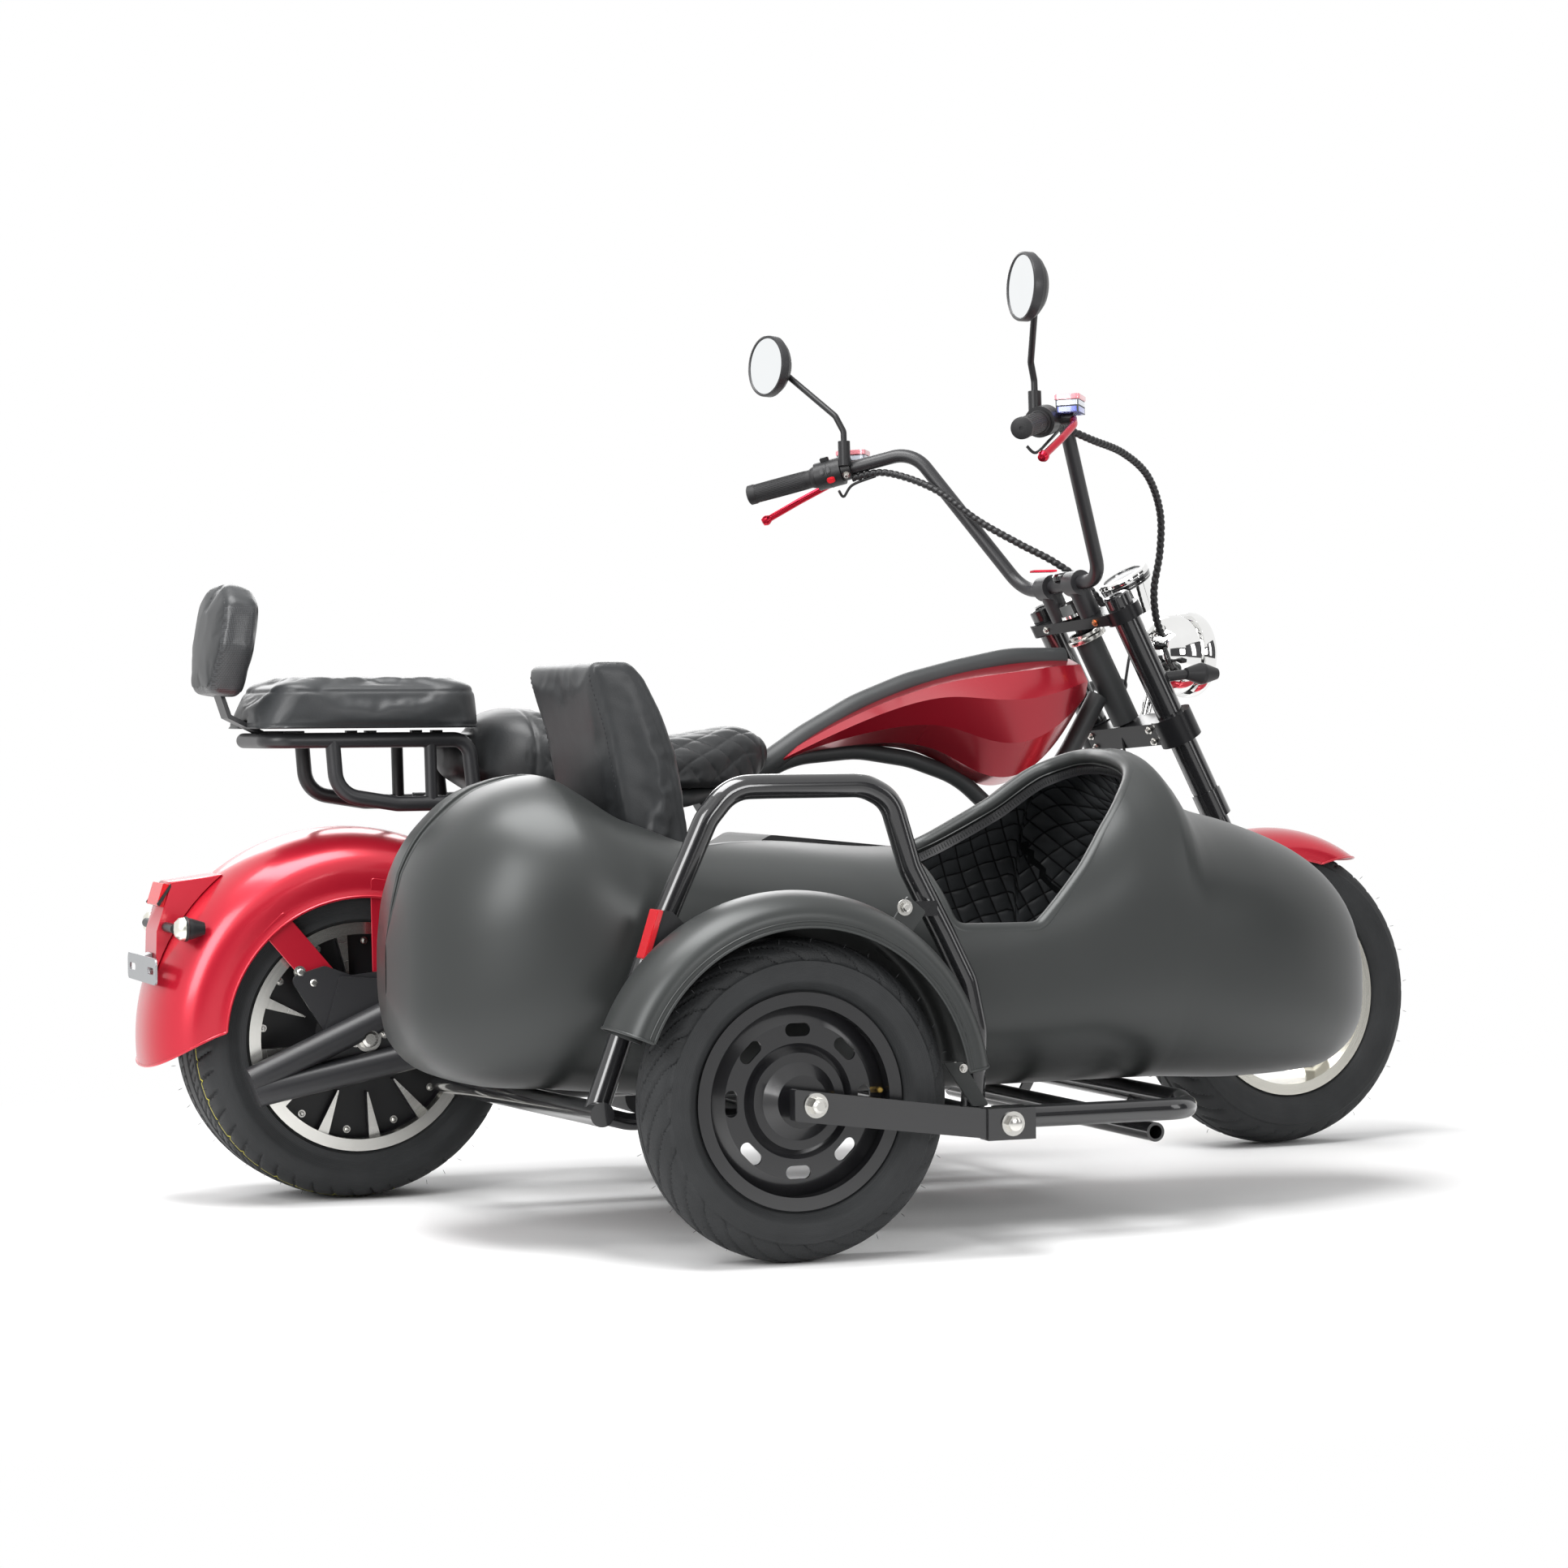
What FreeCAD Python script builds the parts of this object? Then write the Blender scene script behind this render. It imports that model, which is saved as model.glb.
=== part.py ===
import FreeCAD, Part
import math
import os
from FreeCAD import Vector as V

# Electric cruiser motorcycle with a sidecar on its right.
# Millimetres, +X forward, +Y left, +Z up. The drawing origin is the point where the rear tyre
# meets the floor, and each finished piece is moved so that the whole stands on the middle of its box.

BOX_MID_X = 745.7
BOX_MID_Y = -285.7

# Fits
FIT = 0.3

# Wheels
WHEELBASE = 1550.0
REAR_R = 239.0
REAR_W = 212.0
REAR_RIM_R = 166.0
REAR_RIM_W = 206.0
FRONT_R = 244.0
FRONT_W = 130.0
FRONT_RIM_R = 166.0
FRONT_RIM_W = 106.0
SIDE_X = 347.0
SIDE_Y = -913.0
SIDE_R = 208.0
SIDE_W = 90.0
SIDE_RIM_R = 139.5
SIDE_RIM_W = 62.0
RIM_WALL = 5.0
FLANGE = 12.0
AXLE_R = 8.0

# Steering
RAKE = 27.0
TRAIL = 90.0
PARKED_TURN = 7.16
PARKED_RAISE = 1.156
HEAD_LOW_Z = 688.0
HEAD_HIGH_Z = 824.0
HEAD_R = 22.0
STEM_R = 13.0
LEG_Y = 110.0
LEG_AHEAD = 12.0
LEG_R = 21.0
LEG_TOP_Z = 870.0
LEG_END_Z = 524.0
SLIDER_R = 16.0
CLAMP_H = 22.0

# Rear fender
FENDER_IN = REAR_W / 2 + 12
FENDER_WALL = 3.0
FENDER_OUT = FENDER_IN + FENDER_WALL

# Frame tubes
SPINE_R = 19.0
DOWN_R = 16.0
SPINE_BEND = 260.0
ARC_BEND = 160.0
DOWN_BEND = 200.0
ARC_R = 13.0
RAIL_R = 13.0
RAIL_Y = 90.0
SEAT_RAIL_Z = 575.0
BELLY_Y = 96.0

# Sidecar
TUB_NEAR = -790.0
TUB_FAR = -262.0
TUB_REAR = -80.0
TUB_NOSE = 1388.0
TUB_WALL = 9.0
SIDE_TUBE_R = 16.0
SIDE_TUBE_Z = 164.3
SIDE_TUBE_X = 640.0
TUB_BOTTOM = SIDE_TUBE_Z + SIDE_TUBE_R + FIT
SIDE_RAIL_R = 15.0
SIDE_CROSS_R = 12.5
OUT_RAIL_Y = -860.0
IN_RAIL_Y = -235.0
SIDE_RAIL_Z = 165.0
HOOP_R = 16.0
HOOP_Y = -824.0
ARM_Y = -985.0
PIVOT_X = 618.0
PIVOT_Z = 173.0

TUB_MID = (TUB_NEAR + TUB_FAR) / 2
SIDE_FENDER_R = 268.0
SIDE_FENDER_IN = SIDE_W / 2 + 14
SIDE_FENDER_WALL = 2.5
STRAP_FACE = -850.0


def unit(vector):
    """The same direction, one long."""
    result = V(vector)
    result.normalize()
    return result


def rod(start, end, radius):
    """A round bar between two points."""
    a, b = V(*start), V(*end)
    return Part.makeCylinder(radius, (b - a).Length, a, b - a)


def block(x0, x1, y0, y1, z0, z1):
    """A box between its limits."""
    return Part.makeBox(x1 - x0, y1 - y0, z1 - z0, V(x0, y0, z0))


def fuse(shapes):
    """One solid of several that meet."""
    shapes = list(shapes)
    return shapes[0].multiFuse(shapes[1:]) if len(shapes) > 1 else shapes[0]


def both_sides(shape):
    """The shape and its mirror image across the motorcycle's middle plane."""
    return [shape, shape.mirror(V(0, 0, 0), V(0, 1, 0))]


def rounded_wire(points, radius, closed=False):
    """Straight runs through the points, joined by tangent arcs of the radius."""
    points = [V(*p) for p in points]
    count = len(points)
    radii = radius if isinstance(radius, (list, tuple)) else [radius] * count
    corners = []
    for i, here in enumerate(points):
        if not closed and i in (0, count - 1):
            corners.append((here, None, here))
            continue
        back = points[i - 1] - here
        ahead = points[(i + 1) % count] - here
        half = back.getAngle(ahead) / 2
        reach = min(radii[i] / math.tan(half), 0.49 * back.Length, 0.49 * ahead.Length)
        if reach < 0.01 or half > math.radians(89.8):
            corners.append((here, None, here))
            continue
        bend = reach * math.tan(half)
        inward = unit(unit(back) + unit(ahead))
        middle = here + inward * (bend / math.sin(half) - bend)
        corners.append((here + unit(back) * reach, middle, here + unit(ahead) * reach))
    edges = []
    for i, (start, middle, end) in enumerate(corners):
        if middle is not None:
            edges.append(Part.Arc(start, middle, end).toShape())
        if closed or i < count - 1:
            following = corners[(i + 1) % count][0]
            if (following - end).Length > 0.001:
                edges.append(Part.LineSegment(end, following).toShape())
    return Part.Wire(edges)


def bent_tube(points, radius, bend):
    """A round tube, solid inside: straight runs and the bends between them."""
    pieces = []
    for edge in rounded_wire(points, bend).OrderedEdges:
        start, end = edge.firstVertex(True).Point, edge.lastVertex(True).Point
        if edge.Curve.TypeId == "Part::GeomLine":
            pieces.append(Part.makeCylinder(radius, (end - start).Length, start, end - start))
            continue
        centre = edge.Curve.Center
        spin = (start - centre).cross(end - centre)
        heading = spin.cross(start - centre)
        ring = Part.Face(Part.Wire([Part.makeCircle(radius, start, heading)]))
        turn = math.degrees((start - centre).getAngle(end - centre))
        pieces.append(ring.revolve(centre, spin, turn))
    return fuse(pieces)


def plate(points, thickness, plane="y", at=0.0, radius=0.0):
    """A flat plate: its outline lies across the named axis, from `at` on by the thickness."""
    spot = {"y": lambda u, v: (u, at, v), "x": lambda u, v: (at, u, v), "z": lambda u, v: (u, v, at)}[plane]
    push = {"y": V(0, thickness, 0), "x": V(thickness, 0, 0), "z": V(0, 0, thickness)}[plane]
    wire = rounded_wire([spot(u, v) for u, v in points], radius, closed=True)
    return Part.Face(wire).extrude(push)


def turned(profile, centre, radius=0.0, sweep=360.0, first=0.0):
    """A ring about the axle line through `centre`: the profile gives (distance, side) pairs.

    Angles run from straight ahead over the top.
    """
    cx, cy, cz = centre
    wire = rounded_wire([(cx + r, cy + y, cz) for r, y in profile], radius, closed=True)
    face = Part.Face(wire)
    face.rotate(V(*centre), V(0, -1, 0), first)
    return face.revolve(V(*centre), V(0, -1, 0), sweep)


def lathe(profile, foot, way):
    """A round body from (radius, height) pairs, standing on `foot` along `way`."""
    face = Part.Face(Part.makePolygon([V(r, 0, h) for r, h in profile + profile[:1]]))
    body = face.revolve(V(0, 0, 0), V(0, 0, 1), 360)
    up, way = V(0, 0, 1), V(*way)
    if way.getAngle(up) > 0.001:
        body.rotate(V(0, 0, 0), up.cross(way), math.degrees(up.getAngle(way)))
    body.translate(V(*foot))
    return body


def spline_section(points):
    """A closed smooth wire through the points."""
    curve = Part.BSplineCurve()
    curve.interpolate(Points=[V(*p) for p in points], PeriodicFlag=True)
    return Part.Wire([curve.toShape()])


def loft(wires):
    """A smooth solid through closed wires."""
    solid = Part.makeLoft(wires, True, False)
    return solid if solid.Volume > 0 else solid.reversed()


def axis_x(z):
    """How far ahead the steering axis is at a height."""
    return WHEELBASE + TRAIL - z * math.tan(math.radians(RAKE))


STEER_UP = V(-math.sin(math.radians(RAKE)), 0, math.cos(math.radians(RAKE)))
STEER_AHEAD = V(math.cos(math.radians(RAKE)), 0, math.sin(math.radians(RAKE)))
STEER_FOOT = V(WHEELBASE + TRAIL, 0, 0)


def on_steering(height, ahead, side):
    """A point in the fork's own directions: its height on the steering axis, ahead of it and left."""
    base = V(axis_x(height), 0, height)
    return base + STEER_AHEAD * ahead + V(0, side, 0)


def park(shape):
    """Turn a piece of the steering to where it stands parked."""
    shape.rotate(STEER_FOOT, STEER_UP, PARKED_TURN)
    shape.translate(STEER_UP * PARKED_RAISE)
    return shape


# Wheels

def tyre(centre, radius, width, rim_radius, rim_width):
    """A tyre, solid between its beads and its tread, with flat shoulders."""
    half = width / 2
    bead = rim_width / 2 - RIM_WALL - FIT
    wall = radius - rim_radius
    profile = [(rim_radius - FLANGE + FIT, -bead), (rim_radius, -bead), (rim_radius + wall * 0.3, -half),
               (radius - wall * 0.4, -half), (radius, -half * 0.55), (radius, half * 0.55),
               (radius - wall * 0.4, half), (rim_radius + wall * 0.3, half), (rim_radius, bead),
               (rim_radius - FLANGE + FIT, bead)]
    return turned(profile, centre)


def rim_barrel(centre, rim_radius, rim_width):
    """The barrel of a rim with its two flanges."""
    half = rim_width / 2
    seat = rim_radius - FLANGE
    profile = [(rim_radius, -half), (rim_radius, -half + RIM_WALL), (seat, -half + RIM_WALL),
               (seat, half - RIM_WALL), (rim_radius, half - RIM_WALL), (rim_radius, half),
               (seat - RIM_WALL, half), (seat - RIM_WALL, -half)]
    return turned(profile, centre)


REAR_HUB = (0.0, 0.0, REAR_R)
FRONT_HUB = (WHEELBASE, 0.0, FRONT_R)
SIDE_HUB = (SIDE_X, SIDE_Y, SIDE_R)
SPOKES = 12


def wedge_spoke(centre, angle, inner, outer, wide, y0, y1):
    """A raised spoke that widens outwards, on a wheel's face."""
    cx, _, cz = centre
    outline = [(cx + inner, cz - 1.0), (cx + outer, cz - wide / 2), (cx + outer, cz + wide / 2),
               (cx + inner, cz + 1.0)]
    spoke = plate(outline, y1 - y0, "y", y0)
    spoke.rotate(V(*centre), V(0, -1, 0), angle)
    return spoke


def rear_rim():
    """The rear rim with its hub motor: a recessed face, a domed cover and twelve wedge spokes."""
    seat = REAR_RIM_R - FLANGE - RIM_WALL
    half = REAR_RIM_W / 2
    face = 66.0
    motor = turned([(AXLE_R + FIT, -face - 14), (48, -face - 14), (60, -face), (seat + 1, -face),
                    (seat + 1, face), (60, face), (48, face + 14), (AXLE_R + FIT, face + 14)], REAR_HUB)
    pieces = [rim_barrel(REAR_HUB, REAR_RIM_R, REAR_RIM_W), motor]
    for i in range(SPOKES):
        angle = 9.0 + i * 360.0 / SPOKES
        for side in (-1, 1):
            low, high = sorted((side * (face - 1), side * (face + 16)))
            pieces.append(wedge_spoke(REAR_HUB, angle, 84.0, seat + 1, 17.0, low, high))
    disc = turned([(46, half - 14), (95, half - 14), (95, half - 10), (46, half - 10)], REAR_HUB)
    carrier = turned([(40, face + 10), (52, face + 10), (52, half - 9), (40, half - 9)], REAR_HUB)
    return fuse(pieces + [disc, carrier])


def front_rim():
    """The front rim: five broad spokes, a hub and the brake disc on its left."""
    seat = FRONT_RIM_R - FLANGE - RIM_WALL
    hub = turned([(AXLE_R + FIT, -46), (30, -46), (30, 46), (AXLE_R + FIT, 46)], FRONT_HUB)
    pieces = [rim_barrel(FRONT_HUB, FRONT_RIM_R, FRONT_RIM_W), hub]
    for i in range(5):
        spoke = block(24, seat + 1, -14, 14, -15, 15)
        spoke.rotate(V(0, 0, 0), V(0, -1, 0), 18 + i * 72)
        spoke.translate(V(*FRONT_HUB))
        pieces.append(spoke)
    disc = turned([(28, 58), (110, 58), (110, 62), (28, 62)], FRONT_HUB)
    boss = turned([(20, 40), (34, 40), (34, 60), (20, 60)], FRONT_HUB)
    return fuse(pieces + [disc, boss])


def sidecar_rim():
    """The pressed steel wheel: stepped disc, eight oval slots, groove and domed hub."""
    half = SIDE_RIM_W / 2
    seat = SIDE_RIM_R - FLANGE - RIM_WALL
    face = -half + 14
    wall = 4.0
    disc = turned([(AXLE_R + FIT, face - 20), (34, face - 20), (50, face - 8), (62, face - 8), (66, face),
                   (74, face - 4), (100, face - 4), (seat + 1, face + 6), (seat + 1, face + 6 + wall),
                   (100, face - 4 + wall), (74, face - 4 + wall), (66, face + wall), (60, face - 8 + wall),
                   (48, face - 8 + wall), (32, face + 20), (AXLE_R + FIT, face + 20)], SIDE_HUB)
    slot_mid = 91.0
    for i in range(8):
        slot = plate([(-17, -8.5), (17, -8.5), (17, 8.5), (-17, 8.5)], 40, "y", -20, radius=8.4)
        slot.translate(V(0, 0, slot_mid))
        slot.rotate(V(0, 0, 0), V(0, 1, 0), i * 45.0)
        slot.translate(V(SIDE_X, SIDE_Y + face, SIDE_R))
        disc = disc.cut(slot)
    hub = turned([(AXLE_R + FIT, face + 10), (30, face + 10), (30, half - 2), (AXLE_R + FIT, half - 2)],
                 SIDE_HUB)
    return fuse([rim_barrel(SIDE_HUB, SIDE_RIM_R, SIDE_RIM_W), disc, hub])


# Motorcycle frame

SPINE = [(1178, 0, 786), (1085, 0, 786), (995, 0, 768), (909, 0, 747), (822, 0, 714), (737, 0, 668),
         (660, 0, 618), (560, 0, 560)]
ARC = [(652, 0, 606), (716, 0, 636), (822, 0, 645), (911, 0, 631), (994, 0, 602), (1096, 0, 511)]
DOWN = [(1240, 0, 728), (1191, 0, 643), (1090, 0, 500), (985, 0, 300), (930, 0, 150)]
FLOOR_Z = 140.0
REAR_PIVOT = (372.0, 272.0)
SHOCK_EYE_R = 12.0
SHOCK_FOOT = (300.0, 394.0)
SHOCK_HEAD = (440.0, SEAT_RAIL_Z)
RAIL_CROSS_X = 154.0
RAIL_CROSS_R = 10.0
SHOCK_Y = 50.0
STAND_X = 470.0
STAND_Y = 134.0
STAND_PIN_R = 5.0
STAND_EYE = 14.0
ARM_HALF_Y = 142.5
ARM_R = 20.0
FLOOR_RAIL = [(930, 0, 150), (900, 70, FLOOR_Z), (840, BELLY_Y + RAIL_R, FLOOR_Z),
              (430, BELLY_Y + RAIL_R, FLOOR_Z), (380, BELLY_Y + RAIL_R, 200),
              (352, BELLY_Y + RAIL_R, 330), (420, RAIL_Y, SEAT_RAIL_Z)]
SEAT_RAIL = [(620, 0, 595), (560, 40, 585), (500, RAIL_Y, SEAT_RAIL_Z), (135, RAIL_Y, SEAT_RAIL_Z)]
FLOOR_BEND = 45.0
SEAT_BEND = 50.0


def frame():
    """The tube frame in one weldment, with the side stand's pin."""
    head = rod((axis_x(HEAD_LOW_Z), 0, HEAD_LOW_Z), (axis_x(HEAD_HIGH_Z), 0, HEAD_HIGH_Z), HEAD_R)
    pieces = [bent_tube(SPINE, SPINE_R, SPINE_BEND), bent_tube(ARC, ARC_R, ARC_BEND),
              bent_tube(DOWN, DOWN_R, DOWN_BEND), head]
    lug_face = ARM_HALF_Y - ARM_R - FIT
    lug = plate([(330, 240), (400, 240), (400, 310), (330, 310)], lug_face - BELLY_Y - 7, "y", BELLY_Y + 7,
                radius=14)
    pieces += both_sides(bent_tube(FLOOR_RAIL, RAIL_R, FLOOR_BEND))
    pieces += both_sides(bent_tube(SEAT_RAIL, RAIL_R, SEAT_BEND)) + both_sides(lug)
    cross = RAIL_Y + 4
    pieces.append(rod((SHOCK_HEAD[0], -cross, SHOCK_HEAD[1]), (SHOCK_HEAD[0], cross, SHOCK_HEAD[1]),
                      SHOCK_EYE_R))
    pieces.append(rod((RAIL_CROSS_X, -RAIL_Y, SEAT_RAIL_Z), (RAIL_CROSS_X, RAIL_Y, SEAT_RAIL_Z),
                      RAIL_CROSS_R))
    eye_end = STAND_Y + STAND_EYE / 2
    pieces.append(rod((STAND_X, BELLY_Y + RAIL_R, FLOOR_Z), (STAND_X, eye_end + 5, FLOOR_Z), STAND_PIN_R))
    pieces.append(rod((STAND_X, eye_end + 1, FLOOR_Z), (STAND_X, eye_end + 5, FLOOR_Z), STAND_PIN_R + 4))
    whole = fuse(pieces)
    bore = rod((axis_x(HEAD_LOW_Z - 5), 0, HEAD_LOW_Z - 5), (axis_x(HEAD_HIGH_Z + 5), 0, HEAD_HIGH_Z + 5),
               STEM_R + FIT)
    return whole.cut(bore)


TANK_SECTIONS = [(676, 628, 624, 617, 10), (730, 664, 654, 640, 38), (830, 715, 700, 651, 74),
                 (945, 756, 727, 633, 95), (1045, 779, 722, 588, 98), (1125, 788, 733, 622, 90),
                 (1190, 787, 750, 705, 66)]


def tank():
    """The almond-shaped tank between the spine and the lower arc, creased along its side."""
    wires = []
    for x, top, crease, low, half in TANK_SECTIONS:
        ring = [(x, 0, top), (x, half * 0.62, (top + crease) / 2 + (top - crease) * 0.22),
                (x, half, crease),
                (x, half * 0.86, (crease + low) / 2), (x, half * 0.45, low + (crease - low) * 0.1),
                (x, 0, low)]
        ring += [(x, -y, z) for x, y, z in reversed(ring[1:-1])]
        wires.append(rounded_wire(ring, 0, closed=True))
    solid = Part.makeLoft(wires, True, False)
    for route, radius, bend in ((SPINE, SPINE_R, SPINE_BEND), (ARC, ARC_R, ARC_BEND),
                                (DOWN, DOWN_R, DOWN_BEND)):
        solid = solid.cut(bent_tube(route, radius + FIT, bend))
    return max(solid.Solids, key=lambda s: s.Volume)


def battery_case():
    """The closed case low in the frame, ribbed along its sides."""
    case = plate([(405, 106), (840, 106), (905, 160), (985, 390), (1020, 480), (640, 520), (500, 440),
                  (405, 330)],
                 2 * (BELLY_Y - 0.5), "y", -(BELLY_Y - 0.5), radius=26)
    for z in (180, 240, 300):
        for y in (BELLY_Y - 4.5, -BELLY_Y - 0.5):
            case = case.cut(block(450, 880, y, y + 5, z, z + 10))
    case = case.cut(bent_tube(DOWN, DOWN_R + FIT, DOWN_BEND))
    for way in both_sides(bent_tube(FLOOR_RAIL, RAIL_R + FIT, FLOOR_BEND)):
        case = case.cut(way)
    return max(case.Solids, key=lambda solid: solid.Volume)


def footboards():
    """A board for each foot on two brackets from the floor rails."""
    inner = BELLY_Y + 2 * RAIL_R + FIT
    board = plate([(610, inner), (890, inner), (905, inner + 70), (880, inner + 100), (640, inner + 100),
                   (610, inner + 80)], 14, "z", 236, radius=18)
    brackets = [plate([(x, FLOOR_Z + RAIL_R * 0.2), (x + 30, FLOOR_Z + RAIL_R * 0.2), (x + 30, 236),
                       (x, 236)],
                      6, "y", inner) for x in (650, 830)]
    return both_sides(fuse([board] + brackets))


AXLE_PLATE = 8.0
NUT_R = 12.0
SPACER_R = 10.0
ARM_TIP_X = -168.0


def arm_line(x, upper):
    """The height of the swingarm's upper or lower tube at a place along the machine."""
    return 226 + (x + 80) * 0.443 if upper else 184 + (x + 80) * 0.196


def swingarm():
    """Two tubes a side that meet at the rear, with the axle plates between and a cross tube ahead."""
    pieces = []
    upper_x, lower_x = SHOCK_FOOT[0], REAR_PIVOT[0]
    tail_x = ARM_TIP_X - 40
    for side in (-1, 1):
        y = side * ARM_HALF_Y
        upper = rod((tail_x, y, arm_line(tail_x, True)), (upper_x, y, arm_line(upper_x, True)), ARM_R)
        lower = rod((tail_x, y, arm_line(tail_x, False)), (lower_x, y, arm_line(lower_x, False)), ARM_R)
        slash = plate([(-260, 120), (-150, 120), (-186, 215), (-260, 250)], 60, "y", y - 30)
        pieces.append(fuse([upper, lower]).cut(slash))
        inner, outer = sorted((side * (ARM_HALF_Y - 16), side * (ARM_HALF_Y - 16 + AXLE_PLATE)))
        pieces.append(plate([(-75, 205), (-40, 330), (60, 320), (90, 285), (110, 230)], outer - inner,
                            "y", inner,
                            radius=6))
        inner, outer = sorted((side * (FENDER_OUT + FIT), side * (ARM_HALF_Y - 15)))
        pieces.append(plate([(-62, 250), (-112, 330), (-60, 345), (-20, 330), (25, 335), (40, 280)],
                            outer - inner, "y", inner, radius=10))
    high_z = arm_line(upper_x, True)
    pieces.append(rod((upper_x, -ARM_HALF_Y, high_z), (upper_x, ARM_HALF_Y, high_z), 15))
    whole = fuse(pieces).cut(rod((0, -200, REAR_R), (0, 200, REAR_R), AXLE_R + FIT))
    inner = ARM_HALF_Y - 16
    for side in (-1, 1):
        whole = whole.cut(rod((0, side * (inner + AXLE_PLATE), REAR_R), (0, side * 200, REAR_R),
                              NUT_R + 0.5))
        whole = whole.cut(rod((0, side * 80, REAR_R), (0, side * inner, REAR_R), SPACER_R + 0.5))
    return whole


def spring_unit(foot, head, coil_r, turns):
    """A damper between two points with its coil drawn as ridges round the body."""
    a, b = V(*foot), V(*head)
    length = (b - a).Length
    low, high = 0.14 * length, 0.86 * length
    pitch = (high - low) / turns
    outline = [(0, 0), (coil_r * 0.5, 0), (coil_r * 0.5, low - 5), (coil_r, low - 5), (coil_r, low)]
    for i in range(turns):
        start = low + i * pitch
        outline += [(coil_r * 0.66, start + 0.02 * pitch), (coil_r * 0.95, start + 0.3 * pitch),
                    (coil_r * 0.95, start + 0.6 * pitch), (coil_r * 0.66, start + 0.9 * pitch)]
    outline += [(coil_r, high), (coil_r, high + 5), (coil_r * 0.5, high + 5), (coil_r * 0.5, length),
                (0, length)]
    return lathe(outline, foot, tuple(b - a))


def rear_shocks():
    """Two spring units from the swingarm's cross tube to the frame's."""
    units = []
    way = unit(V(SHOCK_HEAD[0] - SHOCK_FOOT[0], 0, SHOCK_HEAD[1] - arm_line(SHOCK_FOOT[0], True)))
    foot = V(SHOCK_FOOT[0], SHOCK_Y, arm_line(SHOCK_FOOT[0], True)) + way * (15 + FIT)
    head = V(SHOCK_HEAD[0], SHOCK_Y, SHOCK_HEAD[1]) - way * (SHOCK_EYE_R + FIT)
    units += both_sides(spring_unit(tuple(foot), tuple(head), 26, 8))
    return units


def rear_axle():
    """The axle with its nuts against the axle plates and a spacer each side of the hub."""
    seat = ARM_HALF_Y - 16 + AXLE_PLATE + FIT
    pieces = [rod((0, -seat - 16, REAR_R), (0, seat + 16, REAR_R), AXLE_R)]
    for side in (-1, 1):
        pieces.append(rod((0, side * seat, REAR_R), (0, side * (seat + 12), REAR_R), NUT_R))
        inner_face = ARM_HALF_Y - 16 - FIT
        pieces.append(rod((0, side * 86, REAR_R), (0, side * inner_face, REAR_R), SPACER_R))
    return fuse(pieces)


def side_section(x, half, low, high, count=20, power=2.6):
    """A closed section across the machine: a rounded box from low to high."""
    points = []
    middle, rise = (low + high) / 2, (high - low) / 2
    for i in range(count):
        angle = 2 * math.pi * i / count
        c, s = math.cos(angle), math.sin(angle)
        y = half * math.copysign(abs(c) ** (2 / power), c)
        z = middle + rise * math.copysign(abs(s) ** (2 / power), s)
        points.append((x, y, z))
    return spline_section(points)


SADDLE_STATIONS = [(146, 26, 630, 660), (152, 42, 616, 668), (166, 60, 604, 674), (186, 72, 592, 676),
                   (200, 90, 584, 686), (216, 112, 579, 703), (242, 134, 576, 713), (290, 148, 572, 706),
                   (350, 150, 572, 684), (450, 138, 572, 668), (545, 112, 574, 671), (606, 82, 580, 681),
                   (646, 58, 600, 676), (665, 32, 632, 656)]


def saddle():
    """The rider's saddle, raised at tail and nose, flat on the seat rails."""
    wires = [side_section(x, half, low, high) for x, half, low, high in SADDLE_STATIONS]
    solid = loft(wires)
    solid = solid.cut(block(100, 720, -200, 200, 500, SEAT_RAIL_Z + RAIL_R + FIT))
    for way in [bent_tube(SPINE, SPINE_R + FIT, SPINE_BEND)] + both_sides(bent_tube(SEAT_RAIL, RAIL_R + FIT, SEAT_BEND)):
        solid = solid.cut(way)
    return max(solid.Solids, key=lambda piece: piece.Volume)


RACK_Z = 668.0
RACK_R = 11.0
PAD_SEAT_Z = 682.0


def rack():
    """The luggage rack: a loop under the pad, two bent legs a side, and the backrest's stay."""
    loop = bent_tube([(20, RAIL_Y, RACK_Z), (-130, RAIL_Y, RACK_Z), (-130, -RAIL_Y, RACK_Z),
                      (20, -RAIL_Y, RACK_Z)],
                     RACK_R, 30)
    pieces = [loop]
    for y in (-RAIL_Y, RAIL_Y):
        pieces.append(bent_tube([(10, y, RACK_Z), (168, y, RACK_Z), (178, y, SEAT_RAIL_Z)], RACK_R, 26))
        pieces.append(bent_tube([(-36, y, RACK_Z), (-30, y, 590), (60, y, SEAT_RAIL_Z),
                                 (SEAT_RAIL[-1][0] - FIT, y, SEAT_RAIL_Z)], RACK_R, 40))
        pieces.append(rod((110, y, RACK_Z), (112, y, SEAT_RAIL_Z), RACK_R - 2))
    for x in (-90, 30, 130):
        pieces.append(rod((x, -RAIL_Y, RACK_Z), (x, RAIL_Y, RACK_Z), RACK_R - 2))
        for y in (-60, 48):
            pieces.append(block(x - 8, x + 8, y, y + 12, RACK_Z, PAD_SEAT_Z))
    stay = plate([(-190, 752), (-184, 752), (-168, 706), (-120, 682), (-60, 682), (-60, 676), (-122, 676),
                  (-173, 701)], 44, "y", -22)
    pieces.append(stay)
    whole = fuse(pieces)
    for way in both_sides(bent_tube(SEAT_RAIL, RAIL_R + FIT, SEAT_BEND)):
        whole = whole.cut(way)
    whole = whole.cut(rod((RAIL_CROSS_X, -RAIL_Y, SEAT_RAIL_Z), (RAIL_CROSS_X, RAIL_Y, SEAT_RAIL_Z),
                          RAIL_CROSS_R + FIT))
    return max(whole.Solids, key=lambda solid: solid.Volume)


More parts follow.
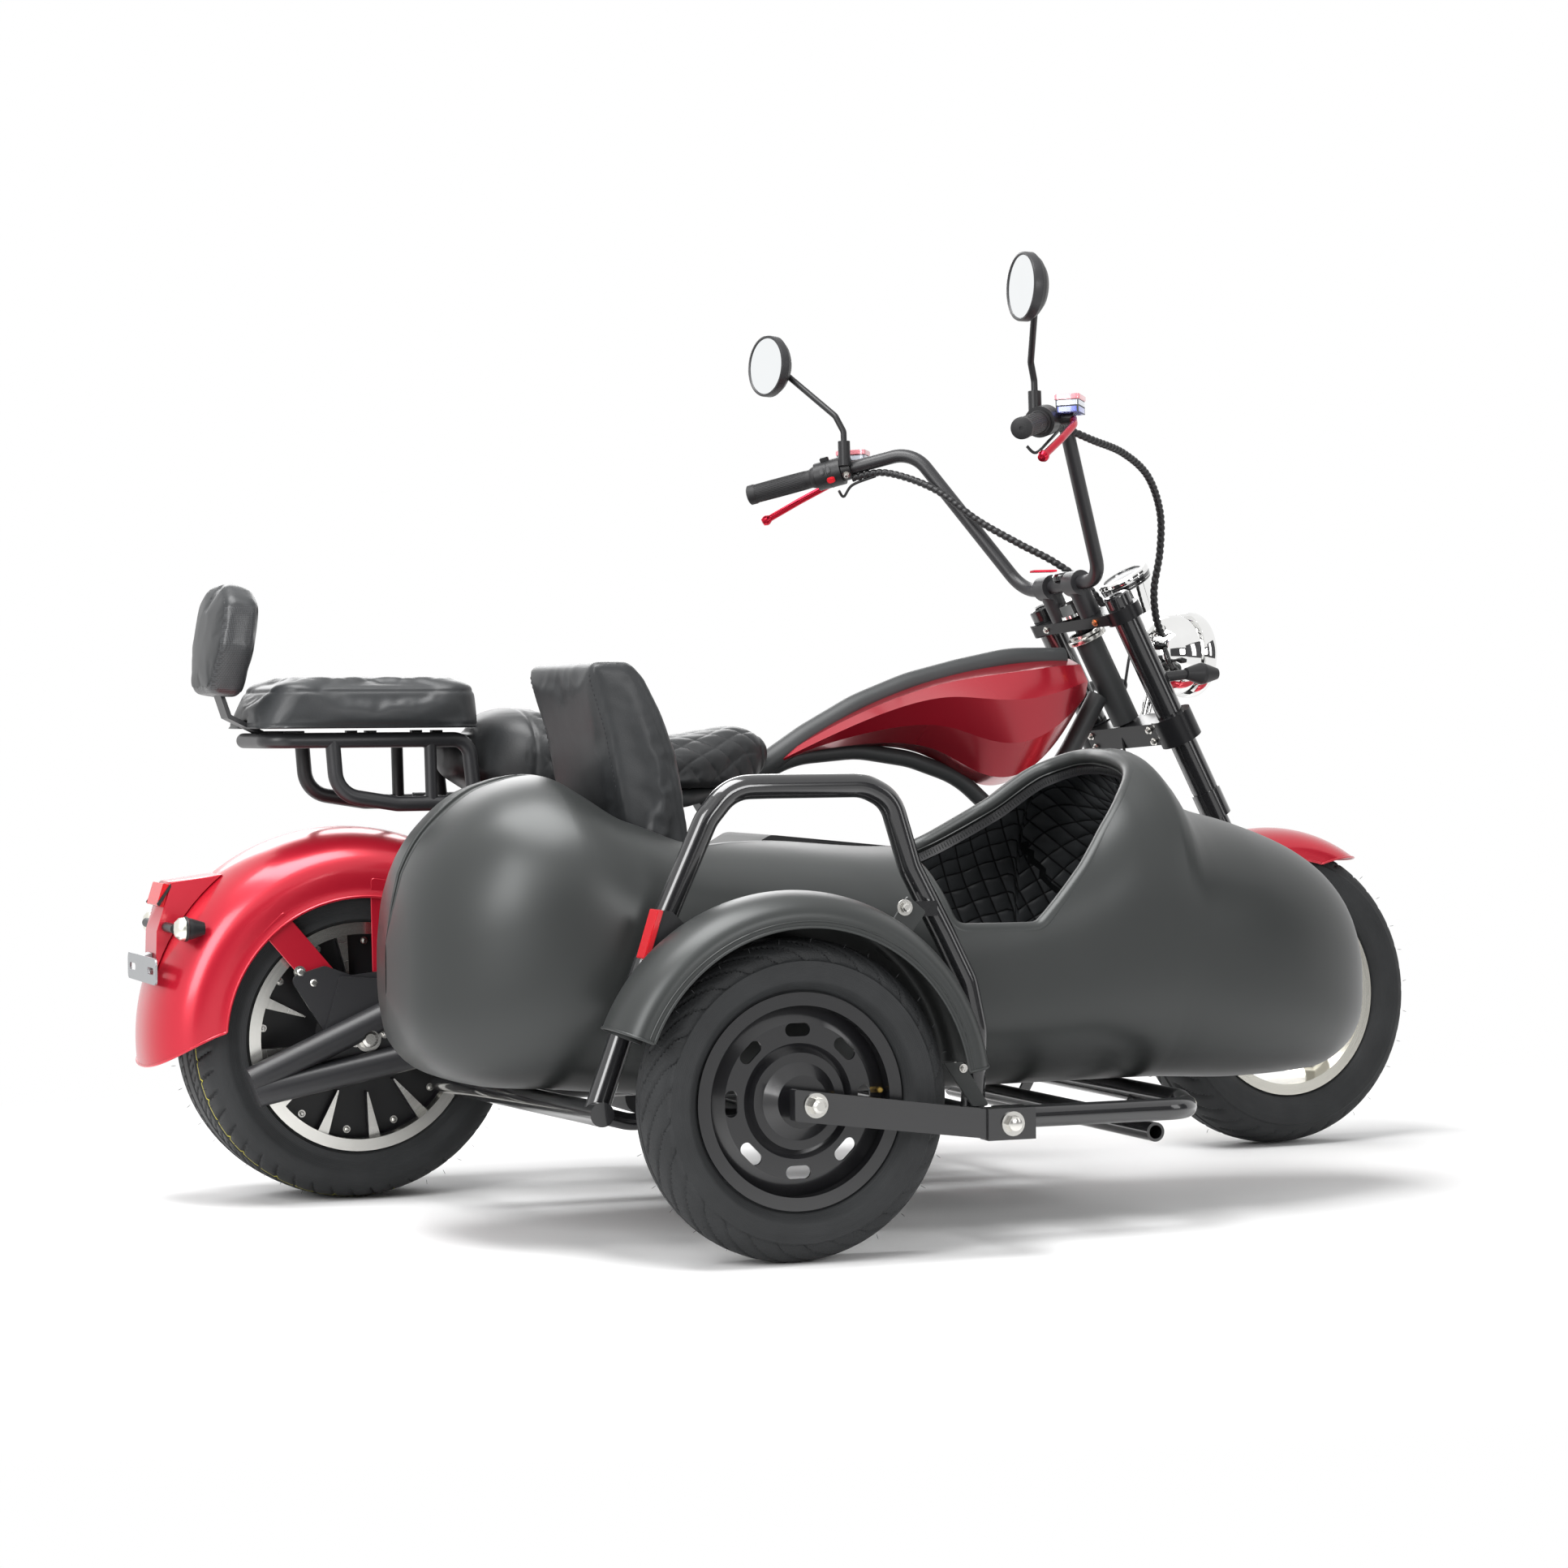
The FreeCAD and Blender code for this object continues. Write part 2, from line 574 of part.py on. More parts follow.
def rack_pad():
    """The passenger's pad on the rack, sloping at its rear end."""
    pad = plate([(-156, PAD_SEAT_Z + FIT), (190, PAD_SEAT_Z + FIT), (184, 756), (-122, 756)], 248, "y",
                -124)
    corners = [e for e in pad.Edges if e.BoundBox.ZLength > 50]
    pad = pad.makeFillet(50, corners)
    rims = [e for e in pad.Edges if e.BoundBox.ZMin > 755.9]
    notch = plate([(-120, PAD_SEAT_Z + FIT), (-168, 706 + FIT), (-180, 706), (-180, 660), (-120, 660)],
                  45, "y", -22.5)
    return pad.makeFillet(20, rims).cut(notch)


BACKREST_LEAN = 9.0
HOUSING_HALF = 38.0


def backrest_pad():
    """The passenger's backrest: a shield-shaped pad, leaning back."""
    outline = [(-62, 730), (62, 730), (100, 800), (92, 872), (50, 896), (-50, 896), (-92, 872), (-100, 800)]
    pad = plate(outline, 62, "x", -214, radius=30)
    rims = [e for e in pad.Edges if abs(e.CenterOfMass.x + 214) < 0.01 or abs(e.CenterOfMass.x + 152) < 0.01]
    pad = pad.makeFillet(20, rims)
    pad.rotate(V(-183, 0, 752), V(0, -1, 0), -BACKREST_LEAN)
    return pad.cut(rack())


def rear_fender():
    """The rear fender: an arched shell round the tyre with its tail housing and stays."""
    top, deep = 303.0, 204.0
    half = FENDER_IN + FENDER_WALL
    outer = [(deep, half), (deep + 34, half), (top - 16, half * 0.72), (top, half * 0.3),
             (top, -half * 0.3),
             (top - 16, -half * 0.72), (deep + 34, -half), (deep, -half)]
    t = FENDER_WALL
    inner = [(deep, -half + t), (deep + 33, -half + t), (top - 16 - t, -half * 0.71),
             (top - t, -half * 0.29),
             (top - t, half * 0.29), (top - 16 - t, half * 0.71), (deep + 33, half - t), (deep, half - t)]
    shell = turned(outer + inner, REAR_HUB, sweep=150.0, first=40.0)
    under = plate([(-120, 180), (-190, 262), (-330, 186), (-400, 100), (-120, 100)], 400, "y", -200)
    shell = shell.cut(under)
    housing = plate([(-130, 484), (-262, 466), (-284, 396), (-286, 330), (-268, 330)], 2 * HOUSING_HALF,
                    "y",
                    -HOUSING_HALF, radius=4)
    hollow = turned([(0, -200), (top - 1, -200), (top - 1, 200), (0, 200)], REAR_HUB)
    housing = housing.cut(hollow)
    pieces = [shell, housing]
    for side in (-1, 1):
        y0 = side * (half - t / 2) - t / 2
        pieces.append(plate([(-150, 395), (-118, 425), (-38, 330), (-66, 296)], t, "y", y0, radius=5))
        pieces.append(plate([(10, 470), (66, 462), (46, 330), (12, 330)], t, "y", y0, radius=5))
    return fuse(pieces)


def tail_lamp():
    """The tail lamp on the end of the fender's housing."""
    return plate([(-263.6, 462.1), (-273.6, 430.1), (-283.1, 433.1), (-273.1, 465.1)], 70, "y", -35,
                 radius=2)


LAMP_Y = 105.0


def rear_turn_lamps():
    """Two turn lamps on stems from the tail housing."""
    stem = rod((-270, HOUSING_HALF + FIT, 402), (-270, LAMP_Y - 8, 402), 7)
    lamp = lathe([(0, 0), (10, 2), (16, 8), (17, 16), (15, 26), (9, 44), (0, 44)], (-274, LAMP_Y, 402),
                 (1, 0, 0))
    return both_sides(fuse([lamp, stem]))


PLATE_SLOT = (40.0, 10.0)
PLATE_SLOT_Y = 62.0
PLATE_Z = 341.0
PLATE_X = -299.0


def plate_bracket():
    """The bare plate bracket with its two slots, on a neck from the tail housing."""
    panel = plate([(-96, PLATE_Z - 19), (96, PLATE_Z - 19), (96, PLATE_Z + 19), (-96, PLATE_Z + 19)], 3,
                  "x",
                  PLATE_X, radius=9)
    for side in (-1, 1):
        y, (length, high) = side * PLATE_SLOT_Y, PLATE_SLOT
        slot = plate([(y - length / 2, PLATE_Z - high / 2), (y + length / 2, PLATE_Z - high / 2),
                      (y + length / 2, PLATE_Z + high / 2), (y - length / 2, PLATE_Z + high / 2)], 9, "x",
                     PLATE_X - 3, radius=high / 2 - 0.05)
        panel = panel.cut(slot)
    neck = plate([(PLATE_X + 1, 336), (-286 - FIT, 340), (-286 - FIT, 364), (PLATE_X + 1, 360)], 30, "y",
                 -15)
    return fuse([panel, neck])


# Sidecar

def tub_half_width(x, inset):
    """Half the tub's width: full along its middle, rounded at tail and nose."""
    rear_len, nose_len = 330.0, 560.0
    half = (TUB_FAR - TUB_NEAR) / 2
    if x < TUB_REAR + rear_len:
        u = (TUB_REAR + rear_len - x) / (rear_len - inset)
        share = max(0.0, 1 - min(u, 1.0) ** 2.6) ** (1 / 2.2)
    elif x > TUB_NOSE - nose_len:
        u = (x - TUB_NOSE + nose_len) / (nose_len - inset)
        share = max(0.0, 1 - min(u, 1.0) ** 2.3) ** (1 / 2.0)
    else:
        share = 1.0
    return max((half - inset) * share, 3.0)


TUB_TOP = [(-80, 400), (-60, 492), (-10, 566), (50, 608), (116, 622), (200, 590), (300, 552), (450, 536),
           (600, 524), (750, 530), (850, 560), (930, 612), (985, 650), (1003, 634), (1030, 594),
           (1065, 570),
           (1150, 546), (1254, 506), (1330, 448), (1370, 372), (1388, 300)]
TUB_LOW = [(-80, 330), (-60, 256), (-10, 218), (60, 204), (116, 201), (200, 193), (300, 186), (450, 182),
           (600, TUB_BOTTOM), (1003, TUB_BOTTOM), (1150, 175), (1280, 180), (1340, 204), (1375, 240),
           (1388, 268)]


def along(table, x):
    """The height of a line of points at a place along the machine."""
    for (x0, z0), (x1, z1) in zip(table, table[1:]):
        if x <= x1:
            u = (x - x0) / (x1 - x0)
            return z0 + (z1 - z0) * u
    return table[-1][1]


LIP_X = 985
TUB_STATIONS = [-76, -66, -40, 0, 55, 116, 160, 200, 300, 450, 600, 750, 850, 930, LIP_X]
HOOD_STATIONS = [LIP_X, 1003, 1030, 1065, 1150, 1254, 1320, 1360, 1382]
SECTION_POINTS = 22


def tub_section(station, inset):
    """The tub's closed section across the machine, drawn in by the inset."""
    centre = (TUB_NOSE + TUB_REAR) / 2
    span = (TUB_NOSE - TUB_REAR) / 2
    x = centre + (station - centre) * (span - inset) / span
    half = tub_half_width(x, inset)
    high = along(TUB_TOP, station) - inset
    low = min(along(TUB_LOW, station) + inset, high - 6)
    middle, rise = (low + high) / 2, (high - low) / 2
    points = []
    for i in range(SECTION_POINTS):
        angle = 2 * math.pi * i / SECTION_POINTS
        c, s = math.cos(angle), math.sin(angle)
        power = 3.0 if s < 0 else 2.5
        points.append((x, TUB_MID + half * math.copysign(abs(c) ** (2 / power), c),
                       middle + rise * math.copysign(abs(s) ** (2 / power), s)))
    return spline_section(points)


def tub_body(inset):
    """The tub's outer form, or the same drawn in: the body up to the lip and the hood ahead of it."""
    halves = [loft([tub_section(station, inset) for station in row]) for row in (TUB_STATIONS, HOOD_STATIONS)]
    return fuse(halves)


COCKPIT = [(118, -570), (152, -700), (225, -746), (320, -752), (600, -752), (800, -746), (905, -700),
           (962, -600),
           (972, TUB_MID), (962, -452), (905, -352), (800, -306), (600, -300), (320, -300), (225, -306),
           (152, -352), (118, -482)]
DOOR = [(600, 700), (640, 470), (668, 410), (776, 408), (806, 440), (842, 520), (884, 612), (900, 700)]


def cockpit_cut(grow=0.0):
    """What the opening takes out of the tub, seen from above, with the low door on the near side."""
    points = []
    for x, y in COCKPIT:
        dx, dy = x - 560, y - TUB_MID
        length = math.hypot(dx, dy)
        points.append((x + grow * dx / length, y + grow * dy / length))
    well = plate(points, 400, "z", 420, radius=50)
    door = plate([(x, z - grow * 0.5) for x, z in DOOR], 260, "y", TUB_NEAR - 60, radius=26)
    return fuse([well, door])


def tub():
    """The sidecar's shell, hollow, with its opening and the low door, resting on the frame's tubes."""
    shell = tub_body(0.0).cut(tub_body(TUB_WALL)).cut(cockpit_cut())
    for x, z, radius in ((SIDE_TUBE_X, SIDE_TUBE_Z, SIDE_TUBE_R), (985, SIDE_RAIL_Z, SIDE_RAIL_R)):
        shell = shell.cut(rod((x, TUB_NEAR, z), (x, TUB_FAR, z), radius + FIT))
    return shell


LINING = 6.0
SEAT_X = 222.0
SEAT_TOP = 372.0


def lining():
    """The lining inside the tub, along the opening."""
    skin = tub_body(TUB_WALL + FIT).cut(tub_body(TUB_WALL + FIT + LINING)).cut(cockpit_cut())
    keep = block(SEAT_X - 8, 1240, TUB_NEAR, TUB_FAR, 0, 800)
    return skin.common(keep)


def sidecar_seat():
    """The cushion on the tub's floor, shaped to the lining under it."""
    pad = plate([(SEAT_X, TUB_MID - 196), (720, TUB_MID - 196), (720, TUB_MID + 196),
                 (SEAT_X, TUB_MID + 196)],
                SEAT_TOP - TUB_BOTTOM, "z", TUB_BOTTOM, radius=50)
    pad = pad.makeFillet(24, [e for e in pad.Edges if e.BoundBox.ZMin > SEAT_TOP - 0.1])
    return pad.common(tub_body(TUB_WALL + LINING + 2 * FIT))


def sidecar_backrest():
    """The tall backrest on the rear of the sidecar's seat, leaning back."""
    low = SEAT_TOP + FIT
    outline = [(158, 768), (168, 779), (220, 779), (240, 757), (264, 710), (285, 656), (299, 598),
               (310, 540),
               (344, low), (248, low), (205, 560), (182, 679)]
    pad = plate(outline, 290, "y", TUB_MID - 145, radius=12)
    rims = [e for e in pad.Edges if abs(abs(e.CenterOfMass.y - TUB_MID) - 145) < 0.01]
    return pad.makeFillet(12, rims)


REAR_TUBE_X = 112.0
REAR_TUBE = ((REAR_TUBE_X, -852, 193), (REAR_TUBE_X, -128, 172.3))
FRONT_TUBE_X = 956.0
FRONT_TUBE_Z = 120.0
FRONT_TUBE_R = 13.5
FRONT_TUBE_END = -742.0
FRONT_TUBE_BORE = 9.5
CLAMP_WALL = 5.5
RAIL_CLAMP_X = 520.0


def rear_tube_z(y):
    """The height of the sloping rear tube at a place across the machine."""
    (_, y0, z0), (_, y1, z1) = REAR_TUBE
    return z0 + (z1 - z0) * (y - y0) / (y1 - y0)


def down_ring(foot, height):
    """A clamp round the down tube, whose line between two of its corners the numbers give."""
    low, high = V(*DOWN[3]), V(*DOWN[2])
    if foot[2] < low.z:
        low, high = V(*DOWN[4]), V(*DOWN[3])
    way = unit(high - low)
    start = V(*foot) - way * (height / 2)
    ring = Part.makeCylinder(DOWN_R + FIT + CLAMP_WALL, height, start, way)
    return ring, Part.makeCylinder(DOWN_R + FIT, height + 80, start - way * 40, way)


def sidecar_frame():
    """The sidecar's own frame: rails, cross tubes, the arm's pivot stub and the struts to the motorcycle."""
    r, z = SIDE_RAIL_R, SIDE_RAIL_Z
    pieces = [bent_tube([(SIDE_TUBE_X, OUT_RAIL_Y, z), (945, OUT_RAIL_Y, z), (985, -760, z),
                         (985, IN_RAIL_Y, z),
                         (240, IN_RAIL_Y, z), (REAR_TUBE_X, IN_RAIL_Y, rear_tube_z(IN_RAIL_Y))], r, 50)]
    pieces.append(rod(REAR_TUBE[0], REAR_TUBE[1], SIDE_TUBE_R))
    pieces.append(rod((SIDE_TUBE_X, ARM_Y + 24, SIDE_TUBE_Z), (SIDE_TUBE_X, IN_RAIL_Y, SIDE_TUBE_Z),
                      SIDE_TUBE_R))
    for x, y in ((380, -700), (800, OUT_RAIL_Y)):
        pieces.append(rod((x, IN_RAIL_Y, z), (x, y, z), SIDE_CROSS_R))
    pieces.append(bent_tube([(REAR_TUBE_X, -700, rear_tube_z(-700)), (200, -700, z),
                             (SIDE_TUBE_X, -700, z)],
                            SIDE_CROSS_R - 1, 60))
    pieces.append(rod((FRONT_TUBE_X, FRONT_TUBE_END, FRONT_TUBE_Z), (FRONT_TUBE_X, -60, FRONT_TUBE_Z),
                      FRONT_TUBE_R))
    for y in (-640, -300):
        pieces.append(plate([(FRONT_TUBE_X - 8, FRONT_TUBE_Z), (FRONT_TUBE_X + 9, FRONT_TUBE_Z),
                             (990, z), (972, z)],
                            6, "y", y))
    pieces.append(block(PIVOT_X - 12, SIDE_TUBE_X + 10, ARM_Y + 20, ARM_Y + 27, PIVOT_Z - 20, PIVOT_Z + 20))
    high_ring, high_way = down_ring((1064, 0, 450), 40)
    low_ring, low_way = down_ring((950.2, 0, 205), 26)
    pieces += [high_ring, rod((985, IN_RAIL_Y, z), (1064, -14, 450), 11)]
    pieces += [low_ring, rod((FRONT_TUBE_X, -66, FRONT_TUBE_Z), (952, -14, 205), 8)]
    rail_y = -BELLY_Y - RAIL_R
    saddle_clamp = rod((RAIL_CLAMP_X - 18, rail_y, FLOOR_Z), (RAIL_CLAMP_X + 18, rail_y, FLOOR_Z),
                       RAIL_R + CLAMP_WALL)
    pieces.append(saddle_clamp.cut(block(400, 640, -BELLY_Y - 2, 0, 0, 400)))
    pieces.append(rod((RAIL_CLAMP_X, IN_RAIL_Y, z), (RAIL_CLAMP_X, rail_y - 10, FLOOR_Z), 11))
    whole = fuse(pieces)
    rail_way = rod((400, rail_y, FLOOR_Z), (640, rail_y, FLOOR_Z), RAIL_R + FIT)
    bore = rod((FRONT_TUBE_X, FRONT_TUBE_END - 1, FRONT_TUBE_Z),
               (FRONT_TUBE_X, FRONT_TUBE_END + 60, FRONT_TUBE_Z),
               FRONT_TUBE_BORE)
    for way in (high_way, low_way, rail_way, bore):
        whole = whole.cut(way)
    return whole


HOOP = [(REAR_TUBE_X, rear_tube_z(-824)), (181, 382), (266, 566), (300, 606), (352, 607), (486, 607),
        (524, 588),
        (552, 497), (600, 408), (632, 345), (SIDE_TUBE_X + 6, 280), (SIDE_TUBE_X, SIDE_TUBE_Z)]


def hoop():
    """The bent tube over the sidecar wheel, coped onto the tubes under it, with the fender's tab."""
    whole = fuse([bent_tube([(x, HOOP_Y, z) for x, z in HOOP], HOOP_R, 60),
                  block(545, 580, STRAP_FACE + FIT, HOOP_Y - 10, 434, 454)])
    whole = whole.cut(rod(REAR_TUBE[0], REAR_TUBE[1], SIDE_TUBE_R + FIT))
    return whole.cut(rod((SIDE_TUBE_X, -900, SIDE_TUBE_Z), (SIDE_TUBE_X, -700, SIDE_TUBE_Z),
                         SIDE_TUBE_R + FIT))


def side_fender_rim(grow):
    """The outer profile of the sidecar's fender, deeper on the side of the tub."""
    top, deep = SIDE_FENDER_R + grow, SIDE_FENDER_R - 44
    half = SIDE_FENDER_IN + SIDE_FENDER_WALL + grow
    return [(deep - 28, half), (deep + 18, half), (top - 6, half * 0.6), (top, 0), (top - 6, -half * 0.6),
            (deep + 18, -half), (deep, -half)]


def sidecar_fender():
    """The sidecar wheel's fender: a shallow arched shell with its two straps."""
    outer, t = side_fender_rim(0), SIDE_FENDER_WALL
    (low, half), top = outer[0], SIDE_FENDER_R
    deep = outer[-1][0]
    inner = [(deep, -half + t), (deep + 17, -half + t), (top - 6 - t, -half * 0.58), (top - t, 0),
             (top - 6 - t, half * 0.58), (deep + 17, half - t), (low, half - t)]
    shell = turned(outer + inner, SIDE_HUB, sweep=150.0, first=8.0)
    inside = SIDE_Y + half - t
    high_strap = plate([(488, 392), (512, 375), (562, 440), (536, 462)], STRAP_FACE - inside, "y", inside)
    low_strap = plate([(566, 268), (600, 262), (SIDE_TUBE_X + 12, TUB_BOTTOM),
                       (SIDE_TUBE_X - 12, TUB_BOTTOM)],
                      STRAP_FACE - inside, "y", inside)
    return fuse([shell, high_strap, low_strap])


def reflector():
    """The red reflector in its housing on the hoop's outer side."""
    body = plate([(170, 386), (190, 452), (203, 450), (228, 426), (204, 400)], 26, "y",
                 HOOP_Y - HOOP_R - FIT - 26,
                 radius=4)
    rim = side_fender_rim(FIT)
    return body.cut(turned([(0, rim[-1][1])] + [(0, rim[0][1])] + rim, SIDE_HUB))


def coil_outline(inner, outer, turns):
    """A short wound sleeve: its turns drawn as ridges."""
    gap = (ARM_Y + 20 - FIT) - (ARM_Y + 9 + 4)
    pitch = gap / turns
    outline = [(0, 0)]
    for i in range(turns):
        outline += [(inner + 2, i * pitch), (outer, (i + 0.3) * pitch), (outer, (i + 0.7) * pitch)]
    return outline + [(inner + 2, gap), (0, gap)]


def trailing_arm():
    """The wheel's trailing arm outside the wheel, with its clevis and stub axle."""
    y0, y1 = ARM_Y - 9, ARM_Y + 9
    beam = plate([(PIVOT_X - 30, PIVOT_Z + 19), (SIDE_X - 28, SIDE_R + 21), (SIDE_X - 28, SIDE_R - 19),
                  (PIVOT_X - 30, PIVOT_Z - 19)], 18, "y", y0, radius=3)
    clevis = block(PIVOT_X - 34, PIVOT_X + 33, y0 - 4, y1 + 4, PIVOT_Z - 21, PIVOT_Z + 20)
    pin = rod((PIVOT_X, y0 - 14, PIVOT_Z), (PIVOT_X, ARM_Y + 20 - FIT, PIVOT_Z), 9)
    stub = rod((SIDE_X, y0 - 14, SIDE_R), (SIDE_X, SIDE_Y + SIDE_RIM_W / 2 + 8, SIDE_R), AXLE_R)
    spacer = rod((SIDE_X, y1 - 1, SIDE_R), (SIDE_X, SIDE_Y - SIDE_RIM_W / 2 - 12, SIDE_R), 14)
    coil = lathe(coil_outline(9, 15, 5), (PIVOT_X, y1 + 4, PIVOT_Z), (0, 1, 0))
    return fuse([beam, clevis, pin, stub, spacer, coil])


# Steering

def fork_legs():
    """Two legs: a wide upper tube, the bright slider and the axle lug."""
    legs = []
    for side in (-1, 1):
        y = side * LEG_Y
        top = on_steering(LEG_TOP_Z, LEG_AHEAD, y)
        end = on_steering(LEG_END_Z, LEG_AHEAD, y)
        foot = on_steering(FRONT_R - 8, LEG_AHEAD, y)
        upper = rod(tuple(top), tuple(end), LEG_R)
        flare = rod(tuple(end + STEER_UP * 46), tuple(end), LEG_R + 2.5)
        slider = rod(tuple(end + STEER_UP * 10), tuple(foot), SLIDER_R)
        lug = plate([(WHEELBASE - 40, FRONT_R - 14), (WHEELBASE + 6, FRONT_R - 22),
                     (WHEELBASE + 22, FRONT_R),
                     (WHEELBASE + 6, FRONT_R + 22), (WHEELBASE - 44, FRONT_R + 60)], 2 * SLIDER_R, "y",
                    y - SLIDER_R, radius=9)
        legs.append(fuse([upper, flare, slider, lug]))
    bore = rod((WHEELBASE, -200, FRONT_R), (WHEELBASE, 200, FRONT_R), AXLE_R + FIT)
    return [leg.cut(bore) for leg in legs]


def clamp(height, thick, boss):
    """One fork clamp: a yoke across both legs with a boss round each."""
    low = []
    for side in (-1, 1):
        a = on_steering(height - thick / 2, LEG_AHEAD, side * LEG_Y)
        low.append(rod(tuple(a), tuple(a + STEER_UP * thick), boss))
    return fuse(low + [bridge(height, thick, 0)])


def bridge(height, thick, grow):
    """The bar of a clamp between the legs, or the room it needs."""
    bar = Part.makeBox(46 + 2 * grow, 2 * LEG_Y, thick * 0.8 + 2 * grow,
                       V(-23 - grow, -LEG_Y, -thick * 0.4 - grow))
    bar.rotate(V(0, 0, 0), V(0, 1, 0), -RAKE)
    bar.translate(V(axis_x(height), 0, height) + STEER_AHEAD * 4)
    return bar


UPPER_CLAMP_Z = 846.0
LOWER_CLAMP_Z = 668.0
LOWER_CLAMP_H = 46.0


def fork_clamps():
    """The upper and lower clamps with the steering stem between them."""
    upper = clamp(UPPER_CLAMP_Z, CLAMP_H, 29)
    lower = clamp(LOWER_CLAMP_Z, LOWER_CLAMP_H, 33)
    stem = rod((axis_x(660), 0, 660), (axis_x(862), 0, 862), STEM_R)
    nut = rod((axis_x(858), 0, 858), (axis_x(876), 0, 876), 19)
    whole = fuse([upper, lower, stem, nut])
    for side in (-1, 1):
        a = on_steering(900, LEG_AHEAD, side * LEG_Y)
        b = on_steering(600, LEG_AHEAD, side * LEG_Y)
        whole = whole.cut(rod(tuple(a), tuple(b), LEG_R + FIT))
    return whole


BAR_R = 11.0
BAR_LOW = (1178.0, 902.0)
BAR = [(1178, 0, 902), (1178, 112, 902), (1045, 228, 1140), (851, 422, 1087)]
BAR_BEND = 55.0
GRIP_LEN = 118.0
GRIP_R = 15.0
POD_AT = 158.0


def bar_way():
    """The direction of the left grip, outwards."""
    return unit(V(*BAR[3]) - V(*BAR[2]))


def handlebar():
    """The high handlebar with its two risers."""
    half = bent_tube(BAR, BAR_R, BAR_BEND)
    pieces = both_sides(half)
    for side in (-1, 1):
        top = V(BAR_LOW[0], side * 42, BAR_LOW[1])
        foot = on_steering(UPPER_CLAMP_Z + 4, -2, side * 42)
        way = unit(top - foot)
        side_pair = [Part.makeCylinder(17, (top - foot).Length, foot, way)]
        side_pair.append(rod((top.x, top.y - 15, top.z), (top.x, top.y + 15, top.z), 20))
        pieces += side_pair
    return fuse(pieces).cut(bridge(UPPER_CLAMP_Z, CLAMP_H, FIT))


def grips():
    """Two rubber grips on the bar's ends."""
    end = V(*BAR[3])
    way = bar_way()
    grip = Part.makeCylinder(GRIP_R, GRIP_LEN, end - way * (GRIP_LEN - 6), way)
    hollow = Part.makeCylinder(BAR_R + FIT, GRIP_LEN - 5, end - way * (GRIP_LEN - 6), way)
    return both_sides(grip.cut(hollow))


def bar_frame():
    """The left grip's end, its direction outwards and the level direction ahead of it."""
    way = bar_way()
    return V(*BAR[3]), way, unit(V(way.y, -way.x, 0))


def perch(grow):
    """The arm that carries the brake lever, or the room it needs."""
    end, way, ahead = bar_frame()
    return Part.makeCylinder(9 + grow, 42 + grow, end - way * (POD_AT + 8), ahead)


def pod(grow):
    """The left switch housing with its collar, reservoir and lever perch, or the room they need."""
    end, way, ahead = bar_frame()
    start = end - way * POD_AT
    housing = Part.makeCylinder(23 + grow, 44 + 2 * grow, start - way * grow, way)
    collar = Part.makeCylinder(18 + grow, 17 + grow, start - way * (16 + grow), way)
    cup = Part.makeBox(46 + 2 * grow, 34 + 2 * grow, 24 + 2 * grow, V(-23 - grow, -17 - grow, -grow))
    cup.rotate(V(0, 0, 0), V(0, 0, 1), math.degrees(math.atan2(way.y, way.x)))
    cup.translate(start - way * 8 + ahead * 36 + V(0, 0, 6))
    return fuse([housing, collar, cup, perch(grow)])


def switchgear():
    """Switch housings beside the grips, with the brake reservoirs ahead of them."""
    end, way, _ = bar_frame()
    bore = Part.makeCylinder(BAR_R + FIT, 200, end - way * (POD_AT + 60), way)
    return both_sides(pod(0).cut(bore))


def levers():
    """The two brake levers, curved along the grips from their perches."""
    end, way, ahead = bar_frame()
    root = end - way * POD_AT
    points = [(-8, 40, -1), (34, 50, -8), (90, 42, -24), (140, 28, -42)]
    route = [tuple(root + way * a + ahead * b + V(0, 0, c)) for a, b, c in points]
    outwards = unit(V(*route[-1]) - V(*route[-2]))
    knob = lathe([(0, 0), (6, 1), (8.5, 6), (8.5, 10), (6, 15), (0, 16)],
                 tuple(V(*route[-1]) - outwards * 3),
                 tuple(outwards))
    return both_sides(fuse([bent_tube(route, 5.5, 60), knob]).cut(pod(FIT)))


MIRROR_R = 50.0
MIRROR_C = (877.0, 401.0, 1297.0)


def mirrors():
    """Two round mirrors, domed behind, on bent stems from the lever clamps."""
    c = V(*MIRROR_C)
    facing = unit(V(-1, -0.12, 0.02))
    shell = lathe([(0, 0), (MIRROR_R, 0), (MIRROR_R, 12), (44, 20), (34, 28), (20, 34), (0, 36)],
                  tuple(c + facing * 6), tuple(-facing))
    stem = bent_tube([(954, 294, 1136), (954, 294, 1178), (944, 302, 1204), (900, 392, 1286)], 5.0, 14)
    boot = rod((954, 294, 1122), (954, 294, 1162), 10)
    bar = bent_tube(BAR, BAR_R + FIT, BAR_BEND)
    return both_sides(fuse([shell, stem, boot]).cut(pod(FIT)).cut(bar))


HEADLAMP_C = (1398.0, 793.0)
HEADLAMP_R = 64.0


def headlamp():
    """The headlamp bowl with its bracket to the lower clamp."""
    x, z = HEADLAMP_C
    bowl = Part.makeSphere(HEADLAMP_R, V(x - 12, 0, z))
    bowl = bowl.cut(block(x + 14, x + 90, -90, 90, z - 90, z + 90))
    ring = rod((x + 6, 0, z), (x + 22, 0, z), HEADLAMP_R + 3)
    neck = rod((x - 50, 0, z - 20), (x - 56, 0, z - 60), 11)
    foot = on_steering(LOWER_CLAMP_Z - 6, 20, 0)
    stay = rod((x - 55, 0, z - 52), tuple(foot), 9)
    return fuse([bowl, ring, neck, stay]).cut(bridge(LOWER_CLAMP_Z, LOWER_CLAMP_H, FIT))


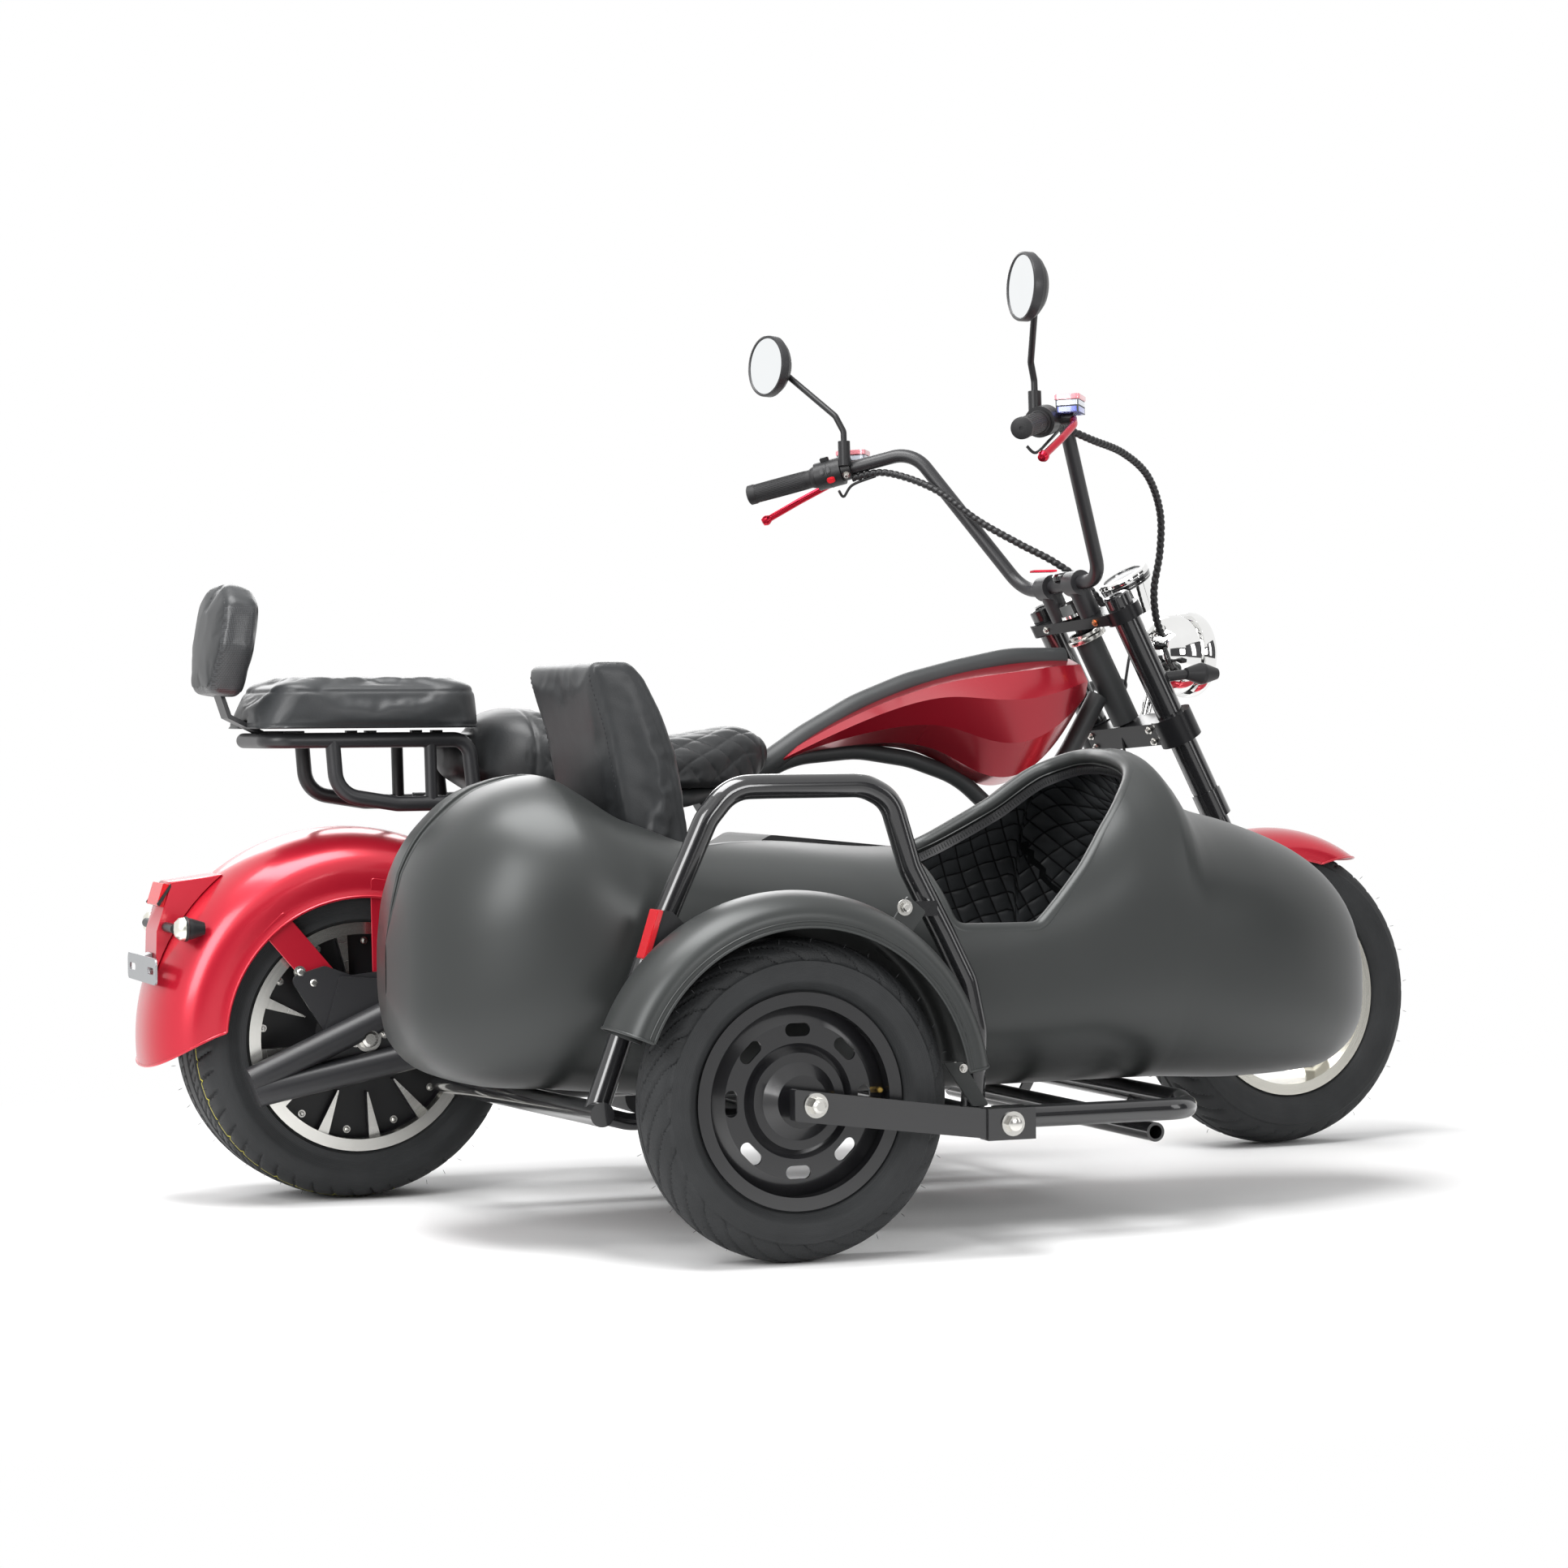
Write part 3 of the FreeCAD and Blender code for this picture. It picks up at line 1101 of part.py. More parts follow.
def headlamp_lens():
    """The headlamp's front glass, slightly domed."""
    x, z = HEADLAMP_C
    ball = Part.makeSphere(150, V(x + 34 - 150, 0, z))
    return ball.common(rod((x + 22 + FIT, 0, z), (x + 40, 0, z), HEADLAMP_R - 3))


def gauge_pod():
    """The round gauge in its bright cup, on a bracket ahead of the bar."""
    base = V(1320, 0, 872)
    way = unit(V(-0.5, 0, 0.87))
    cup = lathe([(0, 0), (26, 0), (39, 48), (42, 50), (42, 62), (0, 62)], tuple(base - way * 10),
                tuple(way))
    stay = rod(tuple(base - way * 6), tuple(on_steering(UPPER_CLAMP_Z + 2, 20, 0)), 8)
    whole = fuse([cup, stay]).cut(bridge(UPPER_CLAMP_Z, CLAMP_H, FIT))
    return max(whole.Solids, key=lambda solid: solid.Volume)


def front_turn_lamps():
    """Turn lamps on stems from the fork."""
    start = on_steering(742, LEG_AHEAD, LEG_Y)
    side = LEG_Y + 22
    stem = rod(tuple(start), (start.x + 58, side, start.z + 6), 8)
    lamp = lathe([(0, 0), (9, 0), (17, 26), (17, 32), (9, 58), (0, 58)],
                 (start.x + 46, side, start.z + 6), (1, 0, 0))
    way = STEER_UP * 120
    leg = Part.makeCylinder(LEG_R + FIT, 240, start - way, STEER_UP)
    return both_sides(fuse([stem, lamp]).cut(leg))


FRONT_FENDER_IN = FRONT_W / 2 + 8


def front_fender():
    """The front fender: a narrow arched shell with its bracket to the legs."""
    top, deep, t = 268.0, 214.0, 3.0
    half = FRONT_FENDER_IN + t
    outer = [(deep, half), (deep + 20, half), (top - 12, half * 0.7), (top, 0), (top - 12, -half * 0.7),
             (deep + 20, -half), (deep, -half)]
    inner = [(deep, -half + t), (deep + 19, -half + t), (top - 12 - t, -half * 0.68), (top - t, 0),
             (top - 12 - t, half * 0.68), (deep + 19, half - t), (deep, half - t)]
    shell = turned(outer + inner, FRONT_HUB, sweep=118.0, first=50.0)
    cut = plate([(WHEELBASE + 60, 400), (WHEELBASE + 60, 450), (WHEELBASE + 240, 462),
                 (WHEELBASE + 240, 300)], 300,
                "y", -150)
    shell = shell.cut(cut)
    pads = []
    for side in (-1, 1):
        spot = on_steering(FRONT_R + 200, LEG_AHEAD, side * LEG_Y)
        y0, y1 = sorted((side * (half - 1), side * (LEG_Y - SLIDER_R - FIT)))
        pads.append(Part.makeBox(26, y1 - y0, 30, V(spot.x - 13, y0, spot.z - 15)))
    return fuse([shell] + pads)


def front_axle():
    """The front axle with its nuts."""
    half = LEG_Y + SLIDER_R
    shaft = rod((WHEELBASE, -half - 10, FRONT_R), (WHEELBASE, half + 10, FRONT_R), AXLE_R)
    nuts = [rod((WHEELBASE, s * (half + FIT), FRONT_R), (WHEELBASE, s * (half + 9), FRONT_R),
                13) for s in (-1, 1)]
    return fuse([shaft] + nuts)


def front_caliper():
    """The front brake caliper on the left leg, astride the disc."""
    body = block(WHEELBASE - 108, WHEELBASE - 52, 44, 78, FRONT_R + 48, FRONT_R + 88)
    slot = turned([(0, 53), (116, 53), (116, 67), (0, 67)], FRONT_HUB)
    lug = block(WHEELBASE - 78, WHEELBASE - 54, 74, LEG_Y - SLIDER_R - FIT, FRONT_R + 62, FRONT_R + 86)
    return fuse([body, lug]).cut(slot)


CONDUIT_R = 5.5
CONDUIT_LEFT = [(972, 301, 1103), (1012, 260, 1108), (1060, 190, 1075), (1110, 140, 1020), (1160, 95, 978),
                (1205, 60, 945), (1252, 40, 905), (1300, 34, 850), (1340, 26, 818)]
CONDUIT_RIGHT = [(972, -301, 1103), (1024, -258, 1114), (1090, -240, 1100), (1170, -200, 1088),
                 (1240, -160, 1060),
                 (1288, -120, 1010), (1306, -90, 952), (1310, -64, 894), (1322, -48, 852), (1344, -30, 822)]


def conduits():
    """The two spiral-wrapped conduits from the switch housings down to the headlamp."""
    x, z = HEADLAMP_C
    bowl = Part.makeSphere(HEADLAMP_R + FIT, V(x - 12, 0, z))
    left, right = both_sides(pod(FIT))
    return [bent_tube(route, CONDUIT_R, 60).cut(bowl).cut(room)
            for route, room in ((CONDUIT_LEFT, left), (CONDUIT_RIGHT, right))]


# Stand

STAND_REACH = 124.0


def side_stand():
    """The side stand, folded back along the left rail."""
    x, y, z = STAND_X, STAND_Y, FLOOR_Z
    eye = rod((x, y - STAND_EYE / 2, z), (x, y + STAND_EYE / 2, z), 15)
    leg = rod((x - 8, y - 1, z), (x - STAND_REACH + 4, y + 22, z), 7)
    foot = block(x - STAND_REACH, x - STAND_REACH + 8, y + 8, y + 42, z - 14, z + 14)
    return fuse([eye, leg, foot]).cut(rod((x, y - 20, z), (x, y + 9, z), STAND_PIN_R + FIT))


def tyres_and_rims():
    """Each wheel's two nodes."""
    return {
        "rear_tyre": tyre(REAR_HUB, REAR_R, REAR_W, REAR_RIM_R, REAR_RIM_W),
        "rear_rim": rear_rim(),
        "front_tyre": park(tyre(FRONT_HUB, FRONT_R, FRONT_W, FRONT_RIM_R, FRONT_RIM_W)),
        "front_rim": park(front_rim()),
        "sidecar_tyre": tyre(SIDE_HUB, SIDE_R, SIDE_W, SIDE_RIM_R, SIDE_RIM_W),
        "sidecar_rim": sidecar_rim(),
    }


CHASSIS = [frame, tank, battery_case, footboards, swingarm, rear_shocks, rear_axle, saddle, rack, rack_pad,
           backrest_pad, rear_fender, tail_lamp, rear_turn_lamps, plate_bracket, tub, lining, sidecar_seat,
           sidecar_backrest, sidecar_frame, hoop, sidecar_fender, reflector, trailing_arm, side_stand]
STEERED = [fork_legs, fork_clamps, handlebar, grips, switchgear, levers, mirrors, headlamp, headlamp_lens,
           gauge_pod, front_turn_lamps, front_fender, front_axle, front_caliper, conduits]


def one_shape(made):
    """A node's solids in one shape."""
    return Part.Compound(made) if isinstance(made, list) else made


def main():
    """Build every piece, move it to the part's origin and write it."""
    os.makedirs("parts", exist_ok=True)
    nodes = {make.__name__: one_shape(make()) for make in CHASSIS}
    for make in STEERED:
        nodes[make.__name__] = park(one_shape(make()))
    nodes.update(tyres_and_rims())
    for name, shape in nodes.items():
        shape.translate(V(-BOX_MID_X, -BOX_MID_Y, 0))
        shape.exportStep("parts/%s.step" % name)


main()
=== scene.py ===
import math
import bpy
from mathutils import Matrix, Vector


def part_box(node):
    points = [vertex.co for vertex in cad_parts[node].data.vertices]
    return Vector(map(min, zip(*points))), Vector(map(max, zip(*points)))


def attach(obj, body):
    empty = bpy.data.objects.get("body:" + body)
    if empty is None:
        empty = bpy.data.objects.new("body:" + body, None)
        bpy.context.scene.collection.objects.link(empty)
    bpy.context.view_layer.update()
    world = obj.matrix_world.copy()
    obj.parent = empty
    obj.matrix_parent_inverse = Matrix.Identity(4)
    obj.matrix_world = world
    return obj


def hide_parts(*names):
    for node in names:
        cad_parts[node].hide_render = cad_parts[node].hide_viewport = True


bl_info = {
    "name": "Electric cruiser with sidecar",
    "version": (1, 0, 0),
    "blender": (4, 5, 0),
    "location": "3D View > Sidebar > Cruiser",
    "description": "Dresses the packed motorcycle and sidecar: paint, tyres, upholstery, lamps, fastenings",
    "category": "Object",
}

import bmesh
import bpy
import numpy as np
from mathutils import Matrix, Vector
from mathutils.bvhtree import BVHTree

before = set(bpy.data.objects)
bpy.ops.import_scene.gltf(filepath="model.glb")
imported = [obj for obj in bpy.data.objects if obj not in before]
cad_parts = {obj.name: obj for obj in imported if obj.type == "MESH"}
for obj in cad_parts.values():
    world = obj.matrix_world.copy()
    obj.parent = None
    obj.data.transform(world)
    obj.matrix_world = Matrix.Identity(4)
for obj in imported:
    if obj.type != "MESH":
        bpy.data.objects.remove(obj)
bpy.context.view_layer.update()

# Places are given in the drawing's millimetres: forward, left and up from the rear tyre's foot.
MM = 0.001
REAR_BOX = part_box("rear_tyre")
SHIFT = Vector(((REAR_BOX[0].x + REAR_BOX[1].x) / 2, (REAR_BOX[0].y + REAR_BOX[1].y) / 2, 0.0))
PHOTO_SIDE = 1932


def at(x, y, z):
    """A point of the drawing, in metres in the part's frame."""
    return Vector((x * MM, y * MM, z * MM)) + SHIFT


RAKE = math.radians(27.0)
STEER_UP = Vector((-math.sin(RAKE), 0.0, math.cos(RAKE)))
STEER_AHEAD = Vector((math.cos(RAKE), 0.0, math.sin(RAKE)))
STEER_FOOT = at(1640, 0, 0)
PARKED = (Matrix.Translation(STEER_UP * 0.001156) @ Matrix.Translation(STEER_FOOT)
          @ Matrix.Rotation(math.radians(7.16), 4, STEER_UP) @ Matrix.Translation(-STEER_FOOT))

BODY, STEERING = "chassis", "steering"
REAR_WHEEL, FRONT_WHEEL, SIDE_WHEEL = "rear_wheel", "front_wheel", "sidecar_wheel"


# Settings

COLOUR = {"subtype": "COLOR", "size": 3, "min": 0, "max": 1}


class CruiserPaint(bpy.types.PropertyGroup):
    """Colours of the painted, covered and bright parts."""

    red: bpy.props.FloatVectorProperty(name="Candy red", description="Paint of the tank and the two fenders",
                                       default=(0.50, 0.010, 0.028), **COLOUR)
    grey: bpy.props.FloatVectorProperty(name="Sidecar grey",
                                        description="Satin paint of the tub and its fender",
                                        default=(0.031, 0.0335, 0.033), **COLOUR)
    black: bpy.props.FloatVectorProperty(name="Tube black", description="Paint of the tubes and clamps",
                                         default=(0.009, 0.009, 0.010), **COLOUR)
    leather: bpy.props.FloatVectorProperty(name="Leather", description="Cover of the saddle, pads and seats",
                                           default=(0.016, 0.017, 0.018), **COLOUR)
    rubber: bpy.props.FloatVectorProperty(name="Rubber", description="Tyres, grips and footboards",
                                          default=(0.018, 0.019, 0.020), **COLOUR)
    bright: bpy.props.FloatVectorProperty(name="Bright metal", description="Rims, spoke faces and fastenings",
                                          default=(0.62, 0.61, 0.58), **COLOUR)


class CruiserUpholstery(bpy.types.PropertyGroup):
    """Sizes of the quilting, the stitching and the padding."""

    diamond: bpy.props.FloatProperty(name="Saddle diamond",
                                     description="Spacing of the saddle's quilting lines",
                                     unit="LENGTH", min=0.015, max=0.1, default=0.041)
    square: bpy.props.FloatProperty(name="Lining square",
                                    description="Spacing of the lining's quilting lines",
                                    unit="LENGTH", min=0.02, max=0.12, default=0.031)
    depth: bpy.props.FloatProperty(name="Channel depth", description="How deep the sewn channels lie",
                                   unit="LENGTH", min=0.0005, max=0.008, default=0.0032)
    voxel: bpy.props.FloatProperty(name="Pad mesh",
                                   description="Mesh size of the padded pieces before smoothing",
                                   unit="LENGTH", min=0.003, max=0.01, default=0.0055)
    pressure: bpy.props.FloatProperty(name="Stuffing pressure", description="Pressure that fills the covers",
                                      min=0, max=20, default=4.0)
    cap: bpy.props.FloatProperty(name="Swell", description="How far stuffing may push a cover out",
                                 unit="LENGTH", min=0.001, max=0.02, default=0.006)
    stitch: bpy.props.FloatProperty(name="Stitch pitch", description="Length of one stitch and its gap",
                                    unit="LENGTH", min=0.002, max=0.02, default=0.0062)


class CruiserWheels(bpy.types.PropertyGroup):
    """Sizes of the tread and the wheels' small parts."""

    groove: bpy.props.FloatProperty(name="Groove depth", description="Depth of the tread's grooves",
                                    unit="LENGTH", min=0.001, max=0.01, default=0.0042)
    slant: bpy.props.FloatProperty(name="Groove slant", description="How far a groove leans along the tread",
                                   subtype="ANGLE", min=0, max=1.2, default=0.16)
    steps: bpy.props.IntProperty(name="Steps round", description="Mesh steps round a tyre", min=120, max=720,
                                 default=400)
    rim_bolts: bpy.props.IntProperty(name="Rim bolts", description="Bolts round the rear rim", min=4, max=36,
                                     default=12)


class CruiserStage(bpy.types.PropertyGroup):
    """Light and floor of the studio."""

    floor: bpy.props.FloatProperty(name="Floor size", description="Side of the square floor", unit="LENGTH",
                                   min=5, max=200, default=60.0)
    key: bpy.props.FloatProperty(name="Key light", description="Power of the large lamp above", unit="POWER",
                                 min=0, max=2000, default=165.0)
    fill: bpy.props.FloatProperty(name="Fill light", description="Power of the lamps at the sides",
                                  unit="POWER", min=0, max=2000, default=60.0)
    sky: bpy.props.FloatProperty(name="Room light", description="Strength of the even light of the room",
                                 min=0, max=2, default=0.46)


def paint():
    """The colours in use."""
    return bpy.context.scene.cruiser_paint


# Shader building


class Graph:
    """A node tree with short ways to add and join nodes."""

    def __init__(self, tree):
        self.tree = tree

    def add(self, kind, **settings):
        """A node of the kind; what `inputs` names is set, or joined where it is a socket."""
        inputs = settings.pop("inputs", {})
        node = self.tree.nodes.new(kind)
        for key, value in settings.items():
            setattr(node, key, value)
        for key, value in inputs.items():
            self.put(node.inputs[key], value)
        return node

    def put(self, socket, value):
        """Join an output to the socket, or set its value."""
        if isinstance(value, bpy.types.NodeSocket):
            self.tree.links.new(value, socket)
        else:
            socket.default_value = value

    def math(self, operation, a, b=0.0):
        """One step of arithmetic."""
        return self.add("ShaderNodeMath", operation=operation, inputs={0: a, 1: b}).outputs[0]

    def noise(self, place, scale, **inputs):
        """A noise mask."""
        texture = self.add("ShaderNodeTexNoise", inputs={"Vector": place, "Scale": scale, **inputs})
        return texture.outputs["Fac"]

    def bump(self, height, strength, distance=0.0006):
        """A normal bent by a height."""
        return self.add("ShaderNodeBump", inputs={"Strength": strength, "Distance": distance,
                                                  "Height": height}).outputs[0]

    def fade(self, value, low, high, start=0.0, end=1.0):
        """A smooth change from start to end as the value goes from low to high."""
        node = self.add("ShaderNodeMapRange", interpolation_type="SMOOTHSTEP")
        for number, item in enumerate((value, low, high, start, end)):
            self.put(node.inputs[number], item)
        return node.outputs[0]

    def blend(self, share, first, second):
        """A colour between two others."""
        node = self.add("ShaderNodeMix", data_type="RGBA")
        self.put(node.inputs[0], share)
        self.put(node.inputs[6], first if isinstance(first, bpy.types.NodeSocket) else (*first[:3], 1))
        self.put(node.inputs[7], second if isinstance(second, bpy.types.NodeSocket) else (*second[:3], 1))
        return node.outputs[2]


def group(name, inputs, outputs):
    """A shader node group with named sockets, its graph and its two end nodes."""
    tree = bpy.data.node_groups.new(name, "ShaderNodeTree")
    for label, kind, value in inputs:
        socket = tree.interface.new_socket(name=label, in_out="INPUT", socket_type=kind)
        if value is not None:
            socket.default_value = value
    for label, kind in outputs:
        tree.interface.new_socket(name=label, in_out="OUTPUT", socket_type=kind)
    graph = Graph(tree)
    return graph, graph.add("NodeGroupInput"), graph.add("NodeGroupOutput")


FLOAT, VECTOR = "NodeSocketFloat", "NodeSocketVector"


def make_grain_group():
    """Fine grain: a soft bump and a slow change of shade."""
    g, start, end = group("Fine Grain",
                          [("Vector", VECTOR, None), ("Scale", FLOAT, 400.0), ("Depth", FLOAT, 0.1),
                           ("Drift", FLOAT, 3.0)], [("Normal", VECTOR), ("Shade", FLOAT)])
    place, scale, depth, drift = start.outputs[:4]
    g.put(end.inputs[0], g.bump(g.noise(place, scale, Detail=2.0), depth, 0.0004))
    g.put(end.inputs[1], g.noise(place, drift, Detail=3.0))


def make_leather_group():
    """Leather grain: small cells with soft edges over a little creasing."""
    g, start, end = group("Leather Grain",
                          [("Vector", VECTOR, None), ("Scale", FLOAT, 520.0), ("Depth", FLOAT, 0.25)],
                          [("Normal", VECTOR), ("Shade", FLOAT)])
    cells = g.add("ShaderNodeTexVoronoi", feature="SMOOTH_F1",
                  inputs={"Vector": start.outputs[0], "Scale": start.outputs[1], "Smoothness": 0.6})
    crease = g.noise(start.outputs[0], 38.0, Detail=5.0)
    height = g.math("ADD", g.math("MULTIPLY", cells.outputs["Distance"], 0.6),
                    g.math("MULTIPLY", crease, 0.9))
    g.put(end.inputs[0], g.bump(height, start.outputs[2]))
    g.put(end.inputs[1], crease)


def make_twill_group():
    """A twill weave: ribs that lean one way in one square and the other way in the next."""
    g, start, end = group("Twill Weave",
                          [("Vector", VECTOR, None), ("Pitch", FLOAT, 0.004), ("Depth", FLOAT, 0.4)],
                          [("Normal", VECTOR), ("Shade", FLOAT)])
    parts = g.add("ShaderNodeSeparateXYZ", inputs={"Vector": start.outputs[0]})
    across = g.math("ADD", parts.outputs[0], parts.outputs[1])
    turn = g.math("DIVIDE", math.tau, start.outputs[1])
    rising = g.math("ADD", across, parts.outputs[2])
    lean = g.math("SINE", g.math("MULTIPLY", rising, turn))
    back = g.math("SINE", g.math("MULTIPLY", g.math("SUBTRACT", across, parts.outputs[2]), turn))
    pick = g.math("GREATER_THAN", g.math("MULTIPLY", lean, back), 0.0)
    rib = g.math("ABSOLUTE", g.math("SINE", g.math("MULTIPLY", rising, g.math("MULTIPLY", turn, 1.5))))
    height = g.math("ADD", g.math("MULTIPLY", pick, 0.5), g.math("MULTIPLY", rib, 0.5))
    g.put(end.inputs[0], g.bump(height, start.outputs[2]))
    g.put(end.inputs[1], height)


def make_dust_group():
    """Handling marks: a patchy change of gloss, and dust that lies on what faces up."""
    g, start, end = group("Handling",
                          [("Vector", VECTOR, None), ("Scale", FLOAT, 9.0), ("Amount", FLOAT, 0.5)],
                          [("Gloss Shift", FLOAT), ("Dust", FLOAT)])
    patch = g.noise(start.outputs[0], start.outputs[1], Detail=6.0, Roughness=0.6)
    speck = g.noise(start.outputs[0], 900.0, Detail=1.0)
    facing = g.add("ShaderNodeSeparateXYZ",
                   inputs={"Vector": g.add("ShaderNodeNewGeometry").outputs["Normal"]})
    up = g.fade(facing.outputs[2], 0.5, 1.0)
    dots = g.fade(speck, 0.66, 0.74)
    g.put(end.inputs[0], g.math("MULTIPLY", g.math("SUBTRACT", patch, 0.5), start.outputs[2]))
    g.put(end.inputs[1], g.math("MULTIPLY", g.math("MULTIPLY", up, dots), start.outputs[2]))


def make_axle_group():
    """Where a point lies on a wheel: its distance from the axle line and its turn round it."""
    g, start, end = group("Wheel Place",
                          [("Vector", VECTOR, None), ("Centre", VECTOR, None), ("Axle", VECTOR, None)],
                          [("Radius", FLOAT), ("Side", FLOAT), ("Brushed", FLOAT)])
    offset = g.add("ShaderNodeVectorMath", operation="SUBTRACT",
                   inputs={0: start.outputs[0], 1: start.outputs[1]}).outputs[0]
    side = g.add("ShaderNodeVectorMath", operation="DOT_PRODUCT",
                 inputs={0: offset, 1: start.outputs[2]}).outputs[1]
    along = g.add("ShaderNodeVectorMath", operation="SCALE",
                  inputs={0: start.outputs[2], "Scale": side}).outputs[0]
    flat = g.add("ShaderNodeVectorMath", operation="SUBTRACT", inputs={0: offset, 1: along}).outputs[0]
    radius = g.add("ShaderNodeVectorMath", operation="LENGTH", inputs={0: flat}).outputs[1]
    line = g.add("ShaderNodeCombineXYZ", inputs={0: g.math("MULTIPLY", radius, 1400.0),
                                                 1: g.math("MULTIPLY", side, 1400.0), 2: 0.0})
    for socket, value in zip(end.inputs, (radius, side, g.noise(line.outputs[0], 1.0, Detail=2.0))):
        g.put(socket, value)


def use(graph, name, **inputs):
    """A shared effect placed in a material, with its own values."""
    node = graph.add("ShaderNodeGroup", node_tree=bpy.data.node_groups[name])
    for label, value in inputs.items():
        graph.put(node.inputs[label.replace("_", " ")], value)
    return node.outputs


FINISHES = {}


def finish(name, colour, rough, metal=0.0, coat=0.0, coat_rough=0.08, specular=0.5, through=0.0, ior=1.45):
    """A new material: its graph, its shader and the object's own coordinates."""
    made = bpy.data.materials.new(name)
    made.use_nodes = True
    made.node_tree.nodes.clear()
    graph = Graph(made.node_tree)
    shader = graph.add("ShaderNodeBsdfPrincipled")
    end = graph.add("ShaderNodeOutputMaterial")
    graph.put(end.inputs[0], shader.outputs[0])
    for label, value in (("Base Color", (*colour, 1)), ("Roughness", rough), ("Metallic", metal),
                         ("Coat Weight", coat), ("Coat Roughness", coat_rough),
                         ("Specular IOR Level", specular),
                         ("Transmission Weight", through), ("IOR", ior)):
        shader.inputs[label].default_value = value
    made.diffuse_color = (*colour, 1)
    FINISHES[name] = made
    place = graph.add("ShaderNodeTexCoord").outputs["Object"]
    return graph, shader.inputs, place


def shaded(graph, colour, share, spread):
    """A colour that grows a little lighter and darker with a mask."""
    low = [c * (1 - spread) for c in colour]
    high = [min(1.0, c * (1 + spread)) for c in colour]
    return graph.blend(share, low, high)


def painted(name, colour, rough, metal, coat, coat_rough, grain=0.03, spread=0.05, specular=0.5):
    """A paint finish with its grain, its patches of gloss and a little dust."""
    g, to, place = finish(name, colour, rough, metal, coat, coat_rough, specular)
    normal, shade = use(g, "Fine Grain", Vector=place, Scale=900.0, Depth=grain, Drift=4.0)[:2]
    shift, lying = use(g, "Handling", Vector=place, Scale=7.0, Amount=0.25)[:2]
    base = shaded(g, colour, shade, spread)
    g.put(to["Base Color"], g.blend(g.math("MULTIPLY", lying, 0.12), base, (0.45, 0.44, 0.42)))
    g.put(to["Roughness"], g.math("ADD", rough, g.math("MULTIPLY", shift, 0.22)))
    g.put(to["Normal"], normal)


def metal(name, colour, rough, grain=0.02, spread=0.06):
    """A bare or plated metal."""
    g, to, place = finish(name, colour, rough, 1.0)
    normal, shade = use(g, "Fine Grain", Vector=place, Scale=700.0, Depth=grain, Drift=30.0)[:2]
    shift = use(g, "Handling", Vector=place, Scale=16.0, Amount=0.6)[0]
    g.put(to["Base Color"], shaded(g, colour, shade, spread))
    g.put(to["Roughness"], g.math("ADD", rough, g.math("MULTIPLY", shift, rough * 0.8)))
    g.put(to["Normal"], normal)


def covered(name, colour, rough, depth=0.22):
    """Leather or leather-like cover."""
    g, to, place = finish(name, colour, rough, specular=0.45)
    normal, shade = use(g, "Leather Grain", Vector=place, Scale=520.0, Depth=depth)[:2]
    shift, lying = use(g, "Handling", Vector=place, Scale=11.0, Amount=0.5)[:2]
    base = shaded(g, colour, shade, 0.25)
    g.put(to["Base Color"], g.blend(g.math("MULTIPLY", lying, 0.05), base, (0.3, 0.3, 0.3)))
    g.put(to["Roughness"], g.math("ADD", rough, g.math("MULTIPLY", shift, 0.25)))
    g.put(to["Normal"], normal)


def moulded(name, colour, rough, grain=0.12):
    """Moulded plastic or rubber with a fine matt grain."""
    g, to, place = finish(name, colour, rough, specular=0.4)
    normal, shade = use(g, "Fine Grain", Vector=place, Scale=1300.0, Depth=grain, Drift=12.0)[:2]
    shift, lying = use(g, "Handling", Vector=place, Scale=14.0, Amount=0.4)[:2]
    base = shaded(g, colour, shade, 0.15)
    g.put(to["Base Color"], g.blend(g.math("MULTIPLY", lying, 0.08), base, (0.3, 0.29, 0.27)))
    g.put(to["Roughness"], g.math("ADD", rough, g.math("MULTIPLY", shift, 0.2)))
    g.put(to["Normal"], normal)


def clear(name, colour, rough, through=0.9):
    """Tinted or clear plastic and glass, with a faint moulded unevenness."""
    g, to, place = finish(name, colour, rough, through=through, ior=1.46)
    normal = use(g, "Fine Grain", Vector=place, Scale=60.0, Depth=0.03, Drift=8.0)[0]
    g.put(to["Normal"], normal)


def tyre_finish(name, hub, axle, ridge, crackle, line=None):
    """Tyre rubber: rings on the sidewall, crackle moulding on the tread, and a thin mark if it has one."""
    colour = tuple(paint().rubber)
    g, to, place = finish(name, colour, 0.62, specular=0.35)
    radius, side = use(g, "Wheel Place", Vector=place, Centre=tuple(hub), Axle=tuple(axle))[:2]
    rings = g.math("SINE", g.math("MULTIPLY", radius, math.tau / 0.0024))
    wall = g.math("MULTIPLY", g.math("MULTIPLY", rings, 0.25), g.fade(radius, ridge, ridge + 0.004, 1.0, 0.0))
    cells = g.add("ShaderNodeTexVoronoi", feature="DISTANCE_TO_EDGE",
                  inputs={"Vector": place, "Scale": 130.0})
    net = g.math("MULTIPLY", g.fade(cells.outputs["Distance"], 0.0, 0.12),
                 g.fade(radius, ridge, ridge + 0.004))
    height = g.math("ADD", g.math("ADD", wall, g.math("MULTIPLY", net, crackle)),
                    g.math("MULTIPLY", g.noise(place, 700.0, Detail=2.0), 0.5))
    g.put(to["Normal"], g.bump(height, 0.35))
    shift = use(g, "Handling", Vector=place, Scale=18.0, Amount=0.8)[0]
    tint = shaded(g, colour, g.noise(place, 22.0), 0.3)
    if line is not None:
        near = g.math("ABSOLUTE", g.math("SUBTRACT", side, line))
        tint = g.blend(g.fade(near, 0.0004, 0.0011, 1.0, 0.0), tint, (0.55, 0.50, 0.05))
    g.put(to["Base Color"], tint)
    g.put(to["Roughness"], g.math("ADD", 0.62, g.math("MULTIPLY", shift, 0.3)))


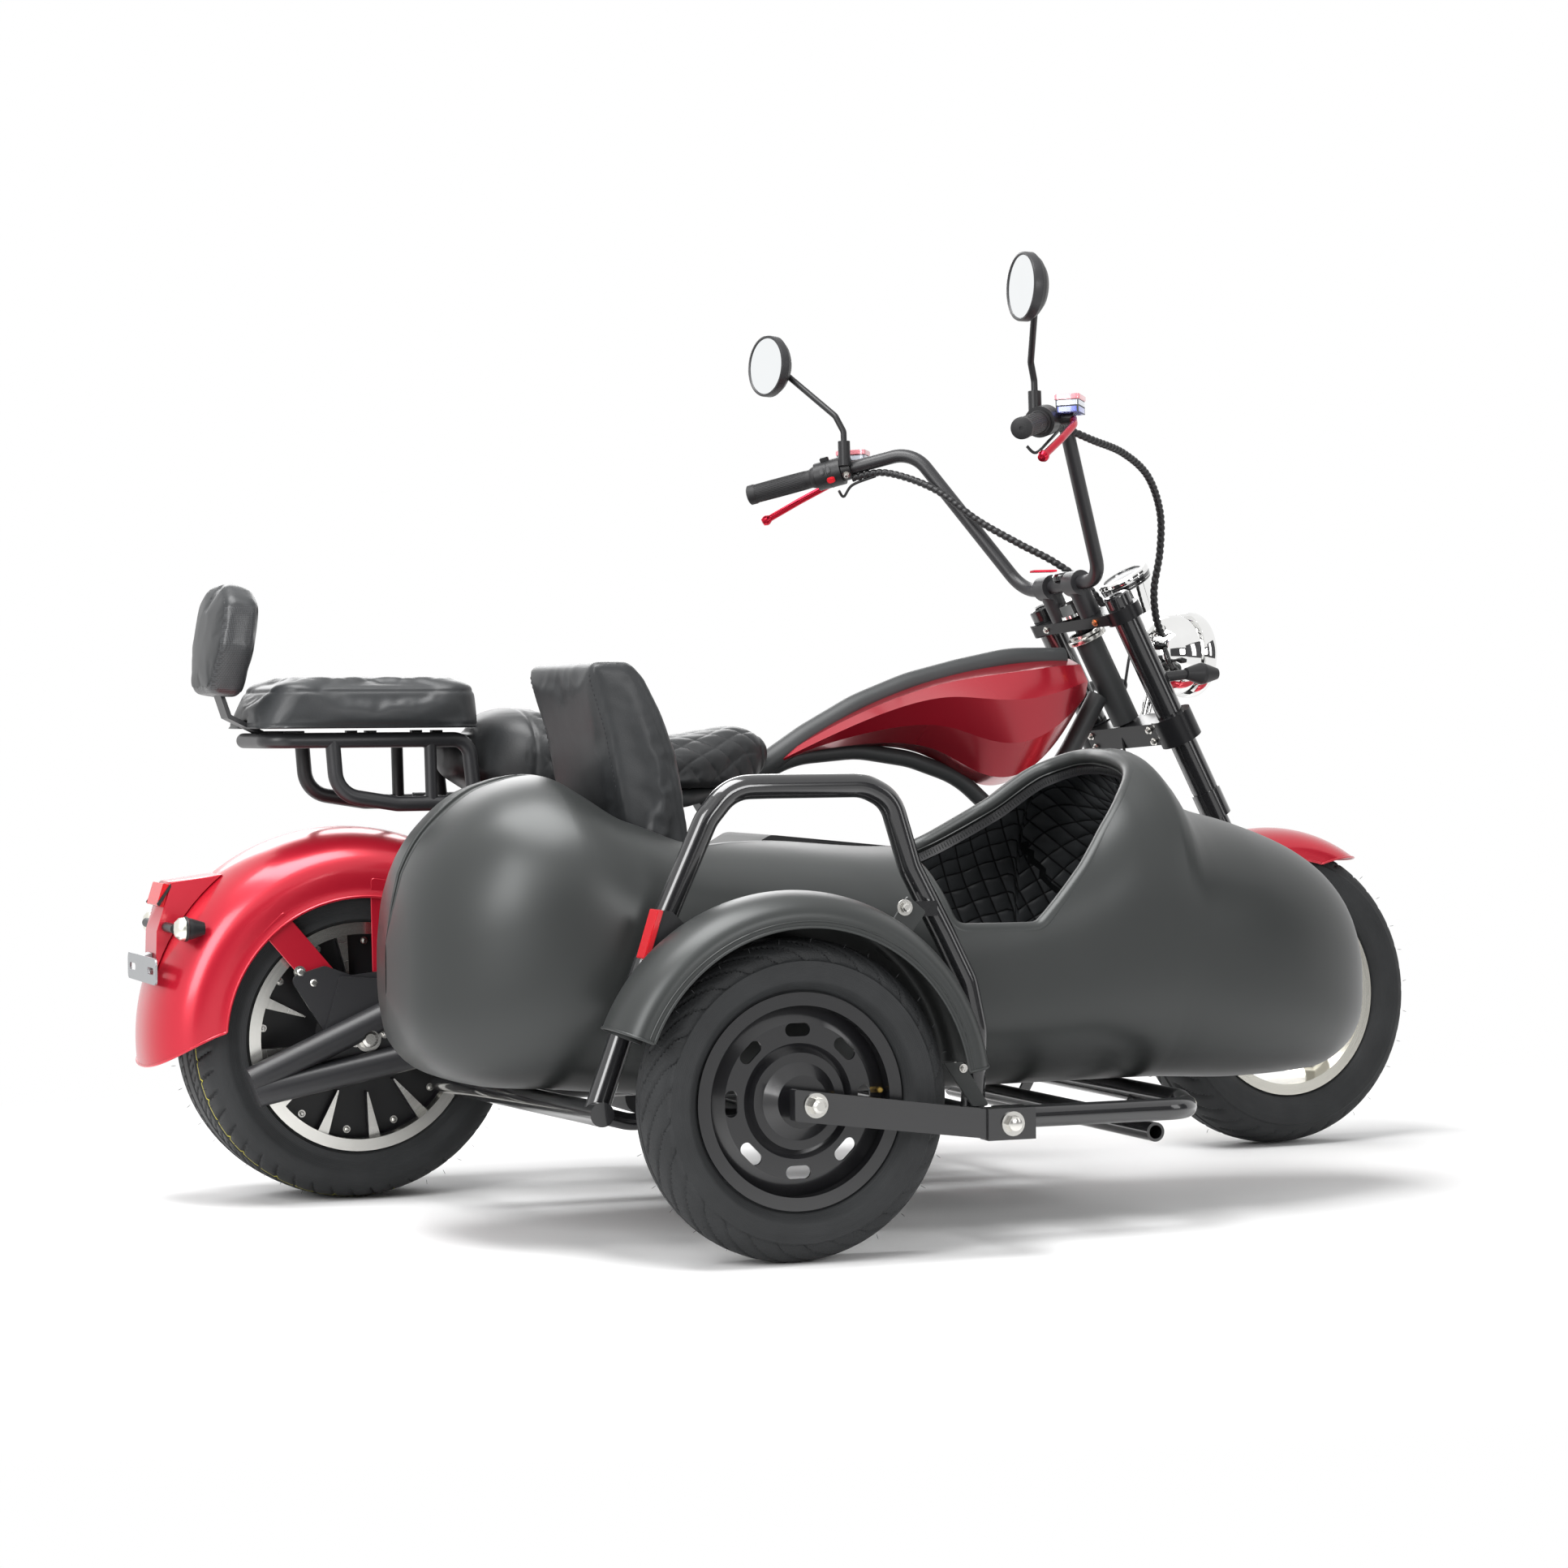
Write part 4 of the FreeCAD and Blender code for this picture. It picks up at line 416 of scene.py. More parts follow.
def wheel_finish(name, hub, axle, bands, bare, dark):
    """A wheel that is bright where a band of radius and side says so, and painted elsewhere."""
    g, to, place = finish(name, dark, 0.3, 0.0)
    radius, side, streak = use(g, "Wheel Place", Vector=place, Centre=tuple(hub), Axle=tuple(axle))[:3]
    reach = g.math("ABSOLUTE", side)
    total = None
    for low, high, inner in bands:
        here = g.math("MULTIPLY", g.math("GREATER_THAN", radius, low), g.math("LESS_THAN", radius, high))
        here = g.math("MULTIPLY", here, g.math("GREATER_THAN", reach, inner))
        total = here if total is None else g.math("MAXIMUM", total, here)
    polish = shaded(g, bare, streak, 0.16)
    g.put(to["Base Color"], g.blend(total, dark, polish))
    g.put(to["Metallic"], total)
    worn = g.math("ADD", g.math("MULTIPLY", streak, 0.16), 0.16)
    mixer = g.add("ShaderNodeMix", data_type="FLOAT", inputs={0: total, 2: 0.34, 3: worn})
    g.put(to["Roughness"], mixer.outputs[0])
    normal = use(g, "Fine Grain", Vector=place, Scale=800.0, Depth=0.04, Drift=6.0)[0]
    g.put(to["Normal"], normal)


HUBS = {REAR_WHEEL: at(0, 0, 239), FRONT_WHEEL: PARKED @ at(1550, 0, 244), SIDE_WHEEL: at(347, -913, 208)}
AXLES = {REAR_WHEEL: Vector((0, 1, 0)), FRONT_WHEEL: (PARKED.to_3x3() @ Vector((0, 1, 0))).normalized(),
         SIDE_WHEEL: Vector((0, 1, 0))}


def make_finishes():
    """Every finish of the vehicle."""
    for build in (make_grain_group, make_leather_group, make_twill_group, make_quilt_group, make_dust_group,
                  make_axle_group):
        build()
    colours = paint()
    red, grey, black = tuple(colours.red), tuple(colours.grey), tuple(colours.black)
    leather, bright = tuple(colours.leather), tuple(colours.bright)
    painted("candy_red", red, 0.30, 0.45, 0.6, 0.16, spread=0.10)
    # Painted shade: the tank has the fenders' candy red, made darker to stand in for the shade that falls on
    # it.
    painted("tank_red_shaded", tuple(c * 0.72 for c in red), 0.26, 0.6, 0.7, 0.12, spread=0.08)
    painted("sidecar_satin", grey, 0.40, 0.35, 0.12, 0.30, grain=0.05, spread=0.08)
    painted("sidecar_trim", tuple(c * 0.8 for c in grey), 0.36, 0.3, 0.2, 0.3, grain=0.05)
    painted("gloss_black", black, 0.22, 0.0, 1.0, 0.05)
    painted("clamp_black", black, 0.30, 0.0, 0.12, 0.2, specular=0.22)
    painted("satin_black", tuple(c * 1.9 for c in black), 0.42, 0.0, 0.15, 0.3, grain=0.08)
    painted("spine_grey", (0.030, 0.032, 0.033), 0.50, 0.1, 0.05, 0.4, grain=0.10)
    painted("case_black", (0.012, 0.012, 0.013), 0.55, 0.0, 0.0, 0.4, grain=0.2)
    painted("plate_grey", (0.30, 0.31, 0.32), 0.35, 0.6, 0.1, 0.3)
    painted("anodised_red", (0.52, 0.012, 0.035), 0.24, 0.85, 0.1, 0.2, spread=0.08)
    metal("chrome", (0.86, 0.86, 0.85), 0.045, grain=0.004)
    metal("zinc", bright, 0.26, grain=0.05)
    metal("brushed_ring", (0.80, 0.78, 0.70), 0.28, grain=0.05)
    metal("copper_coil", (0.72, 0.30, 0.14), 0.3)
    metal("brass", (0.78, 0.52, 0.14), 0.28)
    metal("mirror_glass", (0.90, 0.92, 0.93), 0.02, grain=0.0, spread=0.01)
    covered("saddle_leather", leather, 0.44)
    covered("seat_leather", tuple(c * 1.5 for c in leather), 0.40, 0.16)
    moulded("black_plastic", (0.014, 0.014, 0.015), 0.40, 0.08)
    moulded("grip_rubber", (0.012, 0.012, 0.013), 0.55, 0.3)
    moulded("board_rubber", (0.014, 0.014, 0.014), 0.6, 0.3)
    moulded("thread", (0.03, 0.031, 0.033), 0.7, 0.2)
    moulded("red_button", (0.62, 0.02, 0.03), 0.3, 0.03)
    moulded("gauge_face", (0.02, 0.022, 0.025), 0.3, 0.02)
    clear("lamp_glass", (0.97, 0.98, 0.98), 0.03, 0.95)
    clear("red_lens", (0.75, 0.012, 0.02), 0.10, 0.35)
    painted("pink_cap", (0.78, 0.27, 0.31), 0.14, 0.0, 1.0, 0.05)
    painted("cup_clear", (0.60, 0.64, 0.72), 0.12, 0.0, 1.0, 0.05)
    painted("blue_fluid", (0.16, 0.20, 0.66), 0.16, 0.0, 1.0, 0.05)
    painted("red_gloss", (0.55, 0.012, 0.02), 0.14, 0.0, 1.0, 0.06)
    make_twill_finish(leather)
    make_lining_finish(leather)
    tyre_finish("rear_rubber", HUBS[REAR_WHEEL], AXLES[REAR_WHEEL], 0.222, 0.1, line=-0.064)
    tyre_finish("front_rubber", HUBS[FRONT_WHEEL], AXLES[FRONT_WHEEL], 0.226, 0.1)
    tyre_finish("side_rubber", HUBS[SIDE_WHEEL], AXLES[SIDE_WHEEL], 0.176, 0.9)
    wheel_finish("rear_wheel_metal", HUBS[REAR_WHEEL], AXLES[REAR_WHEEL],
                 [(0.150, 0.175, 0.084), (0.078, 0.152, 0.0815)], (0.80, 0.79, 0.75), (0.010, 0.010, 0.011))
    wheel_finish("front_wheel_metal", HUBS[FRONT_WHEEL], AXLES[FRONT_WHEEL],
                 [(0.146, 0.175, 0.0), (0.034, 0.111, 0.0575)], (0.86, 0.84, 0.76), (0.40, 0.39, 0.36))
    painted("side_wheel_black", (0.007, 0.007, 0.008), 0.24, 0.0, 0.5, 0.12, grain=0.06)


def make_quilt_group():
    """Rows of sewn pillows on a piece's own cells: a normal and a mask that is 0 in the channels."""
    g, start, end = group("Quilt Rows", [("Cells", VECTOR, None), ("Depth", FLOAT, 0.004)],
                          [("Normal", VECTOR), ("Pillow", FLOAT)])
    parts = g.add("ShaderNodeSeparateXYZ", inputs={"Vector": start.outputs[0]})
    first, second = (g.math("ABSOLUTE", g.math("SINE", g.math("MULTIPLY", part, math.pi)))
                     for part in parts.outputs[:2])
    height = g.math("MULTIPLY", g.math("POWER", first, 0.45), g.math("POWER", second, 0.45))
    g.put(end.inputs[0], g.bump(height, 1.0, start.outputs[1]))
    g.put(end.inputs[1], g.math("MULTIPLY", g.fade(first, 0.02, 0.25), g.fade(second, 0.02, 0.3)))


def make_lining_finish(colour):
    """Quilted cover of the lining: painted shade makes it dark in the sewn channels, and it is lighter on the
    pillows.
    """
    g, to, place = finish("lining_cloth", colour, 0.40, specular=0.6)
    shade = use(g, "Leather Grain", Vector=place, Scale=420.0, Depth=0.25)[1]
    cells = g.add("ShaderNodeAttribute", attribute_name="quilt").outputs["Vector"]
    normal, pillow = use(g, "Quilt Rows", Cells=cells, Depth=0.0045)[:2]
    soft = g.blend(shade, tuple(c * 3.6 for c in colour), tuple(c * 5.2 for c in colour))
    # Painted shade: the colour drops to a third in the sewn channels, where shade falls between the pillows.
    g.put(to["Base Color"], g.blend(pillow, tuple(c * 0.3 for c in colour), soft))
    g.put(to["Roughness"], g.fade(pillow, 0.0, 1.0, 0.7, 0.36))
    g.put(to["Normal"], normal)


def make_twill_finish(colour):
    """Carbon-look twill for the side panels of the backrest pad."""
    g, to, place = finish("twill_panel", colour, 0.34, coat=0.25, coat_rough=0.2)
    normal, shade = use(g, "Twill Weave", Vector=place, Pitch=0.0062, Depth=0.5)[:2]
    g.put(to["Base Color"], g.blend(shade, (0.010, 0.010, 0.011), (0.045, 0.047, 0.05)))
    g.put(to["Roughness"], g.math("ADD", 0.28, g.math("MULTIPLY", shade, 0.2)))
    g.put(to["Normal"], normal)


# Mesh building

# Edges that fold by more degrees than this are shown sharp.
SHARP = 38.0


class Solid:
    """Vertices and faces of one piece, gathered from simple runs, each with its material's number."""

    def __init__(self):
        self.vertices = []
        self.faces = []
        self.slots = []
        self.values = []

    def add(self, vertices, faces):
        """Take in more vertices and the faces between them."""
        base = len(self.vertices)
        self.vertices += [Vector(v) for v in vertices]
        self.faces += [[base + i for i in face] for face in faces]
        self.slots += [0] * len(faces)
        return self

    def sweep(self, path, section, closed=False, lift=Vector((0, 0, 1))):
        """Carry a closed section of (side, up) pairs along a path."""
        return self.skin(carried_sections(path, section, closed, lift), closed)

    def skin(self, rings, closed):
        """Faces between rings of vertices, with caps where the run is open."""
        count, size = len(rings), len(rings[0])
        faces = []
        for i in range(count if closed else count - 1):
            k = (i + 1) % count
            for j in range(size):
                m = (j + 1) % size
                faces.append((i * size + j, i * size + m, k * size + m, k * size + j))
        if not closed:
            faces.append(tuple(reversed(range(size))))
            faces.append(tuple((count - 1) * size + j for j in range(size)))
        return self.add([v for ring in rings for v in ring], faces)

    def spin(self, profile, foot, way, steps=48):
        """A round body from (radius, height) pairs in millimetres, along `way` from `foot`."""
        side, up, way = cross_directions(way)
        rings = []
        for i in range(steps):
            turn = math.tau * i / steps
            out = side * math.cos(turn) + up * math.sin(turn)
            rings.append([foot + way * (h * MM) + out * (r * MM) for r, h in profile])
        size = len(profile)
        faces = []
        for i in range(steps):
            k = (i + 1) % steps
            for j in range(size - 1):
                faces.append((i * size + j, k * size + j, k * size + j + 1, i * size + j + 1))
        return self.add([v for ring in rings for v in ring], faces)

    def prism(self, outline, push):
        """A flat outline of points carried along a vector."""
        size = len(outline)
        low = [Vector(p) for p in outline]
        high = [p + Vector(push) for p in low]
        faces = [tuple(range(size)), tuple(reversed(range(size, 2 * size)))]
        faces += [(j, (j + 1) % size, size + (j + 1) % size, size + j) for j in range(size)]
        return self.add(low + high, faces)

    def make(self, name, materials, body, parked=False, bevel=0.0, angle=38.0, segments=2):
        """The finished piece, smooth apart from its sharp edges, riding on its body."""
        mesh = bpy.data.meshes.new(name)
        points = [PARKED @ v for v in self.vertices] if parked else self.vertices
        mesh.from_pydata([tuple(v) for v in points], [], self.faces)
        if self.values:
            mesh.attributes.new("quilt", "FLOAT_VECTOR", "POINT").data.foreach_set("vector", self.values)
        names = [materials] if isinstance(materials, str) else materials
        for label in names:
            mesh.materials.append(FINISHES[label])
        for face, slot in zip(mesh.polygons, self.slots):
            face.material_index = slot
        work = bmesh.new()
        work.from_mesh(mesh)
        bmesh.ops.remove_doubles(work, verts=work.verts, dist=1e-6)
        bmesh.ops.dissolve_degenerate(work, edges=work.edges, dist=1e-7)
        bmesh.ops.recalc_face_normals(work, faces=work.faces)
        if bevel:
            sharp = [e for e in work.edges if len(e.link_faces) == 2
                     and e.calc_face_angle(0) > math.radians(angle)]
            bmesh.ops.bevel(work, geom=sharp, offset=bevel, segments=segments, affect="EDGES",
                            clamp_overlap=True)
        work.to_mesh(mesh)
        work.free()
        mesh.shade_smooth()
        mesh.set_sharp_from_angle(angle=math.radians(SHARP))
        made = bpy.data.objects.new(name, mesh)
        bpy.context.scene.collection.objects.link(made)
        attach(made, body)
        return made


def cross_directions(way):
    """Two directions across `way`, and `way` itself, one long."""
    way = Vector(way).normalized()
    helper = Vector((0, 0, 1)) if abs(way.z) < 0.9 else Vector((1, 0, 0))
    side = helper.cross(way).normalized()
    return side, way.cross(side).normalized(), way


def heading(path, i, closed):
    """The direction of a path at one of its points."""
    count = len(path)
    before = path[(i - 1) % count] if closed or i > 0 else path[i]
    after = path[(i + 1) % count] if closed or i < count - 1 else path[i]
    return (after - before).normalized()


def carried_sections(path, section, closed, lift):
    """The section carried along a path with the least twist."""
    rings = []
    up = Vector(lift)
    for i in range(len(path)):
        way = heading(path, i, closed)
        up = up - way * up.dot(way)
        up = up.normalized() if up.length > 1e-5 else cross_directions(way)[1]
        side = way.cross(up).normalized()
        rings.append([path[i] + side * u + up * v for u, v in section])
    return rings


def circle(radius, steps=12):
    """A round section."""
    return [(radius * math.cos(math.tau * i / steps),
             radius * math.sin(math.tau * i / steps)) for i in range(steps)]


def smooth_path(points, count):
    """Evenly spaced points on a smooth line through the given ones."""
    points = [Vector(p) for p in points]
    last = len(points) - 1
    dense = []
    for i in range(last):
        p0, p1, p2, p3 = points[max(i - 1, 0)], points[i], points[i + 1], points[min(i + 2, last)]
        for k in range(24):
            t = k / 24
            dense.append(0.5 * ((2 * p1) + (p2 - p0) * t + (2 * p0 - 5 * p1 + 4 * p2 - p3) * t * t
                                + (3 * p1 - p0 - 3 * p2 + p3) * t ** 3))
    return even_path(dense + [points[-1]], count)


def even_path(dense, count):
    """Evenly spaced points along straight runs."""
    array = np.array([tuple(p) for p in dense])
    run = np.concatenate([[0], np.cumsum(np.linalg.norm(np.diff(array, axis=0), axis=1))])
    return [Vector([float(np.interp(s, run, array[:, k])) for k in range(3)])
            for s in np.linspace(0, run[-1], count)]


def length_of(line):
    """The length of a line of points."""
    return sum((b - a).length for a, b in zip(line, line[1:]))


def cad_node(node):
    """The object that shows a CAD node."""
    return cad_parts[node]


def plain_copy(node):
    """A joined-up copy of a CAD node's mesh."""
    work = bmesh.new()
    work.from_mesh(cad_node(node).data)
    bmesh.ops.remove_doubles(work, verts=work.verts, dist=2e-5)
    mesh = bpy.data.meshes.new(node + "_copy")
    work.to_mesh(mesh)
    work.free()
    return mesh


def evaluated(made):
    """The object's mesh with its modifiers worked in."""
    graph = bpy.context.evaluated_depsgraph_get()
    return bpy.data.meshes.new_from_object(made.evaluated_get(graph))


def baked(made):
    """Put the result of the object's modifiers in its mesh and take them off."""
    result = evaluated(made)
    made.modifiers.clear()
    made.data = result
    return made


def dress(node, *labels):
    """Give a CAD node its finish."""
    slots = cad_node(node).data.materials
    slots.clear()
    for label in labels:
        slots.append(FINISHES[label])


# Repeated parts made with Geometry Nodes


def nodes_tree(name, sockets):
    """A geometry tree with a geometry input, named sizes and a geometry output."""
    tree = bpy.data.node_groups.new(name, "GeometryNodeTree")
    tree.interface.new_socket(name="Geometry", in_out="INPUT", socket_type="NodeSocketGeometry")
    for label, kind, value in sockets:
        socket = tree.interface.new_socket(name=label, in_out="INPUT", socket_type=kind)
        if value is not None:
            socket.default_value = value
    tree.interface.new_socket(name="Geometry", in_out="OUTPUT", socket_type="NodeSocketGeometry")
    graph = Graph(tree)
    return graph, graph.add("NodeGroupInput"), graph.add("NodeGroupOutput")


def set_out(g, end, points, shape, turn, label, **more):
    """Put a turned shape at every point, as plain mesh with its finish."""
    place = g.add("GeometryNodeInstanceOnPoints",
                  inputs={"Points": points, "Instance": shape.outputs[0], "Rotation": turn.outputs[0],
                          **more})
    real = g.add("GeometryNodeRealizeInstances", inputs={0: place.outputs[0]})
    coated = g.add("GeometryNodeSetMaterial", inputs={"Geometry": real.outputs[0], "Material": label})
    g.put(end.inputs[0], coated.outputs[0])


def make_bolt_tree():
    """Hexagon heads on washers, one at each point, facing along the point's `aim`."""
    g, start, end = nodes_tree("Bolt Set",
                               [("Across", FLOAT, 0.010), ("Head", FLOAT, 0.005), ("Washer", FLOAT, 0.008),
                                ("Washer Thickness", FLOAT, 0.0014), ("Socket", FLOAT, 0.002),
                                ("Finish", "NodeSocketMaterial", None)])
    geometry, across, head, washer, thick, socket, finish_in = start.outputs[:7]
    disc = g.add("GeometryNodeMeshCylinder", inputs={"Vertices": 20, "Radius": washer, "Depth": thick})
    hexagon = g.add("GeometryNodeMeshCone",
                    inputs={"Vertices": 6, "Radius Bottom": g.math("MULTIPLY", across, 0.577),
                            "Radius Top": g.math("MULTIPLY", across, 0.555), "Depth": head})
    crown = g.add("GeometryNodeMeshCone",
                  inputs={"Vertices": 12, "Radius Bottom": g.math("MULTIPLY", across, 0.46),
                          "Radius Top": socket, "Depth": g.math("MULTIPLY", head, 0.22)})
    joined = g.add("GeometryNodeJoinGeometry")
    for shape, height in ((disc, g.math("MULTIPLY", thick, 0.5)), (hexagon, thick),
                          (crown, g.math("ADD", thick, head))):
        up = g.add("ShaderNodeCombineXYZ", inputs={2: height})
        moved = g.add("GeometryNodeTransform",
                      inputs={"Geometry": shape.outputs[0], "Translation": up.outputs[0]})
        g.tree.links.new(moved.outputs[0], joined.inputs[0])
    aim = g.add("GeometryNodeInputNamedAttribute", data_type="FLOAT_VECTOR", inputs={0: "aim"})
    turn = g.add("FunctionNodeAlignRotationToVector", axis="Z", inputs={"Vector": aim.outputs[0]})
    set_out(g, end, geometry, joined, turn, finish_in)


def make_peg_tree():
    """One small rounded peg at each point, its length along `aim` and its flat side up along `up`."""
    g, start, end = nodes_tree("Peg Set",
                               [("Width", FLOAT, 0.002), ("Rise", FLOAT, 0.001), ("Length", FLOAT, 0.004),
                                ("Finish", "NodeSocketMaterial", None)])
    geometry, width, rise, length, finish_in = start.outputs[:5]
    size = g.add("ShaderNodeCombineXYZ", inputs={0: width, 1: rise, 2: length})
    peg = g.add("GeometryNodeMeshUVSphere", inputs={"Segments": 8, "Rings": 5, "Radius": 0.5})
    aim = g.add("GeometryNodeInputNamedAttribute", data_type="FLOAT_VECTOR", inputs={0: "aim"})
    up = g.add("GeometryNodeInputNamedAttribute", data_type="FLOAT_VECTOR", inputs={0: "up"})
    turn = g.add("FunctionNodeAlignRotationToVector", axis="Z", inputs={"Vector": aim.outputs[0]})
    roll = g.add("FunctionNodeAlignRotationToVector", axis="Y", pivot_axis="Z",
                 inputs={"Rotation": turn.outputs[0], "Vector": up.outputs[0]})
    set_out(g, end, geometry, peg, roll, finish_in, Scale=size.outputs[0])


def run_tree(name, tree_name, mesh, values, body, sharp=38.0):
    """Work a tree out on a mesh of points or lines and keep the plain result as a piece."""
    holder = bpy.data.objects.new(name, mesh)
    bpy.context.scene.collection.objects.link(holder)
    worker = holder.modifiers.new("Nodes", "NODES")
    worker.node_group = bpy.data.node_groups[tree_name]
    for item in worker.node_group.interface.items_tree:
        if item.in_out == "INPUT" and item.name in values:
            worker[item.identifier] = values[item.name]
    bpy.context.view_layer.update()
    baked(holder)
    holder.data.shade_smooth()
    holder.data.set_sharp_from_angle(angle=math.radians(sharp))
    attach(holder, body)
    return holder


def bolts(name, places, across, body, finish_name="zinc", head=None, washer=None, parked=False):
    """Bolt heads at (point, direction) places, all of one size."""
    mesh = bpy.data.meshes.new(name)
    spots = [PARKED @ p if parked else p for p, _ in places]
    mesh.from_pydata([tuple(p) for p in spots], [], [])
    aim = mesh.attributes.new("aim", "FLOAT_VECTOR", "POINT")
    turn = PARKED.to_3x3() if parked else Matrix.Identity(3)
    for i, (_, way) in enumerate(places):
        aim.data[i].vector = (turn @ Vector(way)).normalized()
    values = {"Across": across, "Head": head or across * 0.45, "Washer": washer or across * 0.82,
              "Washer Thickness": across * 0.12, "Socket": across * 0.3, "Finish": FINISHES[finish_name]}
    return run_tree(name, "Bolt Set", mesh, values, body, 30.0)


def pegs(name, spots, size, body, finish_name, parked=False):
    """Small pegs at (point, direction along, direction up) spots; size is (across, up, along)."""
    turn = PARKED.to_3x3() if parked else Matrix.Identity(3)
    mesh = bpy.data.meshes.new(name)
    mesh.from_pydata([tuple(PARKED @ p if parked else p) for p, _, _ in spots], [], [])
    for label, number in (("aim", 1), ("up", 2)):
        store = mesh.attributes.new(label, "FLOAT_VECTOR", "POINT")
        for i, spot in enumerate(spots):
            store.data[i].vector = (turn @ Vector(spot[number])).normalized()
    values = {"Width": size[0] * 2, "Rise": size[1] * 2, "Length": size[2], "Finish": FINISHES[finish_name]}
    return run_tree(name, "Peg Set", mesh, values, body, 80.0)


# Stage


def photo_camera():
    """The camera of the photograph: place, direction, lens and shift."""
    yaw, pitch, roll = 0.3761, -0.0261, -0.0069
    focal, centre_x, centre_y = 4536.243, 960.554, 1006.272
    ahead = Vector((math.sin(yaw) * math.cos(pitch), math.cos(yaw) * math.cos(pitch), math.sin(pitch)))
    side = Vector((math.cos(yaw), -math.sin(yaw), 0.0))
    up = side.cross(ahead)
    c, s = math.cos(roll), math.sin(roll)
    right, above = side * c + up * s, up * c - side * s
    lens = bpy.data.cameras.new("photo_view")
    lens.sensor_width = 36.0
    lens.lens = 36.0 * focal / PHOTO_SIDE
    lens.shift_x = (PHOTO_SIDE / 2 - centre_x) / PHOTO_SIDE
    lens.shift_y = (centre_y - PHOTO_SIDE / 2) / PHOTO_SIDE
    lens.clip_start, lens.clip_end = 0.1, 400.0
    view = bpy.data.objects.new("photo_view", lens)
    bpy.context.scene.collection.objects.link(view)
    turn = Matrix((right, above, -ahead)).transposed().to_4x4()
    view.matrix_world = Matrix.Translation(at(-1389.855, -5274.829, 692.31)) @ turn
    bpy.context.scene.camera = view


def seen_rays(graph):
    """Whether a ray shows the background itself: a camera, glossy or transmitted one."""
    path = graph.add("ShaderNodeLightPath").outputs
    return graph.math("MAXIMUM", path["Is Camera Ray"],
                      graph.math("MAXIMUM", path["Is Glossy Ray"], path["Is Transmission Ray"]))


def studio_world(strength):
    """An even pale room that shows white."""
    world = bpy.data.worlds.new("studio_room")
    world.use_nodes = True
    world.node_tree.nodes.clear()
    g = Graph(world.node_tree)
    seen = seen_rays(g)
    mixer = g.add("ShaderNodeMix", data_type="FLOAT", inputs={0: seen, 2: strength, 3: 1.0})
    room = g.add("ShaderNodeBackground", inputs={"Color": (1, 1, 1, 1), "Strength": mixer.outputs[0]})
    g.add("ShaderNodeOutputWorld", inputs={0: room.outputs[0]})
    bpy.context.scene.world = world


def studio_floor(size):
    """A pale floor that keeps the shadow near the vehicle and runs out to white."""
    made = bpy.data.materials.new("floor_white")
    made.use_nodes = True
    made.node_tree.nodes.clear()
    g = Graph(made.node_tree)
    place = g.add("ShaderNodeTexCoord").outputs["Object"]
    far = g.add("ShaderNodeVectorMath", operation="LENGTH",
                inputs={0: g.add("ShaderNodeVectorMath", operation="MULTIPLY",
                                 inputs={0: place, 1: (0.72, 0.9, 1.0)}).outputs[0]}).outputs[1]
    cover = g.math("MULTIPLY", g.fade(far, 0.75, 1.75), seen_rays(g))
    base = g.add("ShaderNodeBsdfPrincipled", inputs={"Base Color": (0.93, 0.93, 0.93, 1), "Roughness": 0.85})
    speck = use(g, "Fine Grain", Vector=place, Scale=300.0, Depth=0.02, Drift=2.0)[0]
    g.put(base.inputs["Normal"], speck)
    white = g.add("ShaderNodeEmission", inputs={"Color": (1, 1, 1, 1), "Strength": 1.0})
    mix = g.add("ShaderNodeMixShader", inputs={0: cover, 1: base.outputs[0], 2: white.outputs[0]})
    g.add("ShaderNodeOutputMaterial", inputs={0: mix.outputs[0]})
    half = size / 2
    mesh = bpy.data.meshes.new("floor")
    corners = [(-half, -half, 0), (half, -half, 0), (half, half, 0), (-half, half, 0)]
    mesh.from_pydata(corners, [], [(0, 1, 2, 3)])
    mesh.materials.append(made)
    ground = bpy.data.objects.new("floor", mesh)
    bpy.context.scene.collection.objects.link(ground)


def looking(place, target):
    """The placing of something that stands at `place` and looks at `target`."""
    turn = (Vector(target) - Vector(place)).to_track_quat("-Z", "Y").to_matrix().to_4x4()
    return Matrix.Translation(place) @ turn


def soft_lamp(name, place, target, width, height, power):
    """A large soft lamp that looks at a point."""
    data = bpy.data.lights.new(name, "AREA")
    data.shape = "RECTANGLE"
    data.size, data.size_y, data.energy = width, height, power
    lamp = bpy.data.objects.new(name, data)
    bpy.context.scene.collection.objects.link(lamp)
    lamp.matrix_world = looking(place, target)


def dark_card(name, place, target, width, height):
    """A dark screen beside the camera that only bright metal and gloss show, as in a studio."""
    made = bpy.data.materials.get("card_dark") or bpy.data.materials.new("card_dark")
    made.use_nodes = True
    made.node_tree.nodes["Principled BSDF"].inputs["Base Color"].default_value = (0.10, 0.10, 0.105, 1)
    made.node_tree.nodes["Principled BSDF"].inputs["Roughness"].default_value = 1.0
    mesh = bpy.data.meshes.new(name)
    x, y = width / 2, height / 2
    corners = [looking(place, target) @ Vector(corner)
               for corner in ((-x, -y, 0), (x, -y, 0), (x, y, 0), (-x, y, 0))]
    mesh.from_pydata(corners, [], [(0, 1, 2, 3)])
    mesh.materials.append(made)
    card = bpy.data.objects.new(name, mesh)
    bpy.context.scene.collection.objects.link(card)
    card.visible_camera = card.visible_shadow = card.visible_diffuse = card.visible_transmission = False


